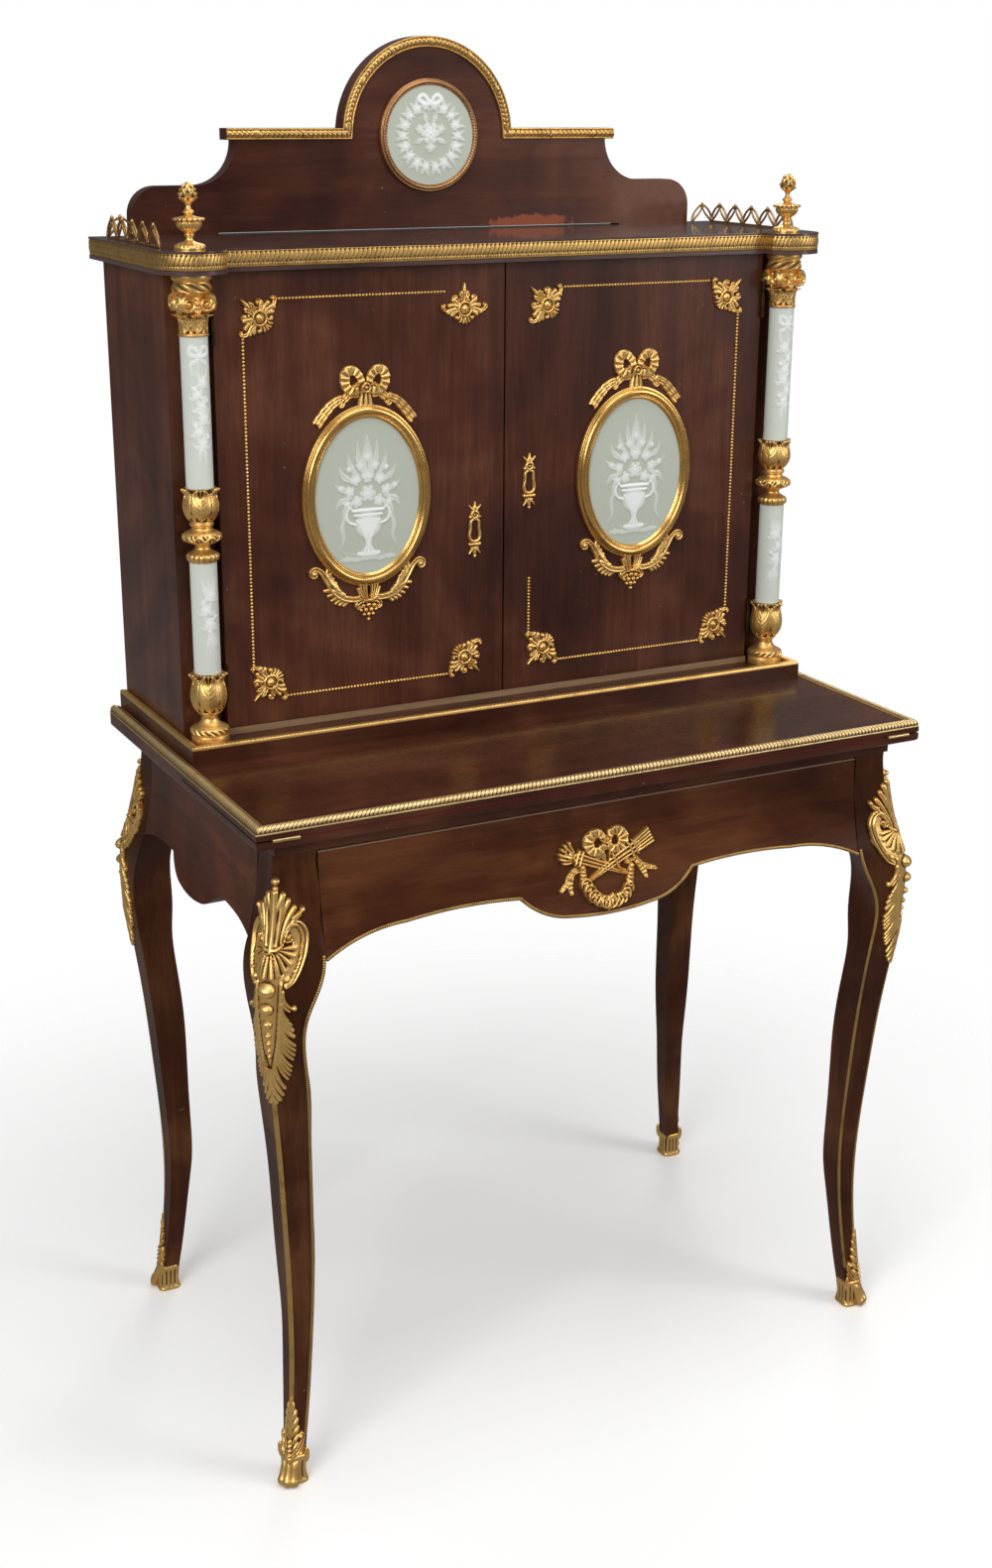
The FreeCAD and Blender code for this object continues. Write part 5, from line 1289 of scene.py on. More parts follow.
@dataclass
class TopMouldings:
    """Gilt edges of the writing top and the plinth: ovals between ropes, a zigzag between fillets."""

    half_width: float = 394.5
    front: float = -228.0
    seam: float = -18.0
    rear_front: float = -17.4
    rear: float = 228.0
    low: float = 747.0
    oval_period: float = 4.5
    rope_period: float = 2.8
    plinth_half: float = 381.5
    plinth_front: float = -16.0
    plinth_low: float = 768.5
    zigzag_period: float = 9.0

    def build(self, palette: Palette) -> None:
        """Make the leaf's edge, the rear edges and the plinth's edge.

        Args:
            palette: the shared finishes.
        """
        x = self.half_width
        leaf = self._edge([(-x, self.seam), (-x, self.front), (x, self.front), (x, self.seam)])
        emit("leaf_edge", leaf, "leaf", palette.pale, ("leaf_moulding",))
        left = self._edge([(-x, self.rear), (-x, self.rear_front)])
        emit("rear_edges", left.paired(), "desk", palette.pale, ("rear_top_moulding",))
        emit("plinth_edge", self._plinth(), "desk", palette.gilt, ("plinth_moulding",))

    def _edge(self, path: list[Spot]) -> Solid:
        """Carry the top edge's rounded section along a path, with its outer side on the right.

        Args:
            path: corners of the run.

        Returns:
            The solid.
        """
        face = bow_line((11, 752.3), (10.2, 753.6), (8, 754.4), (5.6, 755), (3.2, 754.4), (1.4, 752.6),
                        (0.5, 750.4), (0.1, 748.4), (0.1, self.low), count=19)
        return moulding(np.array(path), face, [(11.0, self.low)], self._ovals, 0.75)

    def _ovals(self, distance: Array, share: Array) -> Array:
        """Return the pattern: slanted eggs in the middle, a fine rope along each edge, grooves between.

        Args:
            distance: distance along the run.
            share: share across the face.

        Returns:
            Height of the pattern.
        """
        turn = distance / self.oval_period + (share - 0.5) * 1.3
        across = (turn % 1.0 - 0.5) / 0.46
        egg = dome(across**2 + ((share - 0.50) / 0.29)**2)
        rope = 0.30 + 0.30 * np.cos(TURN * (distance / self.rope_period + share * 3.0))
        edge = smooth(np.abs(share - 0.5), 0.34, 0.37)
        return (1.0 - edge) * (egg * 0.85 - 0.50) + edge * rope

    def _plinth(self) -> Solid:
        """Carry the plinth edge's flat section round three sides.

        Returns:
            The solid.
        """
        x, y, z = self.plinth_half, self.plinth_front, self.plinth_low
        face = bow_line((7.9, 0.3), (7.6, 2.6), (6.6, 3.3), (4, 3.5), (1.4, 3.3), (0.4, 2.4), (0.1, 0),
                        count=17)
        path = np.array([(-x, self.rear), (-x, y), (x, y), (x, self.rear)])
        return moulding(path, face + (0.0, z), [(7.9, z)], self._zigzag, 0.9)

    def _zigzag(self, distance: Array, share: Array) -> Array:
        """Return the pattern: two crossing triangle waves between plain fillets.

        Args:
            distance: distance along the run.
            share: share across the face.

        Returns:
            Height of the pattern.
        """
        wave = np.abs((distance / self.zigzag_period % 1.0) * 2.0 - 1.0) - 0.5
        up = (share - 0.47) / 0.44
        first, second = (np.exp(-((up + sign * wave) / 0.20)**2) for sign in (-1.0, 1.0))
        inside = 1.0 - smooth(np.abs(share - 0.47), 0.24, 0.29)
        return inside * (np.maximum(first, second) * 0.75 - 0.55)


@dataclass
class Cornice:
    """Gilt leaf band of the cornice, the finials and the pierced galleries."""

    side: float = 387.9
    rear: float = 228.0
    axis_x: float = 351.2
    axis_y: float = 13.0
    corner: float = 36.7
    step: float = 320.4
    front: float = 9.0
    band_low: float = 1250.0
    band_high: float = 1266.5
    leaf_period: float = 5.0
    top: float = 1268.5
    gallery_x: float = 374.9
    gallery_start: float = 34.0
    gallery_unit: float = 33.2
    gallery_count: int = 5
    gallery_return: float = 28.0
    gallery_rail: float = 1.4
    bar_points: int = 17

    def build(self, palette: Palette) -> None:
        """Make the band, the finials and the galleries.

        Args:
            palette: the shared finishes.
        """
        emit("cornice_leaves", self._band(), "desk", palette.aged, ("cornice_band",))
        emit("corner_finials", self._finial().paired(), "desk", palette.gilt, ("finials",))
        emit("side_galleries", self._gallery().paired(), "desk", palette.bronze, ("galleries",))

    def _band(self) -> Solid:
        """Carry the band's leaning section along sides, round corners and front.

        Returns:
            The solid.
        """
        dip = self.axis_y - math.sqrt(self.corner**2 - (self.axis_x - self.step)**2)
        last = math.atan2(dip - self.axis_y, self.axis_x - self.step)
        angle = np.linspace(math.pi, TURN + last, 44)
        arc = np.stack([-self.axis_x + self.corner * np.cos(angle),
                        self.axis_y + self.corner * np.sin(angle)], -1)
        left = np.vstack([[(-self.side, self.rear)], arc, [(-self.step, self.front)]])
        path = np.vstack([left, left[::-1] * (-1.0, 1.0)])
        low, high = self.band_low, self.band_high
        face = np.stack([0.9 - 0.9 * np.sin(np.linspace(0.0, math.pi, 21))**0.5,
                         np.linspace(high - 0.1, low + 0.1, 21)], -1)
        return moulding(path, face, [(2.4, low), (2.4, high)], self._leaves, 0.8)

    def _leaves(self, distance: Array, share: Array) -> Array:
        """Return the pattern: leaning ribbed leaves over a row of beads, between fillets.

        Args:
            distance: distance along the run.
            share: share across the face.

        Returns:
            Height of the pattern.
        """
        lean = distance / self.leaf_period + (share - 0.4) * 1.2
        across = (lean % 1.0 - 0.5) * 2.0
        up = (share - 0.40) / 0.32
        leaf = dome(across**2 + up**4)
        rib = np.exp(-(across / 0.20)**2) * (1.0 - smooth(np.abs(up), 0.6, 0.9))
        row = np.abs(np.sin(math.pi * distance / (self.leaf_period * 0.6)))
        beads = dome(((share - 0.84) / 0.10)**2) * row
        fillet = 1.0 - smooth(np.abs(np.abs(share - 0.5) - 0.46), 0.02, 0.05)
        return np.maximum(np.maximum(leaf - rib * 0.35, beads * 0.9), fillet * 0.8) * 0.9 - 0.60

    def _finial(self) -> Solid:
        """Turn the left finial: foot, gadrooned cup, beaded rim, neck and leafy bud.

        Returns:
            The solid.
        """
        outer = bow_line(
            (15, 0), (15.2, 1.6), (14.2, 3.6), (11, 5.4), (6.6, 6.8), (4.2, 8.4), (3.6, 11), (4.8, 12.6),
            (4.9, 14), (4.2, 15), (6.4, 16.6), (10.6, 20.6), (11.9, 24.4), (12, 26), (14.6, 27), (14.6, 29),
            (10.2, 30), (6, 31), (3.4, 32.2), (5.2, 33.8), (5.4, 35.4), (3.6, 37), (2.6, 39.4), (2.7, 42),
            (4.6, 44), (7.2, 46.6), (8.2, 49.6), (8, 52.6), (7, 55.6), (5.2, 58.8), (3.2, 61.2), (1, 62.6),
            count=160)

        def swell(angle: Array, height: Array) -> Array:
            """Gadroons on foot and cup, beads on the rim, rows of curling leaves on the bud.

            Args:
                angle: angle round the axis.
                height: height over the foot.

            Returns:
                Extra radius.
            """
            foot = 0.45 * np.cos(20 * angle) * between(height, 1.0, 2.6, 4.6, 6.4)
            cup = 0.8 * np.abs(np.cos(9 * angle)) * between(height, 16.0, 18.5, 24.5, 26.0)
            beads = 1.7 * (np.abs(np.cos(8.5 * angle))**0.7 - 0.5) * dome(((height - 28.0) / 1.9)**2)
            row = np.clip((height - 44.0) / 4.3, 0.0, 4.0)
            petal = np.abs(np.cos(2.5 * angle + math.pi / 2.0 * np.floor(row)))
            leaves = 1.7 * (row % 1.0)**1.3 * petal**0.7 + 1.3 * petal - 1.0
            return foot + cup + beads + leaves * between(height, 43.8, 45.0, 60.0, 61.8)

        return turned(bored(outer), (-self.axis_x, self.axis_y, self.top), 128, swell)

    def _gallery(self) -> Solid:
        """Bend thin bars into pointed arches with a leafy tip, along the side and back to the crest.

        Returns:
            The solid.
        """
        share = np.linspace(0.0, 1.0, self.bar_points)
        swelling = np.sin(math.pi * share)
        ends = [self.gallery_start + self.gallery_unit * k for k in range(self.gallery_count + 1)]
        runs = [((-self.gallery_x, low), (-self.gallery_x, high)) for low, high in zip(ends, ends[1:])]
        runs.append(((-self.gallery_x, ends[-1]), (-self.gallery_x + self.gallery_return, ends[-1])))
        bars = []
        for sign in (-1.0, 1.0):
            bars += [(sign * np.cos(share * 1.52)**0.6, 18.0 * share**0.95, 1.7 - 0.55 * share),
                     (sign * (1.0 - share)**1.7, 18.0 * share**0.95, 1.5 - 0.5 * share),
                     (sign * (0.06 + 0.24 * np.sin(2.4 * share)), 16.6 + 4.6 * share - 4.0 * share**3,
                      1.4 - 0.8 * share),
                     (sign * (1.0 - 0.10 * swelling), 5.0 * share, 0.7 + 1.7 * swelling)]
        bars += [(0.0 * share, 17.0 + 5.0 * share, 0.5 + 1.7 * swelling),
                 (2.0 * share - 1.0, 0.0 * share, 1.25 + 0.0 * share)]
        pieces = []
        for start, end in np.array(runs):
            middle, half = (start + end) / 2.0, (end - start) / 2.0
            for over, up, radius in bars:
                path = np.column_stack([middle + half * over[:, None], self.top + self.gallery_rail + up])
                pieces.append(tube(path, radius, 6))
        return joined(pieces)


@dataclass
class Crest:
    """Laurel moulding along the crest and the round porcelain plaque in its frame."""

    board: float = 208.0
    tip: float = 238.0
    shoulder: float = 1377.0
    middle: float = 1369.3
    arch: float = 104.0
    width: float = 12.0
    leaf_period: float = 5.4
    tie_period: float = 52.0
    ring: float = 60.0
    band: float = 7.0
    depth: float = 7.0
    plaque: float = 52.8

    def build(self, palette: Palette) -> None:
        """Make the moulding, the frame and the plaque.

        Args:
            palette: the shared finishes.
        """
        emit("crest_laurel", self._laurel(), "desk", palette.aged, ("crest_moulding",))
        emit("medallion_ring", self._ring(), "desk", palette.copper, ("medallion_frame",))
        emit("medallion_porcelain", self._wreath(), "desk", palette.porcelain, ("medallion_plaque",),
             "slip")

    def _laurel(self) -> Solid:
        """Carry the moulding from the right tip over the arch to the left tip.

        Returns:
            The solid.
        """
        start = math.asin((self.shoulder - self.middle) / self.arch)
        angle = np.linspace(start, math.pi - start, 90)
        arc = np.stack([self.arch * np.cos(angle), self.middle + self.arch * np.sin(angle)], -1)
        path = np.vstack([[(self.tip, self.shoulder)], arc, [(-self.tip, self.shoulder)]])
        face = bow_line((self.width - 0.1, 0.2), (11.6, 2.6), (10.6, 3), (9.6, 2), (8.2, 3.4), (6, 4),
                        (3.8, 3.4), (2.4, 2), (1.4, 3), (0.4, 2.6), (0.1, 0.2), count=25)
        return moulding(path, face, [], self._leaves, 0.9, upright(self.board))

    def _leaves(self, distance: Array, share: Array) -> Array:
        """Return the pattern: pairs of laurel leaves that overlap along the run, and a binding at times.

        Args:
            distance: distance along the run.
            share: share across the face.

        Returns:
            Height of the pattern.
        """
        across = np.abs(share - 0.5) / 0.24
        turn = distance / self.leaf_period - across * 0.55
        leaf = dome(((turn % 1.0 - 0.5) / 0.48)**2) * np.clip(1.2 - across, 0.0, 1.0)**0.5
        bound = np.abs(((distance / self.tie_period) % 1.0) - 0.5) < 0.045
        tie = 0.75 + 0.2 * np.cos(TURN * distance / 1.6)
        return np.where(across < 1.0, np.where(bound, tie, leaf * 0.85 - 0.40), 0.0)

    def _ring(self) -> Solid:
        """Turn the frame's ribbed ring and face it to the front.

        Returns:
            The solid.
        """
        r, b, d = self.ring, self.band, self.depth
        outer = bow_line((r, 0), (r, 2.8), (r - 0.8, 4.4), (r - 1.8, 4.2), (r - 2.6, 5.4), (r - 3.8, d),
                         (r - 5.2, 6.2), (r - 5.8, 5.2), (r - b, 5.4), (r - b, 0), count=36)

        def ribs(angle: Array, height: Array) -> Array:
            """Slanted ribs on the crown of the ring."""
            return 0.5 * np.cos(110 * angle + height * 2.0) * smooth(height, 4.6, 5.6)

        solid = turned(outer, (0.0, 0.0, 0.0), 450, ribs)
        return solid.mapped(lambda p: np.stack([p[:, 0], self.board - p[:, 2], self.middle + p[:, 1]], -1))

    def _wreath(self) -> Solid:
        """Lay a wreath of flowers and a bow in slip on the round plaque.

        Returns:
            The solid.
        """
        art = Relief((-54, -54), (54, 54), 0.9, mirror=True)
        for k, degrees in enumerate(np.linspace(-80.0, 80.0, 9)):
            turn = math.radians(degrees)
            spot = (33.0 * math.cos(turn), 33.0 * math.sin(turn) - 1.0)
            art.rosette(spot, 6.6 if k % 2 else 5.4, 2.2, 5, turn)
            for lean in (-0.5, 0.5):
                for reach, half, rise in ((12.0, 2.5, 1.9), (-9.0, 2.0, 1.8)):
                    end = (spot[0] + reach * math.cos(turn + lean), spot[1] + reach * math.sin(turn + lean))
                    art.strokes(((spot, end), 6, (0.6, half, 0.3), (rise, 1.0), GROOVED))
        for spot, radius, rise, petals in (((0, 2), 12, 2.4, 6), ((0, -13), 6, 1.8, 5),
                                           ((13, 6), 5.4, 1.8, 5)):
            art.rosette(spot, radius, rise, petals)
        art.strokes((((0, 34), (8, 42), (14, 38), (8, 33), (0, 33)), 32, (2.2, 2.6, 2), (2, 2), BAND),
                    (((8, -4), (20, -9)), 6, (0.8, 3.2, 0.3), (1.9, 1), GROOVED),
                    (((4, 12), (8, 25)), 6, (0.8, 3, 0.3), (1.9, 1), GROOVED))
        return plaque_solid(art, self.plaque, self.plaque, 5.0, facing(0.0, self.board, self.middle))


def plaque_solid(art: Relief, half_x: float, half_z: float, thickness: float, place: Place) -> Solid:
    """Make an oval porcelain plate with slip in thin relief.

    A square grid (s, t) is drawn in to the oval: x = a s sqrt(1 - t t / 2), z = b t sqrt(1 - s s / 2). The
    front stands at the thickness plus a share of the slip's height; the back is one flat face.

    Args:
        art: the slip drawing.
        half_x: half width.
        half_z: half height.
        thickness: thickness of the plate.
        place: base surface.

    Returns:
        The plate, with the slip's film as tint.
    """
    u, v, height = art.unfolded()
    count = int(round(2.0 * max(half_x, half_z) / art.pitch))
    s, t = np.meshgrid(np.linspace(-1.0, 1.0, count), np.linspace(-1.0, 1.0, count))
    x, z = half_x * s * np.sqrt(1.0 - t * t / 2.0), half_z * t * np.sqrt(1.0 - s * s / 2.0)
    column = np.clip((x - u[0, 0]) / art.pitch, 0, u.shape[1] - 1.001)
    row = np.clip((z - v[0, 0]) / art.pitch, 0, u.shape[0] - 1.001)
    i, j = row.astype(int), column.astype(int)
    a, b = row - i, column - j
    film = np.clip((1 - a) * (1 - b) * height[i, j] + a * (1 - b) * height[i + 1, j]
                   + (1 - a) * b * height[i, j + 1] + a * b * height[i + 1, j + 1], 0.0, None)
    front = place(x, z, thickness + film * 0.5).reshape(-1, 3)
    first = count * count
    index = np.arange(first).reshape(count, count)
    rim = np.concatenate([index[0, :-1], index[:-1, -1], index[-1, :0:-1], index[:0:-1, 0]])
    back = place(x.ravel()[rim], z.ravel()[rim], np.zeros(len(rim)))
    ring = np.arange(len(rim)) + first
    wall = np.stack([rim, np.roll(rim, -1), np.roll(ring, -1), ring], -1)
    faces = [np.concatenate([quads(count, count, False, False), wall[:, ::-1]]), ring[None]]
    tint = np.concatenate([np.clip(film.ravel() / 2.2, 0.0, 1.0), np.zeros(len(rim))])
    return Solid(np.concatenate([front, back]), faces, tint).outward()


@dataclass
class Columns:
    """The two corner columns: gilt bases, knops and capitals, and porcelain sleeves with slip garlands."""

    axis_x: float = 351.2
    axis_y: float = 13.0
    base_low: float = 768.5
    lower_low: float = 843.0
    knop_low: float = 960.0
    upper_low: float = 1036.0
    capital_low: float = 1186.0
    shaft: float = 14.0
    bore: float = 4.2
    sleeve_bore: float = 4.3
    slip_pitch: float = 0.62
    slip_half: float = 15.0

    def build(self, palette: Palette) -> None:
        """Make both columns, left and its mirror image.

        Args:
            palette: the shared finishes.
        """
        for name, solid, node in (("column_feet", self._base(), "column_bases"),
                                  ("column_waists", self._knop(), "column_knops"),
                                  ("column_heads", self._capital(), "column_capitals")):
            emit(name, solid.paired(), "desk", palette.gilt, (node,))
        for part, low, high, draw in (("lower", self.lower_low, self.knop_low, self._posy),
                                      ("upper", self.upper_low, self.capital_low, self._garland)):
            sleeve = self._sleeve(low, high - low, draw(high - low))
            emit(f"{part}_porcelain", sleeve.paired(), "desk", palette.sleeve, (f"column_{part}_sleeves",),
                 "slip")

    def _turned(self, outer: Array, low: float, around: int, swell: Swell) -> Solid:
        """Turn a bored part about the left column's axis, from a height up."""
        return turned(bored(outer, self.bore), (-self.axis_x, self.axis_y, low), around, swell)

    def _acanthus(self, low: float, high: float, count: int) -> Swell:
        """Return the swell of a cup of leaves.

        Leaves stand side by side round the cup; each has a midrib and fingers that fan up and out from it,
        with dark gaps between the leaves, and a tip that curls out at the rim.

        Args:
            low: where the leaves spring.
            high: the rim.
            count: leaves round the cup.

        Returns:
            Extra radius as a function of angle and height.
        """
        half, tall = math.pi * 17.0 / count, high - low
        art = Relief((0, 0), (half, tall), 0.3, mirror=True)
        for start, end, side, tip in ((0.0, 0.24, 0.36, 0.60), (0.14, 0.44, 0.58, 0.84),
                                      (0.36, 0.70, 0.82, 1.0)):
            inner = bow_line((0.5, start * tall), (0.5, end * tall), count=6)
            width = half * (0.92 if tip < 1.0 else 0.25)
            outer = bow_line((half * 0.97, side * tall), (width, tip * tall), count=6)
            art.comb(inner, outer, 3, 2.0, -0.10, 0.9)
        art.strokes((((half, 0), (half, 0.6 * tall)), 4, (2.2, half * 0.45, 0.8), (1.3, 1.4), GROOVED),
                    (((0, 0), (0, tall)), 4, (1.3, 1, 0.9), (2.4, 2.2)))
        leaves = wrapped(art, count, low)

        def swell(angle: Array, height: Array) -> Array:
            """Add the curl of the tips to the leaves.

            Args:
                angle: angle round the axis.
                height: height over the foot.

            Returns:
                Extra radius.
            """
            up = np.clip((height - low) / tall, 0.0, 1.0)
            tip = np.abs(np.cos(angle * count / 2.0 + math.pi / 2.0))
            below = 1.0 - smooth(height, high + 0.2, high + 0.6)
            curl = 2.4 * tip * smooth(up, 0.80, 1.0) * below
            return smooth(height, low - 0.6, low + 0.4) * below * (leaves(angle, height) - 0.9) + curl

        return swell

    def _base(self) -> Solid:
        """Turn the left base: drum, leafy torus, waist with a ring and acanthus cup.

        Returns:
            The solid.
        """
        outer = bow_line((19.6, 0), (19.8, 3), (19.6, 7.4), (18.4, 8.2), (19.6, 9.6), (20, 12.4),
                         (19.2, 15.4), (16.6, 17), (11.6, 20.2), (8.8, 24.8), (8.9, 27.6), (10.4, 30.2),
                         (12, 31.2), (12.4, 33), (15.2, 37.4), (17.6, 44), (18.2, 51), (17.2, 58.6),
                         (15.6, 65.4), (16, 70), (17.6, 73.2), (16.6, 74.5), (14.2, 73.8), count=136)
        leaves = self._acanthus(33.0, 74.0, 5)

        def swell(angle: Array, height: Array) -> Array:
            """Twisted leaves on the torus and upright leaves on the cup."""
            twist = 0.8 * np.cos(16 * angle + height * 0.9) * between(height, 9.0, 10.6, 14.4, 16.0)
            return twist + leaves(angle, height)

        screw = np.array([(0, -8, 26), (0, -9.6, 26)]) + (-self.axis_x, self.axis_y, self.base_low)
        return joined([self._turned(outer, self.base_low, 180, swell), tube(screw, np.array([1.5, 1.3]), 8)])

    def _knop(self) -> Solid:
        """Turn the left knop: leaf crown, neck, leafy torus, ringed waist and acanthus cup.

        Returns:
            The solid.
        """
        outer = bow_line((13.8, 0), (15.8, 2.4), (16.6, 6), (15.4, 8.6), (12, 10.6), (8.4, 13.2), (7.6, 16),
                         (9.6, 18.6), (14.4, 20.2), (18.4, 22.4), (19.8, 25.4), (19.2, 28.8), (15.6, 31.4),
                         (11.6, 33), (10.2, 35.4), (11.8, 37.4), (12.6, 39.4), (11.4, 41), (11.6, 42.6),
                         (14.2, 46), (17, 52.4), (17.6, 58.6), (16.6, 65), (15.6, 70), (17, 74.4), (16, 76),
                         (14.2, 75.2), count=136)
        leaves = self._acanthus(43.0, 75.4, 5)
        torus = 25.4

        def swell(angle: Array, height: Array) -> Array:
            """Upright leaves on the crown, wrapped leaves on the torus and the acanthus of the cup.

            Args:
                angle: angle round the axis.
                height: height over the foot.

            Returns:
                Extra radius.
            """
            crown = (np.abs(np.cos(8 * angle)) - 0.5) * between(height, 0.6, 2.0, 8.0, 9.6)
            sway = np.cos(9 * angle) * 2.6
            leaf = np.exp(-((height - torus + sway) / 2.4)**2)
            vine = np.exp(-((height - torus - sway) / 1.3)**2)
            vine = vine + 0.8 * np.cos(27 * angle + 0.8 * (height - torus)) * leaf
            wrap = (1.2 * vine - 0.4) * between(height, 20.0, 21.6, 29.4, 31.0)
            return crown + wrap + leaves(angle, height)

        return self._turned(outer, self.knop_low, 180, swell)

    def _capital(self) -> Solid:
        """Turn the left capital and set scrolled volutes on its four faces.

        Returns:
            The solid.
        """
        outer = bow_line((15, 0), (15.2, 2), (14, 3), (13.2, 5), (13.4, 12), (14.6, 17.6), (16.2, 20.4),
                         (14.2, 22.6), (13.6, 26), (14.4, 34), (16.4, 40), (18.6, 42.6), (18.9, 46),
                         (18.2, 50.4), (17.4, 52.4), (19.4, 54.2), (20, 57), (19.2, 59.8), (17.4, 60),
                         count=120)
        leaves = self._acanthus(3.6, 20.6, 6)

        def swell(angle: Array, height: Array) -> Array:
            """Upright leaves on the bell, a ring of leaf tips above it and a twisted band under the top.

            Args:
                angle: angle round the axis.
                height: height over the foot.

            Returns:
                Extra radius.
            """
            tips = 1.6 * np.abs(np.cos(5 * angle)) * np.clip(1.0 - ((height - 20.6) / 2.4)**2, 0.0, 1.0)
            twist = 0.9 * np.cos(8 * angle + height * 0.75) * between(height, 42.0, 43.6, 50.2, 52.0)
            return leaves(angle, height) + tips + twist

        scroll = spiral((9.2, 31.5), 8.3, 1.7, 100.0, -1.8, 46)
        path = np.stack([scroll[:, 0], np.full(len(scroll), -15.6), scroll[:, 1]], -1)
        volute = joined([tube(path, np.linspace(2.4, 1.2, len(scroll)), 8, 1.6, (0.0, 1.0, 0.0)),
                         domes(np.array([[9.2, -16.4, 31.5]]), 2.6, 3.0, 10, 4)])
        leaf = Relief((-6, 18), (6, 42), 0.6, mirror=True)
        leaf.leaf(bow_line((0, 20), (0, 30), (0, 41), count=10), 4.6, 2.4, 5.0)
        side = joined([volute.paired(), leaf.solid(lambda u, v, h: np.stack([u, -14.4 - h, v], -1))])
        pieces = [self._turned(outer, self.capital_low, 176, swell)]
        for cosine, sine in ((1, 0), (0, 1), (-1, 0), (0, -1)):
            pieces.append(side.mapped(lambda p, c=cosine, s=sine: np.stack([
                -self.axis_x + c * p[:, 0] - s * p[:, 1], self.axis_y + s * p[:, 0] + c * p[:, 1],
                self.capital_low + p[:, 2]], -1)))
        return joined(pieces)

    def _sleeve(self, low: float, length: float, art: Relief) -> Solid:
        """Wrap slip relief round the left shaft.

        A grid of angle and height: the radius is the shaft's plus a share of the slip's height, where the
        slip is drawn over arc length to both sides of the front; the shaft is closed through its bore.

        Args:
            low: height of its foot.
            length: its length.
            art: slip drawing over arc length and height.

        Returns:
            The sleeve, with the slip's film as tint.
        """
        u, v, height = art.unfolded()
        around, rows = 150, int(length / 0.8)
        level = np.linspace(0.0, length, rows)
        angle = np.linspace(-math.pi, math.pi, around, endpoint=False)
        column = np.clip(np.round((angle * self.shaft - u[0, 0]) / art.pitch), 0, u.shape[1] - 1).astype(int)
        row = np.clip(np.round((level - v[0, 0]) / art.pitch), 0, u.shape[0] - 1).astype(int)
        film = np.clip(height[row[:, None], column[None]], 0.0, None)
        film = np.where(np.abs(angle * self.shaft)[None] < abs(u[0, 0]) - 0.5, film, 0.0)
        radius = np.vstack([self.shaft - 0.02 + film * 0.4, np.full((2, around), self.sleeve_bore)])
        z = np.concatenate([level, [length, 0.0]])[:, None]
        points = np.stack([-self.axis_x + radius * np.sin(angle), self.axis_y - radius * np.cos(angle),
                           np.broadcast_to(low + z, radius.shape)], -1)
        tint = np.vstack([np.clip(film / 1.9, 0.0, 1.0), np.zeros((2, around))])
        return Solid(points.reshape(-1, 3), [quads(rows + 2, around, True, True)], tint.ravel()).outward()

    def _garland(self, length: float) -> Relief:
        """Draw a bow with a long garland of flowers and leaves under it.

        Args:
            length: length of the sleeve.

        Returns:
            The drawing.
        """
        art = Relief((-self.slip_half, 0), (self.slip_half, length), self.slip_pitch)
        top = length - 18.0
        for s in (-1.0, 1.0):
            art.strokes((((0, top), (s * 4, top + 7), (s * 9.5, top + 7), (s * 9, top + 1), (0, top)), 32,
                         (1.4, 2.4, 1.4), (1.6, 1.9), GROOVED),
                        (((0, top), (s * 4, top - 6), (s * 9, top - 9), (s * 8, top - 19)), 32, (1.2, 2, 1.2),
                         (1.6, 1.2), GROOVED))
        art.boss((0, top), 2.0, 2.2)
        art.strokes((((0, top), (-2, top - 14), (1, top - 24)), 14, (0.8, 0.7, 0.7), (1.2, 1)),
                    (((0, 46), (3, 34), (5, 22)), 8, (0.6, 2.4, 0.3), (1.6, 1), GROOVED),
                    (((0, 44), (-3, 34), (-4, 26)), 8, (0.6, 2.2, 0.3), (1.6, 1), GROOVED))
        self._flowers(art, np.linspace(length - 44.0, 46.0, 6), 6.4)
        return art

    def _posy(self, length: float) -> Relief:
        """Draw a standing posy of flowers with trailing stems.

        Args:
            length: length of the sleeve.

        Returns:
            The drawing.
        """
        art = Relief((-self.slip_half, 0), (self.slip_half, length), self.slip_pitch)
        for x, end in ((-4, -7), (0, -1), (3, 5), (5, 10)):
            art.strokes(
                (((x * 0.3, 60), (x * 0.6, 38), (end, 14)), 12, (0.8, 0.7, 0.4), (1.2, 0.9)),
                (((x * 0.5, 44), (x + 2, 36), (end + 3, 26)), 8, (0.4, 2.2, 0.3), (1.5, 1), GROOVED),
                (((x * 0.4, 78), (x * 1.3, 92), (x * 1.8, 104)), 8, (0.5, 2.6, 0.3), (1.7, 1), GROOVED))
        self._flowers(art, np.linspace(84.0, 54.0, 3), 7.4)
        return art

    def _flowers(self, art: Relief, levels: Array, radius: float) -> None:
        """Draw flowers in turn left and right of the middle, each with pointed leaves and a bud.

        Args:
            art: the relief to draw on.
            levels: heights of the flowers.
            radius: size of a flower.
        """
        for k, up in enumerate(levels.tolist()):
            x, size = ((2.6, 1.0), (-3.2, 0.85), (0.6, 0.92))[k % 3]
            for s in (-1.0, 1.0):
                art.strokes((((x, up), (x + s * 6, up - 5), (x + s * 11, up - 4 + 3 * (k % 2))), 8,
                             (0.6, 2.3, 0.3), (1.6, 0.9), GROOVED),
                            (((x, up), (x + s * 5, up + 6), (x + s * 7, up + 11)), 8, (0.6, 1.9, 0.3),
                             (1.5, 0.9), GROOVED))
            art.rosette((x, up), radius * size, 2.0, 5, 0.7 * k)
            art.boss((-x * 2.2, up - radius), 2.2, 1.7)


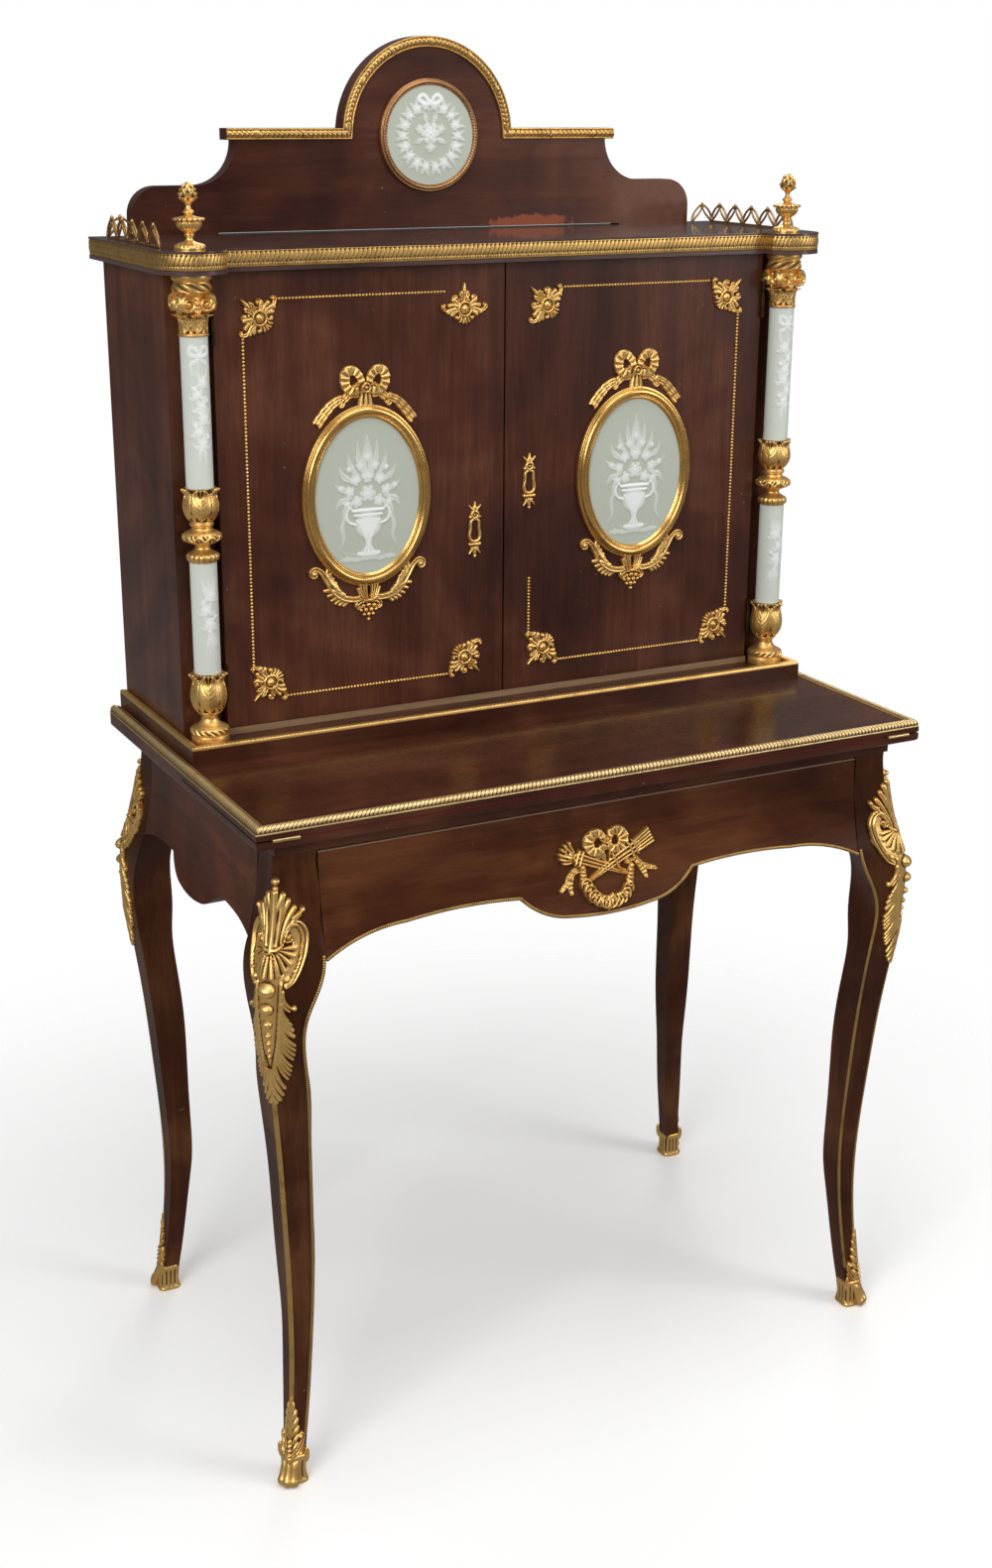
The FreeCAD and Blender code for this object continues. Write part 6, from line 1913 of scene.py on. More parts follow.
@dataclass
class DoorDress:
    """What a door wears: an oval plaque in a frame, bow and spray, corner mounts, beads and keyhole plate."""

    side: str
    sign: float
    bead_lines: tuple[tuple[float, float, float, float], ...]
    plate: Spot
    middle_x: float = 164.5
    middle_z: float = 1010.4
    front: float = 22.0
    half_x: float = 74.0
    half_z: float = 96.5
    plaque_x: float = 60.2
    plaque_z: float = 82.7
    plaque_thick: float = 4.2
    corner_x: float = 115.0
    corner_z: float = 189.1
    corner_scale: float = 0.9
    bead_pitch: float = 3.7
    bead_radius: float = 1.78

    def build(self, palette: Palette) -> None:
        """Make the frame, the plaque and the mounts.

        Args:
            palette: the shared finishes.
        """
        body = f"{self.side}_door"
        x = self.middle_x * self.sign
        place = facing(x, self.front, self.middle_z)
        emit(f"{self.side}_oval_frame", self._oval(x), body, palette.frame, (f"{self.side}_plaque_frame",))
        emit(f"{self.side}_bow_and_spray", joined([self._bow().solid(place), self._spray().solid(place)]),
             body, palette.gilt, (f"{self.side}_plaque_frame",))
        plaque = plaque_solid(self._urn(), self.plaque_x, self.plaque_z, self.plaque_thick,
                              facing(x, self.front, self.middle_z, self.sign))
        emit(f"{self.side}_oval_porcelain", plaque, body, palette.porcelain, (f"{self.side}_plaque",),
             "slip")
        emit(f"{self.side}_mounts", joined([*self._corners(x), self._keyhole_plate(), self._beads(x)]), body,
             palette.gilt, (f"{self.side}_door_mounts",))

    def _oval(self, x: float) -> Solid:
        """Carry a stepped ogee round the oval: each section point lies on the oval's inward normal.

        Args:
            x: middle of the door.

        Returns:
            The solid.
        """
        section = bow_line((0, 0), (0, 3.2), (0.7, 4.4), (2, 4.6), (2.7, 5.4), (3.2, 7.2), (5, 8.7), (7.2, 9),
                           (9, 8), (9.8, 6.6), (10.8, 6.3), (11.4, 7), (12.4, 6.8), (13.2, 5.4), (14.4, 4),
                           (14.5, 0), count=46)
        angle = circle(220)[None]
        nx, nz = np.cos(angle) / self.half_x, np.sin(angle) / self.half_z
        size = np.hypot(nx, nz)
        px = self.half_x * np.cos(angle) - section[:, :1] * nx / size
        pz = self.half_z * np.sin(angle) - section[:, :1] * nz / size
        points = np.stack([x + px, np.broadcast_to(self.front - section[:, 1:], px.shape),
                           self.middle_z + pz], -1)
        # Painted shade: the concave steps of the section get a tint that darkens them.
        sunk = np.broadcast_to(np.clip((blurred(section[:, 1:], 3) - section[:, 1:]) / 1.1, 0.0, 0.7),
                               px.shape)
        return Solid(points.reshape(-1, 3), [quads(*px.shape, True, True)], sunk.ravel()).outward()

    def _bow(self) -> Relief:
        """Draw the ribbon bow: pleated loops, a ringed knot, folded tails and a pleated drop.

        Returns:
            The drawing.
        """
        art = Relief((0, 72), (60, 142), 0.56, mirror=True)
        art.strokes(
            (((28, 103), (37, 98), (46, 89), (54, 79)), 24, (4.4, 5.8, 6), (4.4, 3.4), FLUTED, 4),
            (((10, 106), (17, 107), (24, 102), (27, 97)), 24, (3.4, 5, 4), (3.2, 3.4), FLUTED, 3),
            (((2.5, 115), (7, 126), (14.5, 131.5), (21.5, 128.5), (22.5, 118), (16, 110.5), (4, 111)), 48,
             (4, 6.4, 4.4), (4.8, 4.8), BAND, 11),
            (((2, 114), (8.5, 117), (13.5, 114), (16.5, 108)), 20, (2.4, 3.2, 2.6), (5.4, 4.6), FLUTED, 3),
            (((0, 109), (0, 102), (0, 94)), 12, (6, 8, 9.2), (4.6, 5.6), FLUTED))
        knot = (0, 114)
        art.boss(knot, 6.4, 5.2)
        art.ring(knot, 4.4, 1.3, 7.0, 30)
        art.boss(knot, 2.4, 6.8)
        art.pierce((14.2, 121.6), 3.6, 1.1)
        art.pierce((58.5, 74.5), 5.0)
        return art

    def _spray(self) -> Relief:
        """Draw the spray: scrolled leafy arms, a central palmette and a pendant of berries.

        Returns:
            The drawing.
        """
        art = Relief((0, -140), (70, -62), 0.56, mirror=True)
        art.combs((((6, -110), (24, -108), (38, -100)), 10,
                   ((26, -116.5), (40, -111), (52, -95)), 10, 6, 4.4, 0.12, 0.7),
                  (((26, -106), (46, -88)), 6, ((36, -92), (48, -73)), 6, 4, 4.2, -0.12, 0.7),
                  (((0, -113), (4.5, -112)), 4,
                   ((0, -86), (5.5, -88), (10.5, -94), (13, -102)), 12, 4, 6.6, -0.08, 0.85))
        arm = ((4, -108), (16, -110), (28, -107.5), (38, -100.5), (46, -89), (53, -78), (60, -73),
               (65.5, -75.5), (64.5, -80.5), (60.5, -80.5), (60, -77.5))
        art.strokes(
            (arm, 64, (3.8, 4.2, 2), (5.4, 4.6), GROOVED),
            (((2, -112), (9, -112.5), (14, -116.5), (11.5, -120.5), (8, -118)), 26, (2.8, 2.6, 1.8),
             (5.4, 4.8), GROOVED),
            (((0, -111.5), (5, -112.5)), 4, (2.2, 2.2, 2), (6.4, 6)))
        art.boss((61.6, -78), 2.6, 5.4)
        art.balls(1.6, 1.0, (0, -117.2, 3.2), (6.2, -118, 2.9), (3.2, -122.6, 3), (8.6, -123, 2.3),
                  (0, -127.6, 2.9), (5.2, -127.6, 2.4), (0, -133.2, 2.4))
        return art

    def _urn(self) -> Relief:
        """Draw an urn with a tall bouquet on a low mound, in slip.

        Returns:
            The drawing.
        """
        art = Relief((0, -84), (62, 84), 0.95, mirror=True)
        for x, y in ((4, -66), (14, -67), (24, -66)):
            art.boss((x, y), 9.0, 1.0, 0.35)
            art.strokes((((x, y + 1), (x + 3, y + 6), (x + 5, y + 11)), 6, (0.5, 0.9, 0.2), (1, 0.8)))
        for leaf in (((2, 20), (3, 42), (0, 66)), ((4, 20), (10, 40), (11, 60)),
                     ((8, 18), (19, 32), (22, 48)), ((12, 14), (27, 22), (33, 34)),
                     ((16, 6), (30, 9), (39, 16)), ((18, 0), (31, -4), (38, -14)),
                     ((16, -6), (26, -14), (29, -26))):
            art.strokes((leaf, 16, (0.8, 3.6, 0.3), (1.8, 1), GROOVED))
        art.strokes(
            (((0, -61), (12, -61)), 4, (3, 3, 2.4), (1.8, 1.6), BAND),
            (((0, -58), (0, -44)), 4, (7, 3.4, 5), (2, 2), FLUTED),
            (((0, -19.5), (16, -19.5)), 4, (1.6, 1.6, 1.4), (2, 2), BAND),
            (((0, -14.5), (17.5, -14.5)), 4, (2.2, 2.2, 1.8), (2.4, 2.2), BAND),
            (((15, -29), (22, -26), (25, -18), (21, -11), (17.5, -15)), 26, (1.7, 1.7, 1.2), (2, 1.8)),
            (((24, -18), (30, -30), (28.5, -44), (33, -55)), 20, (1.6, 2.8, 1), (1.6, 1), GROOVED))
        art.boss((0, -30), 16.0, 1.8, 0.95)
        art.combs((((0, -44), (5, -43)), 4, ((0, -24), (14.6, -25)), 4, 4, 2.2, 0.06, 0.9))
        for x, y, radius, petals in ((24, -7, 5, 5), (12.5, -5, 7, 5), (21, 6, 6.4, 5), (0, 3, 9.6, 6),
                                     (14, 18, 6.6, 5), (0, 22, 8, 5), (8.5, 33, 5.6, 5), (0, 42, 5.6, 5),
                                     (21, 30, 4, 5), (31, 10, 3.8, 5)):
            art.rosette((x, y), radius, 2.1, petals, 0.3 * x)
        return art

    def _corner(self) -> Relief:
        """Draw the corner mount: a boss in a ring, with scrolls and leafy fingers round it.

        Returns:
            The drawing.
        """
        art = Relief((0, -22), (32, 33), 0.54, mirror=True)
        art.boss((0, -1), 14.0, 3.0, 1.05)
        art.boss((0, -0.5), 9.4, 4.0)
        art.boss((0, 0), 5.0, 6.6, 1.2)
        art.combs((((7, 5), (8.4, 1), (7.6, -4)), 3,
                   ((11.5, 13), (19, 5), (21.5, -4.5), (12.5, -8.5)), 4, 4, 4.2, 0.10),
                  (((6.5, -5), (4, -8), (0, -9)), 3, ((11, -10), (6, -15), (0, -17)), 3, 3, 4.4, -0.10),
                  (((4, 6.5), (0, 8)), 2, ((7, 14), (4, 19.5), (0, 22)), 3, 3, 3.8, 0.08))
        art.strokes(
            (((8, 2), (14.5, -1.5), (21.5, -2.5), (27, 0), (28.4, 3.4), (26, 4.6)), 26, (3.4, 2.7, 1.7),
             (4.8, 4), GROOVED),
            (((8, 5.5), (13, 8), (14.4, 12.6), (11.4, 14.6), (9.6, 12.2)), 24, (2.6, 2.4, 1.5), (4.6, 4),
             GROOVED),
            (((0, 17), (0, 29.5)), 4, (1.8, 2.5, 0.9), (4.4, 3.6)))
        art.ring((0, -0.3), 8.0, 1.7, 5.4, 36, half=True)
        art.balls(2.2, 0.9, (11.2, 12.8, 2.4), (27, 2.6, 2.3), (20.8, -4.8, 2.6), (10.6, -10, 2.6),
                  (4.6, 18, 2.2))
        return art

    def _corners(self, x: float) -> list[Solid]:
        """Set the corner mount at each corner; the left door's inner top one hangs upright.

        Args:
            x: middle of the door.

        Returns:
            The solids.
        """
        art, scale, solids = self._corner(), self.corner_scale, []
        for across in (-1.0, 1.0):
            for up in (-1.0, 1.0):
                hangs = self.sign < 0 and across > 0 and up > 0
                place = facing(x + self.corner_x * across, self.front, self.middle_z + self.corner_z * up,
                               -across, 0.0 if hangs else 45.0 if up > 0 else 135.0)
                solids.append(art.solid(lambda u, v, h, place=place: place(scale * u, scale * v, h)))
        return solids

    def _keyhole_plate(self) -> Solid:
        """Draw the keyhole plate: a slotted surround, a ring above, a roll below and a bud at either end.

        Returns:
            The solid.
        """
        x, z = self.plate
        art = Relief((0, -33), (11, 33), 0.5, mirror=True)
        art.strokes(
            (((0, 12.6), (4.6, 10), (5.2, 2), (6.4, -6), (4.6, -11), (0, -12.6)), 30, (2, 1.9, 2),
             (3.6, 3.6)),
            (((0, -15.4), (5.6, -15.6)), 4, (2.3, 2.2, 2), (3.8, 3.6)),
            (((0, -19.4), (4, -19.4)), 4, (1.6, 1.6, 1.4), (3.4, 3.2)))
        art.ring((0, 17.2), 3.8, 1.9, 3.8, 20, half=True)
        for s, start in ((1, 21.5), (-1, 20)):
            art.strokes(
                (((0, s * start), (0, s * (start + 9.5))), 4, (1.8, 2.4, 0.9), (3.8, 3.2)),
                (((0, s * start), (3.8, s * (start + 2.4)), (7, s * (start + 6))), 10, (1.7, 1.8, 0.8),
                 (3.4, 2.8)))
        art.balls(2.4, 0.7, (0, 17.2, 1.6), (5.8, 14.6, 1.8), (5.9, -15.4, 2.4), (0, 25, 2.5),
                  (0, -28.6, 2.2))
        art.pierce((0, 0), 2.4, 3.6)
        return art.solid(facing(x, self.front, z))

    def _beads(self, x: float) -> Solid:
        """Set the bead lines that survive along the border.

        Args:
            x: middle of the door.

        Returns:
            The solid.
        """
        spots = []
        for x0, z0, x1, z1 in self.bead_lines:
            count = int(round(math.hypot(x1 - x0, z1 - z0) / self.bead_pitch)) + 1
            share = np.linspace(0.0, 1.0, count)
            spots.append(np.stack([x + x0 + (x1 - x0) * share, np.full(count, self.front),
                                   self.middle_z + z0 + (z1 - z0) * share], -1))
        return domes(np.vstack(spots), self.bead_radius, self.bead_radius * 1.1, 8, 3)


def beaded_wire(path: Array, distance: Array, side: Triple = (1.0, 0.0, 0.0)) -> Solid:
    """Bend a thin wire along a path, rippled by a cosine of the distance, with painted shade between its
    beads.

    Args:
        path: points of the line.
        distance: distance along the line.
        side: direction of the section's first axis.

    Returns:
        The solid.
    """
    ripple = np.cos(TURN * distance / WIRE_PERIOD)
    wire = tube(path, WIRE_RADIUS + 0.18 * ripple, WIRE_SIDES, 1.0, side)
    # Painted shade: the narrow waists between beads get a tint that darkens them.
    return Solid(wire.points, wire.faces, np.repeat(0.3 - 0.3 * ripple, WIRE_SIDES))


@dataclass
class LegDress:
    """Gilt on the legs: knee mounts, corner strips, edge trims and sabots, laid on the legs' own curves."""

    frieze_x: float = 369.0
    frieze_y: float = 208.0
    chamfer: float = 6.0
    top_width: float = 44.5
    heights: tuple[float, ...] = (8.6, 25.1, 80.2, 150.4, 229.2, 320.0, 410.3, 489.7, 549.9, 575.0, 600.0,
                                  629.0, 658.0, 687.0, 716.0)
    bulges: tuple[float, ...] = (8.74, 7.13, 2.76, -1.5, -1.15, 4.0, 10.6, 18.6, 23.0, 23.2, 19.5, 10.8, 4.8,
                                 1.2, 0.0)
    faces: tuple[float, ...] = (18.0, 18.0, 20.7, 24.0, 28.8, 33.1, 36.9, 40.1, 45.4, 56.7, 62.4, 54.8, 49.3,
                                45.7, 44.5)
    inners: tuple[float, ...] = (18.0, 18.0, 20.7, 24.0, 28.8, 33.1, 36.9, 40.1, 45.4, 46.0, 46.7, 46.7, 45.8,
                                 45.0, 44.5)
    mount_low: float = 463.0
    mount_pitch: float = 0.72
    rear_pitch: float = 1.1
    strip_low: float = 84.0
    strip_half: float = 3.1
    strip_period: float = 4.2
    trim_low: float = 54.0
    trim_high: float = 612.0

    def build(self, palette: Palette) -> None:
        """Make everything for the front left leg and mirror it to the other legs.

        Args:
            palette: the shared finishes.
        """
        fine, plain = (self._knee(pitch).solid(lambda u, v, h: self.corner(u, v + self.mount_low, h + 0.4))
                       for pitch in (self.mount_pitch, self.rear_pitch))
        sabot, strip, strips = self._sabot(), self._strip(), []
        for name, axes in (("front_left", ()), ("front_right", (0,)), ("back_left", (1,)),
                           ("back_right", (0, 1))):
            knee, shoe, line = plain if 1 in axes else fine, sabot, strip
            for axis in axes:
                knee, shoe, line = knee.mirrored(axis), shoe.mirrored(axis), line.mirrored(axis)
            emit(f"knee_{name}", knee, "desk", palette.gilt, ("knee_mounts",))
            emit(f"shoe_{name}", shoe, "desk", palette.gilt, (f"sabot_{name}",))
            strips.append(line)
        emit("leg_lines", joined([*strips, self._trim().paired()]), "desk", palette.aged, ("leg_trims",))

    def at(self, z: Array) -> tuple[Array, Array, Array]:
        """Return a leg's bulge, face width and inner width at heights.

        Args:
            z: heights over the floor.

        Returns:
            The three sizes.
        """
        knots = np.array(self.heights)
        z = np.clip(z, knots[0], knots[-1])
        return tuple(spline(knots, np.array(values), z) for values in (self.bulges, self.faces, self.inners))

    def corner(self, u: Array, z: Array, h: Array) -> Array:
        """Wrap a patch round the front left leg's outer corner.

        Across runs over the chamfer in the middle and on along the front face to one side and the side face
        to the other; height stands off along a direction that turns smoothly from one face to the other.

        Args:
            u: distance from the corner's ridge.
            z: height over the floor.
            h: distance off the surface.

        Returns:
            The points.
        """
        bulge, _, inner = self.at(z)
        chamfer = self.chamfer * inner / self.top_width
        half = chamfer * math.sqrt(0.5)
        over = np.clip(u / half, -1.0, 1.0)
        x = -self.frieze_x - bulge + chamfer * (1.0 + over) / 2.0 + np.clip(u - half, 0.0, None)
        y = -self.frieze_y - bulge + chamfer * (1.0 - over) / 2.0 + np.clip(-u - half, 0.0, None)
        turn = math.pi / 4.0 * (1.0 + np.clip(u / (half + 3.0), -1.0, 1.0))
        return np.stack([x - h * np.cos(turn), y - h * np.sin(turn), z], -1)

    def _knee(self, pitch: float) -> Relief:
        """Draw the knee mount: ball, plume, scrolls round a shell, beads in a channel between fronds.

        Args:
            pitch: distance between grid points.

        Returns:
            The drawing.
        """
        art = Relief((0, -4), (42, 234), pitch, mirror=True)
        for inner, outer in ((((13.5, 113), (11.5, 92)), ((18, 93), (24, 82), (25.5, 68))),
                             (((11.5, 92), (9, 72)), ((26, 64), (25, 53), (21.5, 44))),
                             (((9, 72), (6, 54)), ((21, 41), (19, 31), (14.5, 23))),
                             (((6, 54), (0.4, 42)), ((13, 19), (7.5, 5), (0.4, -2)))):
            art.combs((inner, 8, outer, 12, 4, 4.8, -0.10, 0.75))
        art.combs((((16, 124), (13.5, 114)), 6, ((27, 103), (21, 99)), 6, 2, 4.2, -0.14, 0.9))
        art.boss((27.6, 102), 3.2, 5.0)
        art.press(bow_line((0, 134), (0, 92), (0, 42), count=10), (13.5, 10.2, 2.4), 1.3)
        art.combs((((0, 158), (5, 159.5), (8, 164)), 6,
                   ((0, 136), (9, 138), (18, 144), (23.5, 154), (23, 165)), 24, 6, 4.8, 0.0, 0.85),
                  (((0, 164), (11, 169.5)), 6,
                   ((4, 216), (9.5, 211), (15, 203), (22, 196), (26, 189)), 16, 4, 5.4, 0.09, 0.9))
        art.strokes(
            (((13, 130), (12.6, 112), (10.2, 88), (7, 64), (2.4, 42)), 40, (2.1, 1.6, 1.1), (4.4, 3.4)),
            (((20, 178), (27.5, 168), (27, 148), (17, 132)), 20, (6, 11, 6), (2, 2), BAND),
            (((0, 160), (0, 190), (0, 217)), 8, (2.4, 3.4, 3), (6.4, 6.2)),
            (((3.2, 166), (5.2, 192), (6.2, 212)), 8, (2, 2.6, 2.2), (5.8, 5.4)),
            (((18, 190), (24, 193.5), (27.4, 197)), 6, (2.2, 2, 1.6), (5, 5)),
            (((0, 162), (5, 163), (9, 166.5)), 8, (2.6, 2.4, 1.8), (6.2, 5.2)))
        scroll = bow_line((15.6, 173.5), (17.6, 172), (16.6, 169.6), (13, 169.6), (10.6, 173), (11.6, 179),
                          (17, 184.2), (25, 183), (32, 173), (33.4, 158), (31, 143), (25.5, 131.5), (19, 127),
                          count=90)
        art.stroke(scroll, (1.9, 4.2, 3.4), (6.0, 4.6), GROOVED)
        art.stroke(scroll[30:] * (0.93, 1.0) + (-0.5, 0.0), (1.0, 1.4, 1.0), (5.6, 4.6))
        for x, up, radius, rise in ((14.6, 173, 2.4, 6.4), (19.2, 133.5, 3.4, 5.4), (26.2, 139.5, 1.7, 5),
                                    (27.4, 197, 3.2, 6), (0, 220.5, 2.9, 4.6), (0, 227.5, 3.9, 5.4)):
            art.boss((x, up), radius, rise)
        art.balls(1.6, 1.0, (0, 124.8, 7.4), (0, 105.3, 5.9), (0, 88.7, 4.2), (0, 76.2, 3), (0, 67.2, 2.6),
                  (0, 59.2, 2.2), (0, 52.6, 2))
        return art

    def _strip(self) -> Solid:
        """Lay the diagonally ribbed strip along the corner between sabot and knee mount.

        Returns:
            The solid.
        """
        half = self.strip_half
        art = Relief((-half - 0.3, self.strip_low), (half + 0.3, self.mount_low + 4.0), 0.85)
        ribs = 0.5 + 0.5 * np.cos(TURN * (art.v + 1.2 * art.u) / self.strip_period)
        art.height = np.where(np.abs(art.u) < half, dome((art.u / half)**2) * (0.8 + 0.9 * ribs), art.FLOOR)
        return art.solid(lambda u, v, h: self.corner(u, v, h + 0.3), 0.9)

    def _trim(self) -> Solid:
        """Bend a beaded wire down the inner edge of the front face.

        Returns:
            The solid.
        """
        z = np.arange(self.trim_low, self.trim_high, WIRE_STEP)
        bulge, face, _ = self.at(z)
        path = np.stack([-self.frieze_x - bulge + face - 2.0, -self.frieze_y - bulge - 0.4, z], -1)
        return beaded_wire(path, z)

    def _sabot(self) -> Solid:
        """Build the front left shoe: a fluted shell, a leaf up the corner, three claws and two ears.

        Returns:
            The solid.
        """
        bulge, _, inner = (float(value[0]) for value in self.at(np.array([12.0])))
        centre = np.array([-self.frieze_x - bulge + inner / 2.0, -self.frieze_y - bulge + inner / 2.0])
        art = Relief((0, 31), (16, 103), 0.5, mirror=True)
        art.leaf(bow_line((0, 34), (0, 66), (0, 101), count=12), 8.4, 5.4, 7.0)
        art.strokes(
            (((1.5, 34), (7.5, 41), (12.4, 51), (11.6, 58), (8.4, 57)), 24, (3.4, 2.9, 1.8), (5.4, 4.8),
             GROOVED),
            (((6.5, 33), (11, 37), (14, 44)), 14, (2.6, 2.6, 1.4), (4.6, 4), FLUTED))
        art.boss((9.4, 55.6), 2.4, 5.6)
        for up in (36.0, 41.5, 47.0, 52.5):
            art.boss((0, up), 2.2 - 0.02 * (up - 36.0), 6.8)
        leaf = art.solid(lambda u, v, h: self.corner(u, v, h + 0.4), 1.4)
        claws, ears = self._toes(centre)
        return joined([self._shell(centre), *claws, leaf, *ears])

    def _shell(self, centre: Array) -> Solid:
        """Turn the shoe's fluted shell and draw it out to the leg's rounded square.

        Args:
            centre: middle of the foot.

        Returns:
            The solid.
        """
        outer = bow_line((13.4, 0), (13.8, 2), (12.6, 5), (11.6, 9), (11.4, 16), (11.6, 24), (12.4, 29),
                         (12, 32), (10.6, 33.4), (8.4, 33.6), count=50)

        def flutes(angle: Array, height: Array) -> Array:
            """Upright flutes between a plain sole and a rolled rim."""
            return 0.7 * np.cos(14 * angle) * between(height, 4.0, 8.0, 26.0, 29.0)

        def squared(p: Array) -> Array:
            """Grow each radius to a rounded square and lean the shell out towards its foot.

            Args:
                p: points of the round shell.

            Returns:
                The moved points.
            """
            radius = np.maximum(np.hypot(p[:, 0], p[:, 1]), 1e-6)[:, None]
            grow = (np.abs(p[:, :2] / radius)**4).sum(axis=1)**-0.25
            lean = 1.0 - p[:, 2] / 34.0
            return np.column_stack([centre + p[:, :2] * grow[:, None] - lean[:, None], p[:, 2]])

        return turned(bored(outer), (0.0, 0.0, 0.0), 112, flutes).mapped(squared)

    def _toes(self, centre: Array) -> tuple[list[Solid], list[Solid]]:
        """Bend the shoe's three claws, which end in round tips, and its two ears.

        Args:
            centre: middle of the foot.

        Returns:
            The claws and the ears.
        """
        share = np.linspace(0.0, 1.0, 16)
        ahead, aside = np.array([-1.0, -1.0]) / math.sqrt(2.0), np.array([-1.0, 1.0]) / math.sqrt(2.0)
        claws, ears = [], []
        for lane, reach, radius in ((-7.4, 21.0, 5.4), (0.0, 23.5, 6.0), (7.4, 21.0, 5.4)):
            run = 8.0 + (reach - 8.0) * share
            side = aside[None] * lane * (0.7 + 0.3 * share)[:, None]
            spot = centre[None] + ahead[None] * run[:, None] + side
            lift = 26.0 - 20.0 * smooth(share, 0.0, 0.75)
            tip = np.sqrt(np.clip(1.0 - np.clip((share - 0.72) / 0.30, 0.0, 1.0)**2, 0.02, 1.0))
            claw = radius * tip * (0.80 + 0.20 * smooth(share, 0.3, 0.7))
            path = np.column_stack([spot, np.maximum(lift, claw + 0.05)])
            claws.append(tube(path, claw, 14, 1.0, (*aside, 0.0)))
        ear = 3.6 * np.sqrt(np.clip(1.0 - (2.0 * share - 1.0)**2, 0.03, 1.0))
        for way in ((1.0, -1.0), (-1.0, 1.0)):
            spine = np.column_stack([centre + np.outer(9.8 + 1.2 * share, way), 22.0 + 20.0 * share])
            ears.append(tube(spine, ear, 12, 0.7, (1.0, 1.0, 0.0)))
        return claws, ears


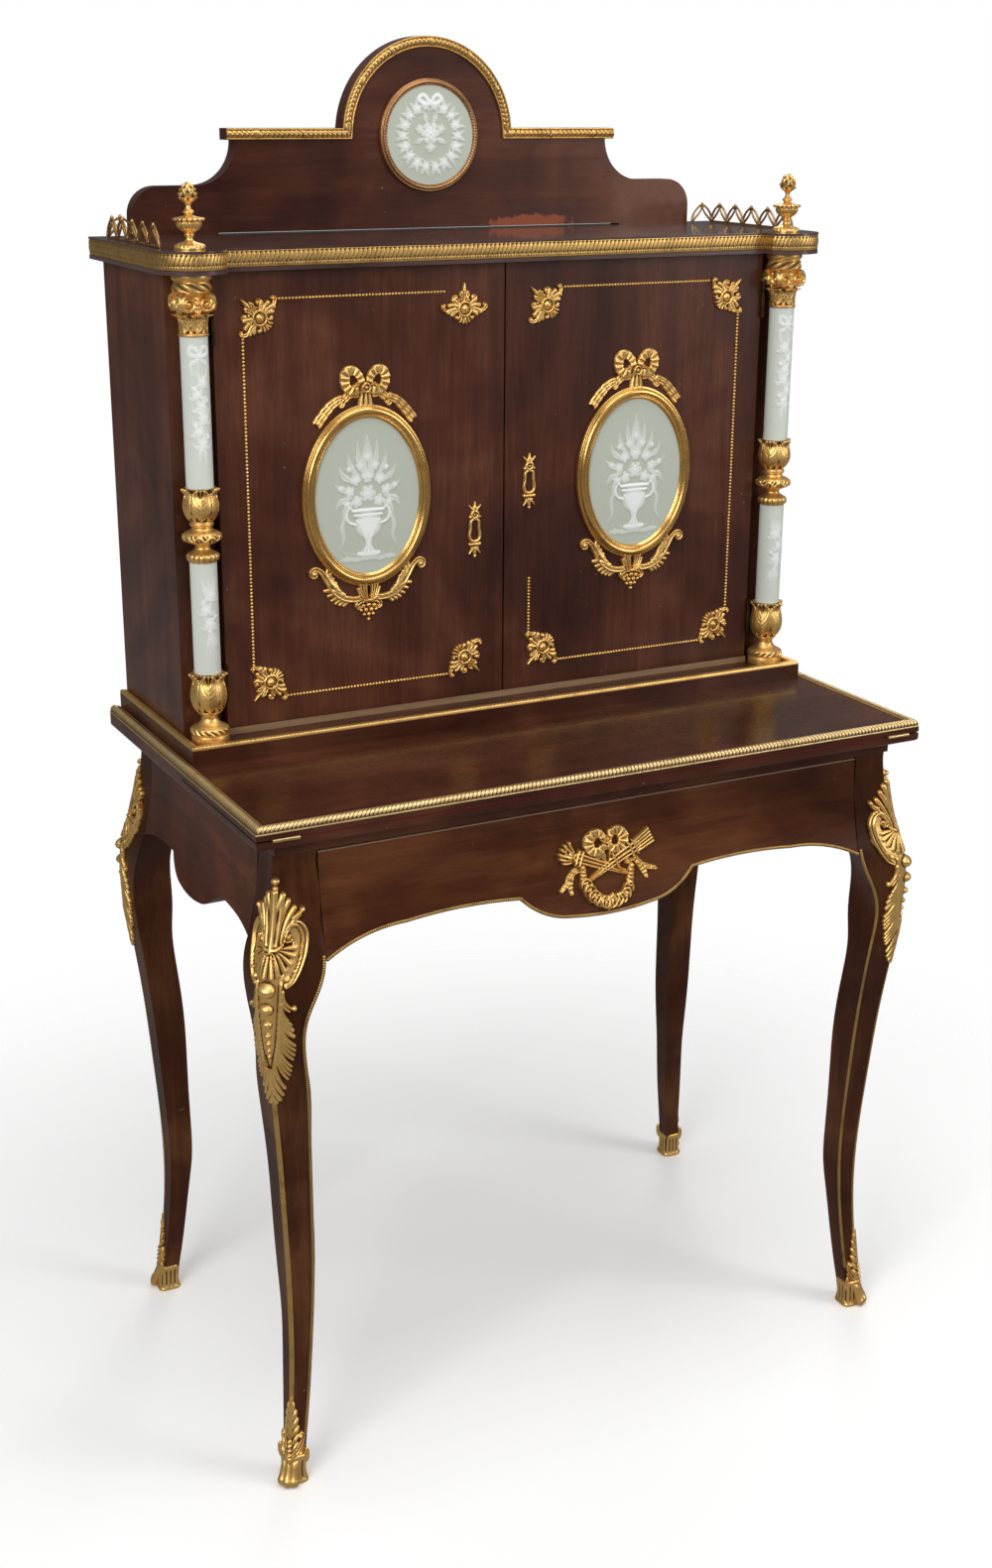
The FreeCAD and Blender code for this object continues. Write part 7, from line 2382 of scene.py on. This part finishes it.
@dataclass
class DrawerDress:
    """Gilt on the drawer front: a beaded wire along its lower edge and a trophy over the keyhole."""

    half: float = 323.5
    bed: float = 716.0
    face: float = 208.0
    flare: float = 355.0
    end_drop: float = 112.0
    arch_drop: float = 86.0
    cusp_drop: float = 89.5
    lobe_drop: float = 120.0

    def build(self, palette: Palette) -> None:
        """Make the trim and the trophy."""
        emit("drawer_line", self._trim(), "drawer", palette.aged, ("drawer_trim",))
        emit("drawer_trophy", self._trophy().solid(self.front), "drawer", palette.gilt, ("drawer_mount",))

    def front(self, u: Array, v: Array, h: Array) -> Array:
        """Lay a patch on the flared front: a circle that starts upright under the bed, and its normal.

        Args:
            u: distance across.
            v: distance up.
            h: height off the surface.

        Returns:
            The points.
        """
        drop = np.clip(self.bed - v, 0.0, 300.0)
        root = np.sqrt(self.flare**2 - drop**2)
        slope = drop / root
        size = np.hypot(1.0, slope)
        return np.stack([u, -(self.face + self.flare - root) - h / size, v + h * slope / size], -1)

    def edge(self) -> Array:
        """Return the lower edge from left to right: arches, cusps and a middle lobe, all circle arcs.

        Returns:
            The points.
        """
        def spot(across: float, down: float, start: float, end: float) -> Spot:
            """Return a place on the right half of the edge."""
            return self.half * across, self.bed - start - (end - start) * down

        arch = (self.arch_drop, self.end_drop)
        crown = (self.arch_drop, self.cusp_drop)
        lobe = (self.cusp_drop, self.lobe_drop)
        end, side = spot(0.724, 0.135, *arch), spot(0.160, 0.885, *lobe)
        cusp = spot(0.324, 0.0, *lobe)
        right = np.vstack([
            arc_through((-side[0], side[1]), (0.0, self.bed - self.lobe_drop), side, 41)[20:-1],
            arc_through(side, spot(0.253, 0.59, *lobe), cusp, 24)[:-1],
            arc_through(cusp, spot(0.518, 0.0, *crown), end, 40)[:-1],
            arc_through(end, spot(0.88, 0.40, *arch), (self.half, self.bed - self.end_drop), 30)])
        return np.vstack([right[:0:-1] * (-1.0, 1.0), right])

    def _trim(self) -> Solid:
        """Bend the beaded wire along the lower edge, on the front.

        Returns:
            The solid.
        """
        edge = self.edge() + (0.0, 1.9)
        gone = np.concatenate([[0.0], np.cumsum(np.hypot(*np.diff(edge, axis=0).T))])
        place = np.arange(0.0, gone[-1], WIRE_STEP)
        x, z = (np.interp(place, gone, column) for column in edge.T)
        return beaded_wire(self.front(x, z, np.full(len(x), 0.4)), place, (0.0, 1.0, 0.0))

    def _trophy(self) -> Relief:
        """Draw the trophy: torch and quiver crossed under a bow, a garland below, ribbon ends beside it.

        Returns:
            The drawing.
        """
        art = Relief((-66, 594), (66, 694), 0.6)
        self._garland(art)
        for knots in (((-30, 646), (-38, 646.5), (-45, 641), (-49.5, 634), (-57, 628)),
                      ((-43, 643), (-46.5, 634), (-45.5, 623.5)),
                      ((24, 647), (33, 648.5), (40, 641), (47, 637.5), (58, 634)),
                      ((38, 643), (43, 635), (46, 627))):
            art.strokes((knots, 26, (4, 4.2, 2.4), (4.4, 3), FLUTED, 4))
        for s in (-1, 1):
            art.strokes(
                (((s * 2, 672.5), (s * 7, 680.5), (s * 15, 681), (s * 21, 673.5), (s * 18, 664), (s * 9, 662),
                  (s * 4, 666)), 44, (3.8, 7.6, 4.4), (5, 5), BAND, 10),
                (((s * 8, 664), (s * 11, 656), (s * 17, 650)), 16, (3.4, 4.8, 3.6), (4.2, 3.4), FLUTED, 3))
            art.pierce((s * 12, 671.5), 2.2)
        art.boss((0, 656.5), 7.4, 4.0, 1.25)
        self._torch(art)
        self._quiver(art)
        knot = (0, 674)
        art.boss(knot, 5.6, 6.0)
        art.ring(knot, 3.8, 1.2, 7.4, 24)
        art.pierce((0, 660), 2.9)
        art.pierce((0, 655), 1.5, 3.2)
        return art

    def _garland(self, art: Relief) -> None:
        """Draw the garland: a rippled swag with pairs of leaves along it and flowers at its foot.

        Args:
            art: the relief to draw on.
        """
        swag = bow_line((-30.5, 648), (-28, 630), (-17.5, 614), (-1, 608), (15, 611), (24.5, 623.5),
                        (28.5, 641), count=60)
        art.stroke(swag, (3.6, 7.6, 3.8), (6.4, 6.4), ROUND, 26.0)
        for k in range(6, 54, 4):
            ahead = swag[k + 4 if k < 30 else k - 4] - swag[k]
            out = np.array([-ahead[1], ahead[0]]) * 0.9
            for side in (-1.0, 1.0):
                knots = (swag[k], swag[k] + ahead * 0.5 + out * side * 0.7,
                         swag[k] + ahead * 1.2 + out * side)
                art.strokes((knots, 10, (1.4, 1.9, 0.8), (6.9, 5.6)))
        for k, spot in enumerate(((-7, 610.5), (-1.5, 607), (4, 609.5), (9, 613), (2, 613.5), (-3.5, 603.5))):
            art.rosette(spot, 3.8, 8.2, 5, 0.9 * k)

    def _torch(self, art: Relief) -> None:
        """Draw the torch: a fluted shaft with two rings, and flames with dark licks.

        Args:
            art: the relief to draw on.
        """
        art.strokes((((-36, 659.5), (-10, 648.5), (20.5, 636)), 20, (6.6, 5.2, 3.2), (6.2, 5.4), FLUTED))
        for x, z in ((-37, 660), (-32.5, 658)):
            art.stroke(np.array([(x - 2.8, z - 7), (x + 2.8, z + 7)]), (1.7, 2.0, 1.7), (7.4, 7.4))
        art.boss((-46.5, 664.5), 8.6, 6.0)
        art.combs((((-40, 668), (-43.5, 655.5)), 2,
                   ((-43, 678.5), (-53.5, 674), (-58, 664), (-51, 653.5)), 4, 6, 6.8, 0.06))
        for x, z in ((-47, 667), (-48.5, 660.5), (-52, 666.5)):
            art.press(np.array([(x, z), (x - 2.0, z + 1.2)]), (0.9, 1.1, 0.6), 2.0)

    def _quiver(self, art: Relief) -> None:
        """Draw the quiver: a fluted case with three rings, and arrows with round ends.

        Args:
            art: the relief to draw on.
        """
        art.strokes((((-20.5, 635.5), (8, 649.5), (35, 661.5)), 20, (2.8, 6, 7.2), (5.2, 6.8), FLUTED))
        for x, z in ((33.5, 661), (28.5, 658.6), (9, 650)):
            art.stroke(np.array([(x - 3.2, z + 7.2), (x + 3.2, z - 7.2)]), (1.6, 1.9, 1.6), (7.6, 7.6))
        for lean in (-6.4, -3.2, 0.0, 3.2, 6.4):
            tip = (53.0 - lean * 0.5, 670.8 + lean * 1.1)
            art.stroke(np.array([(35.0 - lean * 0.4, 661.5 + lean * 0.85), tip]), (1.9, 1.9, 2.0), (6.4, 6.0))
            art.boss(tip, 2.3, 6.0)


@dataclass
class Studio:
    """Camera, lights, floor and white surround."""

    eye: Triple = (-1.01824, -1.90268, 1.40944)
    yaw: float = 0.48356
    pitch: float = -0.33016
    roll: float = 0.00623
    lens: float = 72.716
    floor_radius: float = 2.4

    def build(self) -> None:
        """Set up the whole studio."""
        scene = bpy.context.scene
        scene.view_settings.view_transform = "Standard"
        self._camera(scene)
        self._lamp("key_light", (-2.9, -2.2, 2.4), (0.0, 0.0, 0.75), (1.8, 1.8), 64.0)
        self._lamp("fill_light", (2.4, -2.4, 2.0), (0.0, 0.0, 0.7), (1.3, 2.0), 36.0)
        self._lamp("top_light", (0.0, -0.5, 3.4), (0.0, 0.0, 0.7), (2.2, 1.4), 34.0)
        self._lamp("rear_light", (1.6, 2.4, 3.2), (0.1, -0.05, 0.9), (1.2, 1.2), 20.0)
        self._world(scene)
        self._floor()

    @staticmethod
    def _frame(*columns: Array | Triple) -> Matrix:
        """Return the matrix with these three axes and this place as its columns."""
        return Matrix([*np.column_stack(columns).tolist(), (0.0, 0.0, 0.0, 1.0)])

    def _camera(self, scene: bpy.types.Scene) -> None:
        """Place the camera as the photograph's edges give it.

        Args:
            scene: the scene.
        """
        cy, sy, cp, sp = math.cos(self.yaw), math.sin(self.yaw), math.cos(self.pitch), math.sin(self.pitch)
        ahead = np.array([sy * cp, cy * cp, sp])
        right = np.array([cy, -sy, 0.0])
        up = np.cross(right, ahead)
        cr, sr = math.cos(self.roll), math.sin(self.roll)
        side, over = cr * right + sr * up, cr * up - sr * right
        data = bpy.data.cameras.new("photo_camera")
        data.sensor_fit = "HORIZONTAL"
        data.sensor_width = 36.0
        data.lens = self.lens
        data.clip_end = 60.0
        camera = bpy.data.objects.new("photo_camera", data)
        camera.matrix_world = self._frame(side, over, -ahead, self.eye)
        scene.collection.objects.link(camera)
        scene.camera = camera

    def _lamp(self, name: str, spot: Triple, aim: Triple, size: tuple[float, float], power: float) -> None:
        """Hang a soft box at a spot, aimed at a point.

        Args:
            name: the name.
            spot: where it hangs.
            aim: where it points.
            size: its width and height.
            power: its power in watts.
        """
        data = bpy.data.lights.new(name, "AREA")
        data.shape = "RECTANGLE"
        data.size, data.size_y = size
        data.energy = power
        lamp = bpy.data.objects.new(name, data)
        ahead = np.array(aim) - np.array(spot)
        ahead = ahead / np.linalg.norm(ahead)
        right = np.cross(ahead, (0.0, 0.0, 1.0))
        right = right / np.linalg.norm(right)
        lamp.matrix_world = self._frame(right, np.cross(right, ahead), -ahead, spot)
        bpy.context.scene.collection.objects.link(lamp)

    def _world(self, scene: bpy.types.Scene) -> None:
        """Surround the set with white for the eye and for reflections, and with a plain level for light.

        Args:
            scene: the scene.
        """
        world = bpy.data.worlds.new("white_surround")
        world.use_nodes = True
        scene.world = world
        g = Graph(world.node_tree)
        path = g.node("ShaderNodeLightPath")
        seen = Wire(g, path.outputs["Is Camera Ray"]) + Wire(g, path.outputs["Is Transmission Ray"])
        shone = Wire(g, path.outputs["Is Glossy Ray"])
        split = g.node("ShaderNodeSeparateXYZ", {}, {0: g.wire("ShaderNodeTexCoord", output="Generated")})
        ahead = (Wire(g, split.outputs[1]) * -1.0).step(-0.5, 0.3)
        sky = Wire(g, split.outputs[2]).step(-0.04, 0.45) * (ahead * 0.75 + 0.25)
        below = (Wire(g, split.outputs[2]) * -1.0).step(0.05, 0.45)
        strength = seen + shone * (sky * 0.54 + below * 0.22 + 0.07) + (1.0 - seen - shone) * 0.50
        back = g.wire("ShaderNodeBackground", {}, {"Color": (1.0, 1.0, 1.0, 1.0), "Strength": strength})
        g.node("ShaderNodeOutputWorld", {}, {"Surface": back})

    def _floor(self) -> None:
        """Lay a pale floor under the feet that fades out into the white surround."""
        angle = circle(64)
        points = np.stack([np.cos(angle), np.sin(angle), 0.0 * angle], -1) * self.floor_radius
        mesh = bpy.data.meshes.new("studio_floor")
        mesh.from_pydata(points.tolist(), [], [list(range(len(angle)))])
        material, g = new_material("studio_floor")
        spot = g.place()
        tone = g.noise(spot, 2.0, 2.0)
        colour = g.mix(tone, (0.94, 0.94, 0.94), (0.96, 0.96, 0.96))
        reach = g.wire("ShaderNodeVectorMath", {"operation": "LENGTH"}, {0: spot}, "Value")
        pale = g.wire("ShaderNodeBsdfDiffuse", {}, {"Color": colour})
        clear = g.wire("ShaderNodeBsdfTransparent")
        fade = g.wire("ShaderNodeMixShader", {}, {0: reach.step(0.55, 1.30), 1: pale, 2: clear})
        g.node("ShaderNodeOutputMaterial", {}, {"Surface": fade})
        mesh.materials.append(material)
        floor = bpy.data.objects.new("studio_floor", mesh)
        bpy.context.scene.collection.objects.link(floor)
        floor.visible_glossy = False


# Bead lines of the doors: start and end, across and up from the middle of the door's plaque.
LEFT_BEADS = ((-132.5, -173.0, -132.5, 168.5), (-96.0, 207.1, 92.0, 207.1), (-95.0, -207.1, 94.0, -207.1))
RIGHT_BEADS = ((132.5, -168.0, 132.5, 168.0), (-132.5, -174.0, -132.5, -109.0), (-92.0, 207.1, 92.0, 207.1),
               (-93.0, -207.1, 98.0, -207.1))


def main() -> None:
    """Build the desk's dressing piece by piece."""
    logging.basicConfig(level=logging.INFO, format="%(name)s %(message)s")
    palette = Palette.mixed()
    Carcass().dress()
    TopMouldings().build(palette)
    Cornice().build(palette)
    Crest().build(palette)
    Columns().build(palette)
    DoorDress("left", -1.0, LEFT_BEADS, (-36.5, 962.4)).build(palette)
    DoorDress("right", 1.0, RIGHT_BEADS, (30.5, 1010.4)).build(palette)
    LegDress().build(palette)
    DrawerDress().build(palette)
    Studio().build()


if __name__ == "__main__":
    main()
